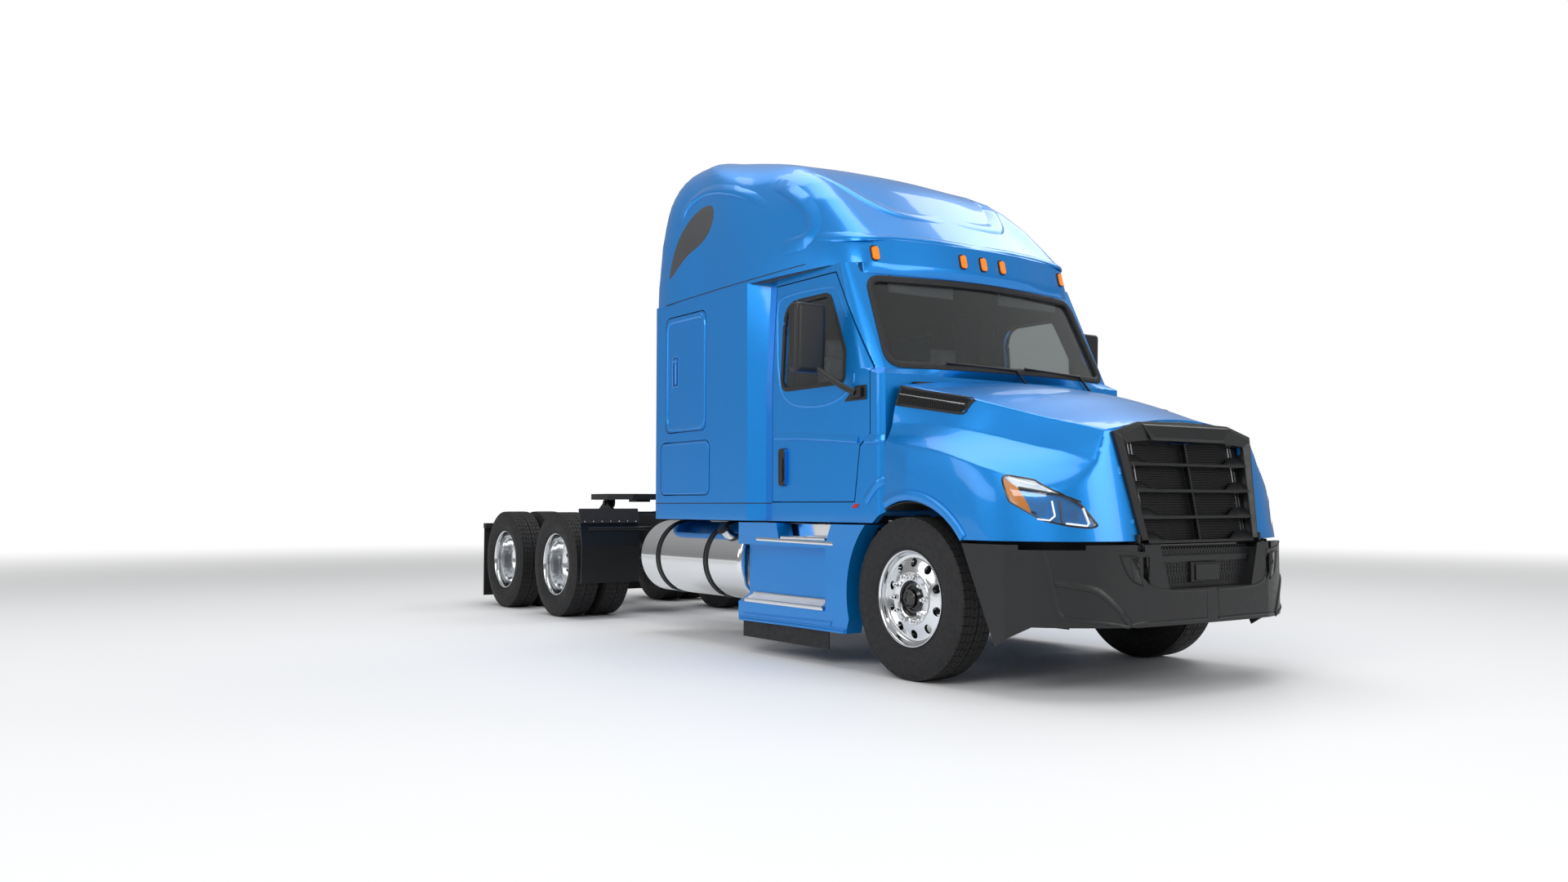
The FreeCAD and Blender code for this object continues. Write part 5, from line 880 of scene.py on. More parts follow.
def makeGrille():
    g = grille
    low, high, shoulder, flat, top = (g[key] for key in ("low", "high", "shoulder", "flat", "top"))
    outer = wholeLine([(low, 0.0), (high, shoulder), (flat, top)], top + 0.012)
    ridge = wholeLine([(low - 0.030, 0.0), (high - 0.038, shoulder - 0.035), (flat - 0.006, top - 0.030)],
                      top - 0.020)
    inner = wholeLine([(low - 0.052, 0.0), (high - 0.088, 0.572), (flat - 0.070, 0.590)], 0.600)
    bm = bmesh.new()
    levels = [(outer, g["wall"]), (outer, -0.004), (ridge, 0.015), (inner, -0.004), (inner, g["wall"])]
    rows = [[bm.verts.new(grillePoint(a, h, d)) for a, h in line] for line, d in levels]
    for near, far in zip(rows, rows[1:] + rows[:1]):
        for k in range(len(near) - 1):
            bm.faces.new((near[k], near[k + 1], far[k + 1], far[k]))
    for k in (0, -1):
        bm.faces.new([row[k] for row in rows])
    b = bandFront
    capped(bm, [[grillePoint(a, h, b["foot"]) for a, h in grilleBand],
                [grillePoint(a * b["wide"], b["middle"] + (h - b["middle"]) * b["tall"], b["face"])
                 for a, h in grilleBand]])
    for lip in g["lips"]:
        capped(bm, bladeRings(lip))
    bevelled(piece("grille_surround", bm, blackPlastic, "hood", 12, ["grille"]), g["bevel"], 2, 20)
    # Centre bars between the blades
    bm = bmesh.new()
    bar = [(-g["bar"], -0.050), (g["bar"], -0.050), (g["bar"], -0.020), (-g["bar"], -0.020)]
    for over, under in zip((0.585,) + g["lips"][:-1], g["lips"]):
        capped(bm, [[grillePoint(a, h, d) for a, d in bar] for h in (under + 0.012, over - 0.006)])
    piece("grille_bars", bm, glossBlack, "hood")
    # Screen of fine ribs and wires behind, a dark back and two bright rails at each side
    place = Matrix.Translation((g["foot"][0], 0, g["foot"][1])) @ Matrix.Rotation(-g["lean"], 4, "Y")
    x, y, z = screenRib["half"]
    rib = boxMesh((-x, -y, -z), (x, y, z))
    ribs = repeated(rowRepeater, rib, blackPlastic, place @ Matrix.Translation((g["screen"], 0, 0.006)),
                    Count=screenRib["count"], Rows=1, Step=(0, 0, screenRib["pitch"]), Row_Step=(0, 0, 0))
    x, y = screenWire["half"]
    wire = boxMesh((-x, -y, 0), (x, y, screenWire["tall"]))
    first = place @ Matrix.Translation((g["screen"] - 0.002, screenWire["first"], 0.004))
    wires = repeated(rowRepeater, wire, blackPlastic, first, Count=screenWire["count"], Rows=1,
                     Step=(0, screenWire["pitch"], 0), Row_Step=(0, 0, 0))
    back = boxMesh((-0.004, -0.58, 0), (0.0, 0.58, 0.588))
    back.transform(place @ Matrix.Translation((g["screen"] - 0.004, 0, 0.002)))
    back.materials.append(glossBlack)
    placed(addObject("grille_screen", mergedMesh([ribs, wires, back])), blackPlastic, "hood")
    bm = bmesh.new()
    for a in g["rails"]:
        boxAt(bm, (-0.006, a - 0.005, 0.01), (0.0, a + 0.005, 0.575))
    rails = meshOf(bm)
    rails.transform(place @ Matrix.Translation((g["screen"] + 0.010, 0, 0)))
    placed(addObject("grille_rails", rails), chrome, "hood")
    print("grille done")


makeGrille()


# Places read in the photo, in its pixels, laid on a surface by a ray from the photo's camera

view = {"yaw": math.radians(145.70805726743288), "pitch": math.radians(2.935451401103666),
        "lens": 1504.296898823341, "place": Vector((5.92377564 + datum, -6.15856241, 1.09902672)),
        "middle": (960.0, 540.0)}
# Enlarged cuts of the photo: their corner's pixel and their scale
crops = {"lamp": (1205, 570, 9.224), "vent": (1030, 440, 5.807), "door": (905, 325, 4.976),
         "roof": (815, 185, 3.045), "steps": (880, 600, 6.817), "corner": (1060, 630, 5.0),
         "front": (1345, 610, 5.0)}


def photoRay(u, v):
    yaw, pitch = view["yaw"], view["pitch"]
    forward = Vector((math.cos(yaw) * math.cos(pitch), math.sin(yaw) * math.cos(pitch), math.sin(pitch)))
    right = forward.cross(Vector((0, 0, 1))).normalized()
    up = right.cross(forward)
    across, down = u - view["middle"][0], v - view["middle"][1]
    return (forward * view["lens"] + right * across - up * down).normalized()


def photoHits(tree, path, step=3.0, closed=False, curved=False, sink=0.0):
    # Surface points and normals under a line of photo pixels, on the truck's right side
    if curved:
        path = smoothPath(list(path) + [path[0]] if closed else path, 6)
        path = path[:-1] if closed else path
    found = [seenFrom(tree, view["place"], photoRay(spot.x, spot.y))
             for spot in resampled(path, step, closed)]
    return [(hit[0] - hit[1] * sink, hit[1]) for hit in found if hit]


def photoTrim(name, tree, path, section, material, bodies, closed=False, angle=40, curved=True, step=3.0,
              fade=0):
    # Trim under a line of photo pixels on the right side, and its mirror image on the left
    hits = [hit for hit in photoHits(tree, path, step, closed, curved) if hit[0].y < 0.002]
    mirroredTrim(name, [hits], section, closed, material, bodies, angle, fade)


def inPhoto(crop, points):
    u, v, scale = crops[crop]
    return [(u + x / scale, v + y / scale) for x, y in points]


# Hood: a smooth skin through six cross outlines, with each fender's crease, that stands for the CAD hood

hood = {"lean": 0.18, "foot": 0.888, "arch": 0.612, "axle": 0.510, "side": 1.1985, "corner": 0.660,
        "nose": 1.272, "flat": 0.540, "rear": -0.192, "rearBow": 0.083, "rearReach": 1.38, "skin": 0.020,
        "blend": 0.035, "samples": 5, "alongSide": 36, "roundCorner": 26, "gap": 0.002, "grid": 0.004}
# Each row: its place along X; across and height of crease, top, valley, wall and edge; the crown's height
hoodSections = [
    (-0.36, 1.165, 1.505, 1.130, 1.545, 1.112, 1.630, 1.100, 1.760, 1.056, 1.900, 1.966),
    (0.225, 1.180, 1.432, 1.105, 1.500, 1.045, 1.580, 1.000, 1.695, 0.955, 1.777, 1.870),
    (0.500, 1.180, 1.362, 1.060, 1.440, 0.945, 1.515, 0.900, 1.620, 0.872, 1.700, 1.798),
    (0.741, 1.135, 1.285, 1.010, 1.370, 0.870, 1.450, 0.826, 1.555, 0.800, 1.628, 1.718),
    (1.050, 0.990, 1.180, 0.870, 1.290, 0.785, 1.380, 0.735, 1.480, 0.696, 1.550, 1.631),
    (1.360, 0.864, 1.050, 0.760, 1.160, 0.690, 1.270, 0.635, 1.380, 0.590, 1.465, 1.560)]
lampOutline = [
    (0.760, 1.278), (0.935, 1.240), (1.075, 1.160), (1.150, 1.090), (1.215, 0.955), (1.120, 0.972),
    (1.020, 1.003), (0.845, 1.112)]
ventOutline = [(-0.262, 1.742), (0.272, 1.652), (0.352, 1.739), (-0.262, 1.880)]
hinge = {"across": 0.560, "half": 0.010, "radius": 0.020, "pin": (1.312, 0.848),
         "arm": (1.222, 0.860, 1.290, 0.925), "foot": (1.270, 0.835, 1.312, 0.875)}


def stationed(table, x):
    # A row of the table at x, along smooth curves through its rows
    places = [row[0] for row in table]
    k = max(0, min(len(table) - 2, sum(1 for place in places if place <= x) - 1))
    width = places[k + 1] - places[k]
    t = min(1.2, max(-0.2, (x - places[k]) / width))

    def slope(i, c):
        low, high = max(i - 1, 0), min(i + 1, len(table) - 1)
        return (table[high][c] - table[low][c]) / (places[high] - places[low])

    out = []
    for c in range(1, len(table[0])):
        a, b = table[k][c], table[k + 1][c]
        out.append(a * (2 * t ** 3 - 3 * t ** 2 + 1) + b * (3 * t ** 2 - 2 * t ** 3)
                   + width * (slope(k, c) * (t ** 3 - 2 * t ** 2 + t) + slope(k + 1, c) * (t ** 3 - t ** 2)))
    return out


def bSpline(points, samples):
    # A smooth curve drawn by its control points, from the first to the last
    line = [points[0]] * 2 + list(points) + [points[-1]] * 2
    out = []
    for i in range(len(line) - 3):
        for k in range(samples):
            t = k / samples
            shares = ((1 - t) ** 3, 3 * t ** 3 - 6 * t ** 2 + 4, -3 * t ** 3 + 3 * t ** 2 + 3 * t + 1, t ** 3)
            out.append(tuple(sum(p * share for p, share in zip(row, shares)) / 6
                             for row in zip(*line[i:i + 4])))
    return out + [tuple(points[-1])]


sectionCache = {}


def hoodSection(x):
    # Points across the hood at x, from one side's foot over the crown to the other's
    x = round(x / hood["grid"]) * hood["grid"]
    if x in sectionCache:
        return sectionCache[x]
    values = stationed(hoodSections, x)
    crease, top, valley, wall, edge = zip(values[0:10:2], values[1:10:2])
    crown = values[-1]
    reach = abs(x) / hood["arch"]
    foot = hood["foot"]
    if reach < 1:
        foot = max(foot, hood["axle"] + hood["arch"] * math.sqrt(1 - reach * reach))
    side = hood["side"] + 0.02
    half = [(side - 0.006, foot), (side, foot + 0.05), (side, foot + (crease[1] - foot) * 0.55),
            (crease[0] + 0.010, crease[1] - 0.030), crease, crease, top, valley, valley, wall, edge, edge]
    half += [(edge[0] * s, crown - (crown - edge[1]) * s * s) for s in (0.86, 0.55, 0.25)]
    right = bSpline(half + [(0.0, crown)] + [(-y, z) for y, z in reversed(half)], hood["samples"])
    sectionCache[x] = [(-y, z) for y, z in right]
    return sectionCache[x]


def hoodPoint(u, index):
    # A point of the skin at a share along the side, or past 1, round the front corner
    x = -0.1
    for trial in range(3):
        y, z = hoodSection(x)[index]
        centre = hood["nose"] - hood["corner"] - hood["lean"] * (z - hood["foot"])
        start = hood["rear"] - hood["rearBow"] * (y / hood["rearReach"]) ** 2
        if u <= 1:
            x, limit = start + (centre - start) * u, hood["side"]
            if x < 0:
                limit = hood["side"] + (1.150 - 1.2) * (x / -0.36)
        else:
            turn = (u - 1) * math.pi / 2
            x = centre + hood["corner"] * math.sin(turn)
            limit = hood["flat"] + hood["corner"] * math.cos(turn)
    k = hood["blend"]
    share = min(1.0, max(0.0, 0.5 + 0.5 * (limit - abs(y)) / k))
    wide = limit + (abs(y) - limit) * share - k * share * (1 - share)
    return Vector((x + datum, math.copysign(wide, y), z))


def hoodGrid():
    straight, turned = hood["alongSide"], hood["roundCorner"]
    shares = [k / straight for k in range(straight + 1)] + [1 + k / turned for k in range(1, turned + 1)]
    bm = bmesh.new()
    count = len(hoodSection(0.0))
    loftRings(bm, [[hoodPoint(u, i) for i in range(count)] for u in shares], closedRing=False)
    bmesh.ops.recalc_face_normals(bm, faces=bm.faces)
    bm.normal_update()
    if sum(face.normal.z * face.calc_area() for face in bm.faces) < 0:
        bmesh.ops.reverse_faces(bm, faces=bm.faces)
    return bm


def thickened(bm, thickness):
    # A closed wall inward from an open skin
    mesh = bpy.data.meshes.new("skin")
    bm.to_mesh(mesh)
    obj = addObject("skin", mesh)
    step = obj.modifiers.new("wall", "SOLIDIFY")
    step.thickness, step.offset = thickness, -1
    made = evaluated(obj)
    bpy.data.objects.remove(obj)
    return made


def sidePrism(bm, outline, side, near=0.5, far=1.3):
    # A side view outline in the datum's frame as a block across one side of the truck
    capped(bm, [[Vector((x + datum, side * y, z)) for x, z in outline] for y in (near, far)])


def grown(outline, reach):
    mid = (sum(x for x, z in outline) / len(outline), sum(z for x, z in outline) / len(outline))
    out = []
    for x, z in outline:
        length = math.hypot(x - mid[0], z - mid[1])
        out.append((x + (x - mid[0]) * reach / length, z + (z - mid[1]) * reach / length))
    return out


def prismTool(outlines):
    bm = bmesh.new()
    for side in (-1, 1):
        for outline in outlines:
            sidePrism(bm, outline, side)
    return meshOf(bm)


def makeHood():
    skin = hoodGrid()
    tree = BVHTree.FromBMesh(skin)
    loop = roundedLoop(lampOutline, 0.03, 4)
    openings = prismTool([grown(loop, hood["gap"]), grown(ventOutline, hood["gap"])])
    body = cutBy(thickened(skin, hood["skin"]), openings, solver="FAST")
    g = grille
    half = [(g["low"], -0.02), (g["high"], g["shoulder"]), (g["flat"], g["top"])]
    outline = half + [(-a, h) for a, h in half[::-1]]
    bm = bmesh.new()
    capped(bm, [[grillePoint(a, h, d) for a, h in outline] for d in (-0.14, 0.09)])
    body = sharpened(cutBy(body, meshOf(bm), solver="FAST"), 28)
    placed(addObject("hood_skin", body), paint, "hood", replaced=["hood"])
    bm = bmesh.new()
    quarter = Matrix.Rotation(math.radians(90), 4, "X")
    for side in (-1, 1):
        y = side * hinge["across"]
        for x0, z0, x1, z1 in (hinge["arm"], hinge["foot"]):
            boxAt(bm, (x0 + datum, y - hinge["half"], z0), (x1 + datum, y + hinge["half"], z1))
        pin = Matrix.Translation((hinge["pin"][0] + datum, y, hinge["pin"][1])) @ quarter
        disc(bm, hinge["radius"], -hinge["half"], hinge["half"], 20, pin)
    piece("hood_hinges", bm, blackPaint, "hood", 30)
    lens = cutBy(thickened(skin, 0.003), prismTool([loop]), "INTERSECT")
    print("hood done")
    return tree, skin, lens, loop


hoodTree, hoodSkin, lampLens, lampLoop = makeHood()


# Lower mesh of the bumper: hexagons behind the mouth, a bar and a plain cover

mouth = {"low": 0.640, "high": 0.862, "halfLow": 0.352, "halfHigh": 0.452, "face": 1.292, "pitch": 0.0262,
         "wall": 0.0046, "thick": 0.010, "webs": ((0.806, 0.868), (0.640, 0.760)), "barAt": 0.78,
         "backAt": 0.86, "bevel": 0.004}
# Each block's low and high corner, from the mouth's face
mouthCover = [((-0.004, -0.130, 0.642), (0.018, 0.130, 0.758)),
              ((0.016, -0.098, 0.652), (0.028, 0.122, 0.748))]


def mouthHalf(z):
    m = mouth
    return m["halfLow"] + (m["halfHigh"] - m["halfLow"]) * (z - m["low"]) / (m["high"] - m["low"])


def hexWeb(bm, low, high):
    # A web of hexagon cells with real holes between two heights
    pitch, thick, x = mouth["pitch"], mouth["thick"], mouth["face"] + datum
    radius = pitch / math.sqrt(3)
    hole = radius - mouth["wall"] / math.sqrt(3)
    corners = [(math.sin(math.pi / 3 * i), math.cos(math.pi / 3 * i)) for i in range(6)]
    row, z = 0, low + radius * 0.9
    while z < high - radius * 0.4:
        count = int(2 * mouthHalf(z) / pitch) - (row % 2)
        for k in range(count):
            y = (k - (count - 1) / 2) * pitch
            levels = ((radius * 1.005, 0.0), (hole, 0.0), (hole, thick), (radius * 1.005, thick))
            loftRings(bm, [[(x - back, y + r * a, z + r * b) for a, b in corners] for r, back in levels],
                      closed=True)
        z += pitch * math.sqrt(3) / 2
        row += 1


def makeMouth():
    x = mouth["face"] + datum
    bm = bmesh.new()
    for low, high in mouth["webs"]:
        hexWeb(bm, low, high)
    piece("bumper_mesh", bm, blackPlastic, "root")
    bm = bmesh.new()
    half = mouthHalf(mouth["barAt"])
    for low, high in [((-0.022, -half, 0.764), (0.008, half, 0.802))] + mouthCover:
        boxAt(bm, low, high, x)
    bevelled(piece("bumper_cover", bm, blackPlastic, "root"), mouth["bevel"], 2, 30)
    half = mouthHalf(mouth["backAt"])
    bm = bmesh.new()
    boxAt(bm, (-0.024, -half, 0.626), (-0.018, half, 0.866), x)
    piece("bumper_back", bm, glossBlack, "root")
    print("mouth done")


makeMouth()


# Windscreen and window seals, and the hatch's raised border

windowLine = roundedLoop([(-1.446, 1.925), (-0.695, 1.925), (-0.695, 2.140), (-0.905, 2.558),
                          (-1.446, 2.558)], [0.075, 0.06, 0.12, 0.09, 0.16])
screenLine = roundedLoop([(-1.040, 2.015), (1.040, 2.015), (0.985, 2.655), (0.0, 2.672), (-0.985, 2.655)],
                         [0.10, 0.10, 0.11, 0.6, 0.11])
upperHatchLine = rectangle((-3.095, 1.690), (-2.455, 2.640), 0.10)
screen = {"half": 1.070, "back": 0.235, "lean": 0.48, "foot": 2.0, "bow": 0.130, "out": (0.90, 0.24, 0.43)}
screenSeal = [(-0.034, -0.012), (0.016, -0.012), (0.016, 0.006), (0.008, 0.010), (-0.026, 0.010),
              (-0.034, 0.004)]
hatchBorder = [(-0.020, -0.002), (0.020, -0.002), (0.012, 0.007), (-0.004, 0.009), (-0.012, 0.007)]


def makeSeals():
    s = screen
    hits = []
    for spot in resampled(screenLine, 0.02, True):
        bow = (abs(spot.x) / s["half"]) ** 2
        out = Vector((s["out"][0], math.copysign(s["out"][1] * bow, spot.x), s["out"][2])).normalized()
        x = datum - s["back"] - s["lean"] * (spot.y - s["foot"]) - s["bow"] * bow
        hits.append((Vector((x, spot.x, spot.y)), out))
    trimPiece("windshield_seal", [hits], screenSeal, True, blackRubber, "root")
    bothSides("window_seal", ["door_side", "door_glass_side"], windowLine,
              flatSection(0.030, 0.010, sink=0.012), blackRubber, "door_side")
    inset = [(x * 0.94 - 0.1665, z * 0.94 + 0.130) for x, z in upperHatchLine]
    bothSides("hatch_border", ["hatch_upper_side"], inset, hatchBorder, paint, "hatch_upper_side")
    print("seals done")


makeSeals()


# Headlamps: a dark bowl, an amber wedge, a finned light guide, two bright chambers and a clear cover

lamp = {"bowl": 0.060, "bowlLip": 0.004, "bowlFloor": 0.93, "inward": (-0.30, 0.95), "inset": -0.003,
        "fins": 34, "finSink": 0.012, "finBend": (-1.2, 1.0), "plate": 0.006, "chamber": 0.030}
lampLines = {
    "amber": [(135, 92), (205, 122), (380, 250), (490, 430), (560, 610), (218, 408)],
    "top": [(215, 112), (620, 165), (900, 262), (1125, 405)],
    "low": [(385, 245), (640, 292), (900, 345), (1095, 415)],
    "chamber1": [(505, 345), (735, 385), (742, 560), (700, 605), (560, 585)],
    "bracket1": [(765, 400), (800, 570), (740, 622), (600, 604)],
    "chamber2": [(885, 415), (1105, 470), (1150, 640), (1120, 665), (905, 640)],
    "bracket2": [(1120, 480), (1188, 655), (1165, 684), (925, 655)],
    "divider": [(850, 390), (890, 650)]}
# Each step of a chamber: its share of the outline, its depth and its material
lampSteps = ((0.78, 0.024, glossBlack), (0.66, 0.020, chrome), (0.42, 0.014, clearLens))


def plate(bm, hits, depth, thickness):
    # A plate below the skin, inside a closed line of hits
    top, low = loftRings(bm, [[p - n * down for p, n in hits] for down in (depth, depth + thickness)])
    for ring in (top, low):
        bmesh.ops.triangulate(bm, faces=[bm.faces.new(ring)])


def platePiece(name, hits, depth, thickness, material, body, slot=None):
    bm = bmesh.new()
    plate(bm, hits, depth, thickness)
    piece(name, bm, material, body, 30, slot=slot)


def photoPlate(name, tree, path, depth, thickness, material, body, slot=None):
    hits = photoHits(tree, path, 2.0, True)
    for side, word in sides:
        platePiece(name + "_" + word, hits if side < 0 else mirrored(hits), depth, thickness, material, body,
                   slot)


def along(path, share):
    # The point of a line of pixels at a share of its length
    lengths = [math.dist(a, b) for a, b in zip(path, path[1:])]
    left = share * sum(lengths)
    for (a, b), length in zip(zip(path, path[1:]), lengths):
        if left <= length:
            return tuple(p + (q - p) * left / length for p, q in zip(a, b))
        left -= length
    return path[-1]


def bowlMesh(hits, into):
    bm = bmesh.new()
    depth = lamp["bowl"]
    floor = [p + into * depth for p, n in hits]
    mid = sum(floor, Vector()) / len(floor)
    made = loftRings(bm, [[p - n * lamp["bowlLip"] for p, n in hits],
                          [p + into * depth * 0.6 for p, n in hits],
                          [mid.lerp(p, lamp["bowlFloor"]) for p in floor]])
    bmesh.ops.triangulate(bm, faces=[bm.faces.new(made[-1])])
    return meshOf(bm, 40)


def makeHeadlamps():
    lines = {name: inPhoto("lamp", points) for name, points in lampLines.items()}
    for side, word in sides:
        inward = Vector((lamp["inward"][0], -side * lamp["inward"][1], 0)).normalized()
        bowl = bowlMesh(sideHits(hoodTree, resampled(lampLoop, 0.02, True), side), inward)
        placed(addObject("lamp_bowl_" + word, bowl), glossBlack, "hood")
        sideTrim("lamp_bezel_" + word, hoodTree, resampled(grown(lampLoop, lamp["inset"]), 0.015, True), side,
                 flatSection(0.010, 0.002, sink=0.006), True, glossBlack, "hood")
    placed(addObject("lamp_cover", sharpened(lampLens, 30)), clearLens, "hood", replaced=["headlamps"])
    photoPlate("lamp_amber", hoodTree, lines["amber"], 0.008, 0.014, amberLens, "hood")
    top, low, count = lines["top"], lines["low"], lamp["fins"]
    fins = []
    for k in range(count):
        start, end = along(top, k / count), along(low, min(1.0, (k + 0.6) / count))
        bend = [(a + b) / 2 + off for a, b, off in zip(start, end, lamp["finBend"])]
        fins.append(photoHits(hoodTree, [start, bend, end], 1.5, False, True, lamp["finSink"]))
    mirroredTrim("lamp_fins", fins, finSection(0.0016, 0.0010, 0.0, 0.007), False, whiteGuide, "hood")
    photoPlate("lamp_guide", hoodTree, top + low[::-1], 0.016, 0.004, whiteGuide, "hood")
    photoTrim("lamp_band", hoodTree, low, flatSection(0.012, 0.004, sink=0.024), glossBlack, "hood")
    for number in "12":
        outline = lines["chamber" + number]
        photoPlate("lamp_chamber" + number, hoodTree, outline, lamp["chamber"], lamp["plate"], chrome, "hood")
        middle = [sum(values) / len(outline) for values in zip(*outline)]
        for share, depth, material in lampSteps:
            ring = [[m + (p - m) * share for p, m in zip(point, middle)] for point in outline]
            photoPlate("lamp_step%s_%d" % (number, round(share * 100)), hoodTree, ring, depth, lamp["plate"],
                       material, "hood", "lens")
        photoTrim("lamp_bracket" + number, hoodTree, lines["bracket" + number],
                  flatSection(0.010, 0.004, sink=0.016), whiteGuide, "hood", curved=False, step=2.0)
    photoTrim("lamp_divider", hoodTree, lines["divider"], flatSection(0.008, 0.002, sink=0.03), greyTrim,
              "hood", curved=False)
    print("headlamps done")


makeHeadlamps()


# Hood vents: a black panel with a bright strip between two fields of slats

vent = {"panel": 0.014, "rows": (0.2, 0.4, 0.6, 0.8), "bars": 34, "first": 380, "pitch": 15.5, "left": 372,
        "top": 204, "low": 316, "foot": 380, "slope": 0.145}


def makeVents():
    v = vent
    panel = cutBy(thickened(hoodSkin, v["panel"]), prismTool([grown(ventOutline, -0.001)]), "INTERSECT",
                  "FAST")
    placed(addObject("vent_panels", sharpened(panel, 30)), blackPlastic, "hood", replaced=["hood_vents"])
    edge = inPhoto("vent", [(356, 190), (938, 276), (944, 288), (874, 384), (842, 386), (358, 318)])
    photoTrim("vent_frame", hoodTree, edge, flatSection(0.014, 0.006), blackPlastic, "hood", True,
              curved=False)
    strip = inPhoto("vent", [(368, 240), (882, 322)])
    photoTrim("vent_strip", hoodTree, strip, flatSection(0.012, 0.010), chrome, "hood", curved=False)
    lines = []
    for share in v["rows"]:
        lines.append([(v["left"], 200 + 40 * share), (925 - 40 * share, 280 + 40 * share)])
        lines.append([(v["left"], 244 + 66 * share), (890 - 30 * share, 326 + 50 * share)])
    for k in range(v["bars"]):
        across = v["first"] + k * v["pitch"]
        drop = (across - v["left"]) * v["slope"]
        top, low = v["top"] + drop, min(v["low"] + drop, v["foot"])
        lines.append([(across, top), (across + 6, (top + low) / 2), (across + 4, low)])
    slats = [photoHits(hoodTree, inPhoto("vent", line)) for line in lines]
    mirroredTrim("vent_slats", slats, finSection(0.0018, 0.0012, -0.001, 0.004), False, glossBlack, "hood")
    print("vents done")


makeVents()


# Wheel arches: a rolled lip on the fender and the cab, and a liner inside

arch = {"radius": 0.647, "start": 116, "turn": 82, "steps": 60, "back": -0.268, "foot": 0.895,
        "cabReach": 1.0, "liner": (0.598, 0.604), "linerAcross": (0.640, 1.165)}
archLip = [(-0.034, -0.004), (-0.034, 0.004), (-0.026, 0.009), (0.018, 0.008), (0.030, 0.003),
           (0.036, -0.003)]
cabArch = [(-0.282, 1.262), (-0.36, 1.222), (-0.42, 1.170), (-0.47, 1.118)]


def makeArches():
    path = []
    for k in range(arch["steps"] + 1):
        angle = math.radians(arch["start"] - k * arch["turn"] / arch["steps"])
        x, z = arch["radius"] * math.cos(angle), hood["axle"] + arch["radius"] * math.sin(angle)
        if x > arch["back"] and z > arch["foot"]:
            path.append((x, z))
    for side, word in sides:
        sideTrim("arch_lip_" + word, hoodTree, path, side, archLip, False, paint, "hood", 50)
    tree = surfaceOf("cab_shell")
    inner, outer = arch["liner"]
    near, far = arch["linerAcross"]
    for side, word in sides:
        hits = [hit for hit in sideHits(tree, smoothPath(cabArch, 6), side)
                if abs(hit[0].y) > arch["cabReach"]]
        trimPiece("cab_arch_lip_" + word, [facing(hits, side)], archLip, False, paint, "root", 50)
        rings = []
        for y, r in ((near, inner), (near, outer), (far, outer), (far, inner)):
            turns = [math.radians(a) for a in range(-24, 56, 4)]
            rings.append([(datum + r * math.sin(a), side * y, hood["axle"] + r * math.cos(a)) for a in turns])
        bm = bmesh.new()
        made = loftRings(bm, rings, closedRing=False, closed=True)
        for k in (0, -1):
            bm.faces.new([ring[k] for ring in made])
        piece("arch_liner_" + word, bm, blackPlastic, "hood", 30)
    print("arches done")


makeArches()


# Mirrors: a rounded head with its glass, one arm and a bracket at the window's corner

mirror = {"middle": (-0.835, 1.360, 2.222), "size": (0.128, 0.248, 0.474), "taper": 0.03, "round": 0.042,
          "glass": (-0.9005, -0.8955), "glassHalf": 0.098, "glassRound": 0.02, "arm": 0.0215}
mirrorGlasses = (("main", 2.128, 2.425), ("wide", 2.015, 2.112))
mirrorArm = [(-0.800, 1.300, 2.020), (-0.760, 1.268, 1.978), (-0.640, 1.215, 1.890), (-0.535, 1.180, 1.838)]
mirrorFeet = (([(-0.690, 1.790), (-0.452, 1.790), (-0.452, 1.888), (-0.560, 1.888)], 1.142, 1.160),
              ([(-0.600, 1.808), (-0.480, 1.808), (-0.480, 1.872), (-0.545, 1.872)], 1.158, 1.186))


def makeMirrors():
    x, across, z = mirror["middle"]
    deep, wide, tall = mirror["size"]
    for side, word in sides:
        body, y = "door_" + word, side * across
        bm = bmesh.new()
        bmesh.ops.create_cube(bm, size=1.0)
        for v in bm.verts:
            a, b, c = v.co
            v.co = Vector((datum + x + a * (deep - mirror["taper"] * (c < 0)), y + b * wide, z + c * tall))
        bmesh.ops.bevel(bm, geom=bm.edges[:], offset=mirror["round"], segments=6, profile=0.62,
                        affect="EDGES", clamp_overlap=True)
        piece("mirror_head_" + word, bm, blackPlastic, body, 50, ["mirror_" + word])
        half, (back, front) = mirror["glassHalf"], mirror["glass"]
        for name, z0, z1 in mirrorGlasses:
            bm = bmesh.new()
            boxAt(bm, (back, y - half, z0), (front, y + half, z1), datum)
            through = [e for e in bm.edges if abs((e.verts[0].co - e.verts[1].co).normalized().x) > 0.9]
            bmesh.ops.bevel(bm, geom=through, offset=mirror["glassRound"], segments=4, affect="EDGES")
            piece("mirror_glass_%s_%s" % (name, word), bm, chrome, body, 30)
        bm = bmesh.new()
        tube(bm, smoothPath([(datum + a, side * b, c) for a, b, c in mirrorArm], 6), mirror["arm"], 16)
        for outline, y0, y1 in mirrorFeet:
            sidePrism(bm, outline, side, y0, y1)
        bevelled(piece("mirror_arm_" + word, bm, blackPlastic, body, 30), 0.004, 2, 40)
    print("mirrors done")


makeMirrors()


# Doors: the pressed crease, the recess round the window and the handle

creaseSection = [(-0.050, -0.003), (-0.010, 0.010), (0.004, 0.013), (0.012, 0.010), (0.018, -0.003)]
recessSection = [(-0.022, -0.003), (-0.006, 0.004), (0.004, 0.005), (0.010, -0.003)]
doorLines = {
    "crease": [(222, 1052), (400, 1052), (600, 1062), (728, 1072)],
    "cowl": [(742, 1072), (820, 1071), (888, 1069)],
    "recess": [(700, 655), (690, 720), (620, 800), (500, 850), (340, 845), (262, 770), (240, 640), (235, 500),
               (238, 270), (290, 190), (560, 132), (610, 190), (655, 320)]}
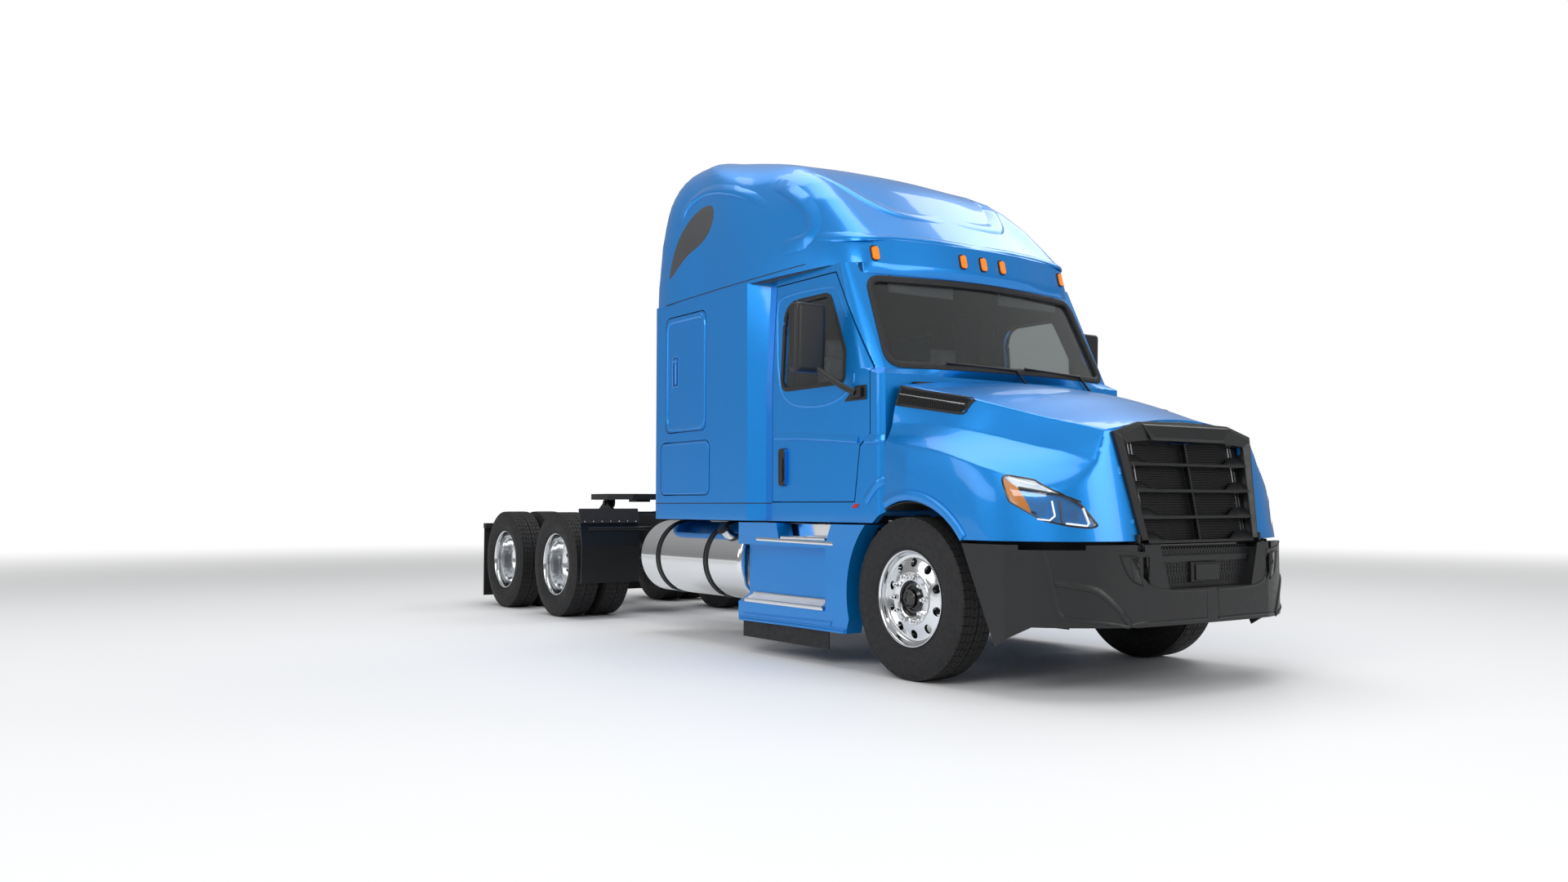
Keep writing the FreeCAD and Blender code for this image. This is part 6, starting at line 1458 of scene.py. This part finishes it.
# The handle's base and grip: low and high corner, corner radius, then from and to across
handle = (((-1.462, 1.228), (-1.378, 1.500), 0.036, 1.146, 1.176),
          ((-1.446, 1.262), (-1.394, 1.430), 0.022, 1.174, 1.186))


def makeDoors():
    tree = surfaceOf("door_right")
    lines = {name: inPhoto("door", points) for name, points in doorLines.items()}
    photoTrim("door_crease", tree, lines["crease"], creaseSection, paint, "door_side", angle=60)
    photoTrim("cowl_crease", surfaceOf("cab_shell"), lines["cowl"], creaseSection, paint, "root", angle=60,
              step=2.0)
    photoTrim("door_recess", tree, lines["recess"], recessSection, paint, "door_side", angle=60)
    for side, word in sides:
        bm = bmesh.new()
        for low, high, radius, y0, y1 in handle:
            sidePrism(bm, rectangle(low, high, radius), side, y0, y1)
        bevelled(piece("door_handle_" + word, bm, blackPlastic, "door_" + word, 30), 0.005, 3, 50)
    print("doors done")


makeDoors()


# Roof: its seam, the pressed ridges, the lamp rims and the brow over the windscreen

# Each ridge's line in the photo, its width and its height
roofRidges = {
    "roof_ridge": ([(560, 78), (640, 120), (740, 180), (845, 230), (970, 255), (1100, 270), (1200, 285)],
                   0.17, 0.016),
    "roof_side_edge": ([(400, 130), (450, 152), (500, 190), (535, 235), (548, 280), (535, 312), (500, 332),
                        (430, 352)], 0.13, 0.020),
    "roof_arch": ([(60, 260), (80, 215), (115, 178), (155, 156), (205, 148), (265, 156), (320, 175),
                   (372, 208)], 0.090, 0.016),
    "roof_brow": ([(545, 322), (650, 322), (850, 322), (1000, 338), (1100, 352), (1250, 380)], 0.090, 0.010)}
markers = {"across": (-0.909, -0.191, 0.0, 0.191, 0.909), "half": 0.025, "low": 2.776, "high": 2.880,
           "radius": 0.022}
brow = {"count": 50, "step": 0.0206, "roofAt": 2.765, "shellAt": 2.688, "most": 0.032, "taper": 7,
        "proud": 0.010, "sink": 0.003}


def makeRoofTrim():
    tree = surfaceOf("roof_cap", "roof_windows")
    for name, (path, width, height) in roofRidges.items():
        photoTrim(name, tree, inPhoto("roof", path), stepSection(width, height), paint, "root", angle=70,
                  step=4.0, fade=9)
    seam = inPhoto("roof", [(2, 577), (200, 514), (430, 447), (520, 422)])
    photoTrim("roof_seam", surfaceOf("roof_cap", "cab_shell"), seam, flatSection(0.007, 0.0015), blackRubber,
              "root", step=4.0)
    roof, shell = surfaceOf("roof_cap"), surfaceOf("cab_shell")
    for k, y in enumerate(markers["across"]):
        half = markers["half"]
        loop = rectangle((y - half, markers["low"]), (y + half, markers["high"]), markers["radius"])
        trimPiece("lamp_rim_%d" % k, [frontHits(roof, loop)], flatSection(0.008, 0.010, sink=0.004), True,
                  blackRubber, "root")
    b = brow
    rings = []
    for k in range(-b["count"], b["count"] + 1):
        y = k * b["step"]
        high, low = (frontHits(*at)[0][0].x for at in ((roof, [(y, b["roofAt"])]),
                                                       (shell, [(y, b["shellAt"])])))
        high = max(high, low - b["most"])
        proud = min(1.0, (b["count"] - abs(k)) / b["taper"]) * b["proud"] - b["sink"]
        levels = ((high + proud * 0.3, 2.764), (high + proud * 0.6, 2.752),
                  (high * 0.62 + low * 0.38 + proud, 2.728), (high * 0.25 + low * 0.75 + proud, 2.705),
                  (low + proud * 0.5, 2.688), (low - 0.012, 2.688), (high - 0.020, 2.764))
        rings.append([(x, y, z) for x, z in levels])
    bm = bmesh.new()
    for ring in loftRings(bm, rings)[:2]:
        bm.faces.new(ring)
    piece("brow_panel", bm, paint, "root", 50)
    print("roof done")


makeRoofTrim()


# Sleeper side: skirt seam, hatch latches and the red reflectors

skirt = {"z": 1.105, "from": -3.335, "to": -1.575, "steps": 60}
latch = {"middle": (-2.935, 2.190), "half": (0.050, 0.125), "radius": 0.014}
# The latch's lever and its cross, from its middle
latchLines = ([(0.0, -0.105), (0.0, 0.0), (0.0, 0.070)], [(-0.036, 0.090), (0.0, 0.090), (0.036, 0.090)])
lowerHatch = ((-3.168, 1.188), (-2.407, 1.588), 0.055)
reflector = [(-0.612, 1.072), (-0.560, 1.072), (-0.532, 1.100), (-0.584, 1.100)]


def makeSides():
    tree = surfaceOf("cab_shell")
    run = (skirt["to"] - skirt["from"]) / skirt["steps"]
    seam = [(skirt["from"] + run * k, skirt["z"]) for k in range(skirt["steps"] + 1)]
    (x, z), (wide, tall) = latch["middle"], latch["half"]
    for side, word in sides:
        sideTrim("skirt_seam_" + word, tree, seam, side, flatSection(0.007, 0.0015), False, blackRubber,
                 "root")
        body = "hatch_upper_" + word
        hatch = surfaceOf(body)
        loop = rectangle((x - wide, z - tall), (x + wide, z + tall), latch["radius"])
        hits = facing(sideHits(hatch, loop, side), side)
        trimPiece("latch_frame_" + word, [hits], flatSection(0.010, 0.004), True, paint, body)
        # A darker blue patch inside the latch frame: painted shade in the latch's recess
        platePiece("latch_recess_" + word, hits, -0.0015, 0.003, recessShadePaint, body)
        bars = [sideHits(hatch, [(x + a, z + b) for a, b in line], side) for line in latchLines]
        trimPiece("latch_lever_" + word, bars, flatSection(0.026, 0.008), False, paint, body)
        lower = "hatch_lower_" + word
        sideTrim("hatch_lower_edge_" + word, surfaceOf(lower), resampled(rectangle(*lowerHatch), 0.02, True),
                 side, flatSection(0.012, 0.003), True, paint, lower)
        # The red reflector takes the red lamp lens material, so it glows slightly: a painted glow on a part
        # that is no lamp
        platePiece("side_reflector_" + word, sideHits(tree, reflector, side), -0.005, 0.007, redLens, "root")
    print("sides done")


makeSides()


# Steps: perforated treads with bright bars, and ridges on the fairing

stepping = {"lower": (1.122, 1.188), "lowerZ": (0.4285, 0.3925), "along": (-1.868, -0.905),
            "toothPitch": 0.0225, "rows": 4, "rowShare": 4.4, "start": 0.012, "inset": 0.006, "sink": 0.001,
            "upper": (-1.380, 1.088, 0.8640), "upperCount": 23}
toothProfile = [(0.0045, 0.0), (0.0078, 0.0), (0.0066, 0.0034), (0.0050, 0.0034)]
# Each bar: across, height, from and to along X, and radius
stepBars = ((1.112, 0.4365, -1.876, -0.895, 0.0075), (1.1895, 0.3935, -1.876, -0.895, 0.0085),
            (1.1880, 0.8620, -1.395, -0.870, 0.0085))
# Each ridge of the fairing in the photo, and its width
stepRidges = {"step_ridge1": ([(152, 1068), (600, 1125), (1048, 1188)], 0.022),
              "step_ridge2": ([(178, 1050), (620, 1105), (1062, 1168)], 0.014),
              "step_ridge3": ([(215, 1022), (560, 1062), (900, 1098), (940, 1112), (925, 1128)], 0.012)}


def toothRows(place, count, rowStep):
    bm = bmesh.new()
    revolve(bm, toothProfile, 12)
    tooth = meshOf(bm, 30)
    tooth.transform(Matrix.Rotation(math.radians(90), 4, "X"))
    return repeated(rowRepeater, tooth, polished, Matrix.Translation(place), Count=count,
                    Rows=stepping["rows"], Step=(stepping["toothPitch"], 0, 0), Row_Step=rowStep)


def makeSteps():
    s = stepping
    rise, run = s["lowerZ"][1] - s["lowerZ"][0], s["lower"][1] - s["lower"][0]
    count = int((s["along"][1] - s["along"][0]) / s["toothPitch"])
    for side, word in sides:
        lower = toothRows((s["along"][0] + datum + s["start"], side * (s["lower"][0] + s["inset"]),
                           s["lowerZ"][0] - s["sink"]), count, (0, side * run / s["rowShare"],
                                                                rise / s["rowShare"]))
        x, y, z = s["upper"]
        upper = toothRows((x + datum, side * y, z), s["upperCount"], (0, side * s["toothPitch"], 0))
        bm = bmesh.new()
        for y, z, a, b, r in stepBars:
            tube(bm, [(a + datum, side * y, z), (b + datum, side * y, z)], r, 14)
        bars = meshOf(bm, 40)
        bars.materials.append(polished)
        placed(addObject("tread_grip_" + word, mergedMesh([lower, upper, bars])), polished, "root")
    tree = surfaceOf("step_fairings")
    for name, (path, width) in stepRidges.items():
        photoTrim(name, tree, inPhoto("steps", path), flatSection(width, 0.007), paint, "root")
    bar = inPhoto("steps", [(318, 408), (640, 429), (955, 450)])
    photoTrim("step_bar", surfaceOf("step_fairings", "step_treads"), bar, flatSection(0.024, 0.006), polished,
              "root")
    print("steps done")


makeSteps()


# Tanks and rear end: filler caps, strap edges, strip and rivets on the fenders

# Each disc of the filler cap: its radius, then from and to along its axis
fillerDiscs = ((0.047, 0.0, 0.030), (0.043, 0.030, 0.040), (0.036, -0.012, 0.0))
filler = {"place": (-2.290, 1.118, 0.899), "slant": -45, "grips": 12, "grip": 0.005, "gripFrom": 0.001,
          "gripTo": 0.029}
strap = {"x": (-3.2969, -2.5146), "edges": (0.004, 0.046), "half": 0.004, "radii": (0.3115, 0.3150),
         "axis": (0.868, 0.655), "turns": (-62, 178, 4)}
fender = {"low": (-4.7115, 0, 0.915), "high": (-4.7565, 0, 1.052), "across": (0.602, 1.218), "thick": 0.012,
          "firstRivet": 0.640, "pitch": 0.090, "rivets": 7, "rivet": 0.008, "rivetUp": 0.014}


def makeRear():
    for side, word in sides:
        bm = bmesh.new()
        for radius, low, high in fillerDiscs:
            disc(bm, radius, low, high, 24)
        edge = fillerDiscs[0][0]
        for k in range(filler["grips"]):
            angle = 2 * math.pi * k / filler["grips"]
            place = Matrix.Translation((edge * math.cos(angle), edge * math.sin(angle), 0))
            disc(bm, filler["grip"], filler["gripFrom"], filler["gripTo"], 8, place)
        cap = meshOf(bm, 30)
        x, y, z = filler["place"]
        cap.transform(Matrix.Translation((x + datum, side * y, z))
                      @ Matrix.Rotation(math.radians(filler["slant"] * side), 4, "X"))
        placed(addObject("filler_cap_" + word, cap), blackPlastic, "root")
        bm = bmesh.new()
        (inner, outer), half, (y, z) = strap["radii"], strap["half"], strap["axis"]
        corners = ((-half, inner), (half, inner), (half, outer), (-half, outer))
        for x in [x + edge + datum for x in strap["x"] for edge in strap["edges"]]:
            loftRings(bm, [[(x + dx, side * (y + r * math.cos(turn)), z + r * math.sin(turn))
                            for dx, r in corners] for turn in map(math.radians, range(*strap["turns"]))])
        piece("strap_edges_" + word, bm, blackRubber, "root", 30)
        low, high = Vector(fender["low"]), Vector(fender["high"])
        lean = (high - low).normalized()
        out = Vector((lean.z, 0, -lean.x)) * fender["thick"]
        bm = bmesh.new()
        capped(bm, [[Vector((datum, side * y, 0)) + p for p in (low, low + out, high + out, high)]
                    for y in fender["across"]])
        piece("fender_strip_" + word, bm, blackRubber, "root")
        bm = bmesh.new()
        bmesh.ops.create_uvsphere(bm, u_segments=10, v_segments=6, radius=fender["rivet"])
        start = Vector((datum, side * fender["firstRivet"], 0)) + low + lean * fender["rivetUp"] + out
        rivets = repeated(rowRepeater, meshOf(bm), castAlloy, Matrix.Translation(start),
                          Count=fender["rivets"], Rows=1, Step=(0, side * fender["pitch"], 0),
                          Row_Step=(0, 0, 0))
        placed(addObject("fender_rivets_" + word, rivets), castAlloy, "root", "iron")
    print("rear done")


makeRear()


# Cab inside: seats, bunk, visors and curtains

# Each pad: its size, its middle and its lean in degrees
seatPads = {"seat_cushion": ((0.50, 0.50, 0.15), (-1.320, 0, 1.565), 0),
            "seat_back": ((0.62, 0.48, 0.13), (-1.560, 0, 1.920), 98),
            "seat_head": ((0.17, 0.28, 0.10), (-1.585, 0, 2.270), 98)}
inside = {"seatAcross": 0.520, "posts": (-0.055, 0.055), "postRadius": 0.007}
visor = ((-0.640, -0.30, 2.560), (-0.625, 0.30, 2.680), 0.006)
curtain = {"x": -1.680, "from": 1.020, "run": -0.300, "steps": 120, "folds": 22, "depth": 0.018,
           "slow": 0.006, "heights": (1.30, 1.70, 2.10, 2.50, 2.68), "tall": 1.380}


def cushionMesh(size, pinch=0.16, crown=0.5, cuts=10):
    # A crowned closed pad round zero, its sides drawn in between its corners
    bm = bmesh.new()
    bmesh.ops.create_cube(bm, size=2.0)
    bmesh.ops.subdivide_edges(bm, edges=bm.edges[:], cuts=cuts, use_grid_fill=True)
    for v in bm.verts:
        x, y, z = v.co
        drawn = [1 - pinch * (1 - a * a) * 0.5 for a in (x, y)]
        rise = (1 - abs(x) ** 4) * (1 - abs(y) ** 4)
        a, b, c = (abs(value) ** 6 for value in (x, y, z))
        soft = 1 - 0.10 * (a * b + b * c + a * c)
        v.co = Vector((x * size[0] / 2 * drawn[1] * soft, y * size[1] / 2 * drawn[0] * soft,
                       z * size[2] / 2 * (1 - crown + crown * rise) * soft))
    return meshOf(bm, 60)


def padPiece(name, size, spot, lean, material, replaced=()):
    mesh = cushionMesh(size)
    place = Matrix.Translation((spot[0] + datum, spot[1], spot[2]))
    mesh.transform(place @ Matrix.Rotation(math.radians(lean), 4, "Y"))
    pad = placed(addObject(name, mesh), material, "root", replaced=replaced)
    step = pad.modifiers.new("soft", "SUBSURF")
    step.levels = step.render_levels = 1


def makeCurtain(side, word):
    c = curtain
    rings = []
    for k in range(c["steps"] + 1):
        t = k / c["steps"]
        x = c["x"] + c["depth"] * math.sin(t * math.pi * c["folds"]) + c["slow"] * math.sin(t * 9.0)
        y = side * (c["from"] + c["run"] * t)
        rings.append([Vector((x + datum + 0.004 * math.sin(z * 7 + t * 5), y, z)) for z in c["heights"]])
    bm = bmesh.new()
    loftRings(bm, rings, closedRing=False)
    sheet = piece("curtain_" + word, bm, curtainCloth, "root", 80)


def makeInside():
    for side, word in sides:
        y = side * inside["seatAcross"]
        for name, (size, spot, lean) in seatPads.items():
            replaced = ["seats"] if name == "seat_cushion" and side < 0 else ()
            padPiece(name + "_" + word, size, (spot[0], y, spot[2]), lean, seatCloth, replaced)
        bm = bmesh.new()
        for offset in inside["posts"]:
            ends = [(-1.578 + datum, y + offset, 2.150), (-1.585 + datum, y + offset, 2.240)]
            tube(bm, ends, inside["postRadius"], 10)
        piece("seat_posts_" + word, bm, castAlloy, "root", 40)
        low, high, edge = visor
        bm = bmesh.new()
        boxAt(bm, (low[0], y + low[1], low[2]), (high[0], y + high[1], high[2]), datum)
        bmesh.ops.bevel(bm, geom=bm.edges[:], offset=edge, segments=2, affect="EDGES")
        piece("visor_" + word, bm, greyTrim, "root", 30)
        makeCurtain(side, word)
    padPiece("bunk_mattress", (0.76, 2.14, 0.15), (-2.890, 0, 1.690), 0, bunkCloth, ["bunk"])
    padPiece("bunk_pillow", (0.34, 0.56, 0.13), (-2.900, -0.720, 1.815), 0, seatCloth, ())
    print("inside done")


makeInside()


# Bumper: folds, the mouth's lip, tow slots and seams

# Each line in the photo in up to two cuts, its section and its material
bumperLines = {"bumper_corner": ([(1070, 180), (1100, 270), (1135, 400), (1160, 510), (1178, 585),
                                  (1192, 615), (1215, 635), (1260, 645), (1300, 650), (1430, 662),
                                  (1560, 678)], [(60, 773), (120, 780), (190, 790)],
                                 flatSection(0.020, 0.008, 0.4), blackPlastic),
               "bumper_fold": ([(1160, 428), (1230, 436), (1290, 445), (1380, 463), (1415, 475), (1450, 498),
                                (1500, 540), (1560, 600)], [(150, 725), (192, 778)],
                               stepSection(0.050, 0.010), blackPlastic),
               "bumper_step": ([(580, 146), (820, 162), (1070, 180), (1320, 197), (1480, 209)],
                               [(60, 315), (215, 330), (312, 341)], flatSection(0.010, 0.003), blackRubber),
               "bumper_lip": ([], [(298, 352), (303, 420), (312, 475), (326, 515), (350, 545), (385, 558),
                                   (430, 564), (500, 566), (590, 563), (671, 558)],
                              flatSection(0.014, 0.004, 0.4), blackPlastic),
               "bumper_foot": ([], [(205, 782), (260, 768), (400, 757), (540, 746), (671, 736)],
                               flatSection(0.016, 0.004, 0.4), blackPlastic),
               "bumper_seam": ([], [(668, 566), (668, 650), (668, 732)], flatSection(0.006, 0.0015),
                               blackRubber)}
towRim = [(135, 352), (232, 356), (272, 538), (215, 510), (180, 465), (155, 410)]
# Outline of the gloss black plate that paints the shade inside the tow slot's opening
towSlotShade = [(190, 366), (230, 366), (268, 530), (222, 508), (205, 440)]


def makeBumper():
    tree = surfaceOf("bumper")
    for name, (corner, front, section, material) in bumperLines.items():
        photoTrim(name, tree, inPhoto("corner", corner) + inPhoto("front", front), section, material, "root")
    rim = inPhoto("front", towRim)
    photoTrim("tow_rim", tree, rim, flatSection(0.009, 0.006), blackPlastic, "root", True, curved=False)
    photoPlate("tow_recess", tree, rim, -0.0015, 0.003, blackPlastic, "root")
    # The tow slot is not cut: a gloss black plate on the bumper paints the shade of its opening
    photoPlate("tow_slot", tree, inPhoto("front", towSlotShade), -0.003, 0.004, glossBlack, "root")
    print("bumper done")


makeBumper()


# Cab lining: the shell's inward faces again, in grey

lining = {"middle": (-1.75, 0, 1.95), "foot": 1.08, "facing": 0.2, "wall": 0.22, "off": 0.003}


def makeLining():
    x, y, z = lining["middle"]
    middle = Vector((x + datum, y, z))
    for name in ("cab_shell", "roof_cap", "door_right", "door_left"):
        tree = surfaceOf(name)
        bm = bmesh.new()
        bm.from_mesh(nodes[name].data)
        bm.normal_update()
        outer = []
        for face in bm.faces:
            centre = face.calc_center_median()
            turned = (middle - centre).normalized().dot(face.normal)
            if (turned <= lining["facing"] or centre.z <= lining["foot"]
                or tree.ray_cast(centre + face.normal * 0.002, face.normal, lining["wall"])[0] is not None):
                outer.append(face)
        bmesh.ops.delete(bm, geom=outer, context="FACES")
        bmesh.ops.remove_doubles(bm, verts=bm.verts, dist=0.0002)
        bm.normal_update()
        for v in bm.verts:
            v.co += v.normal * lining["off"]
        mesh = bpy.data.meshes.new(name + "_lining")
        bm.to_mesh(mesh)
        bm.free()
        body = name if name.startswith("door") else "root"
        placed(addObject(name + "_lining", mesh), greyTrim, body)
    print("lining done")


makeLining()


# Soft shading on the roof's thin bands

def softened(node, reach, degrees):
    # Merge a CAD node's corners and shade its shallow edges smooth, as a modifier
    group, start, end = newGroup("softened")
    plain = addNode(group, "GeometryNodeRemoveAttribute",
                    {"Geometry": start.outputs[0], "Name": "custom_normal"})
    merged = addNode(group, "GeometryNodeMergeByDistance", {"Geometry": plain.outputs[0], "Distance": reach})
    faces = addNode(group, "GeometryNodeSetShadeSmooth", {"Geometry": merged.outputs[0]})
    angle = addNode(group, "GeometryNodeInputMeshEdgeAngle").outputs[0]
    shallow = addNode(group, "FunctionNodeCompare", {0: angle, 1: math.radians(degrees)},
                      operation="LESS_THAN")
    edges = addNode(group, "GeometryNodeSetShadeSmooth", {"Geometry": faces.outputs[0],
                                                          "Shade Smooth": shallow.outputs[0]}, domain="EDGE")
    group.links.new(edges.outputs[0], end.inputs[0])
    nodes[node].modifiers.new("softened", "NODES").node_group = group


softened("roof_cap", 0.0002, 32)
print("roof shading done")

setStage()
setCamera()
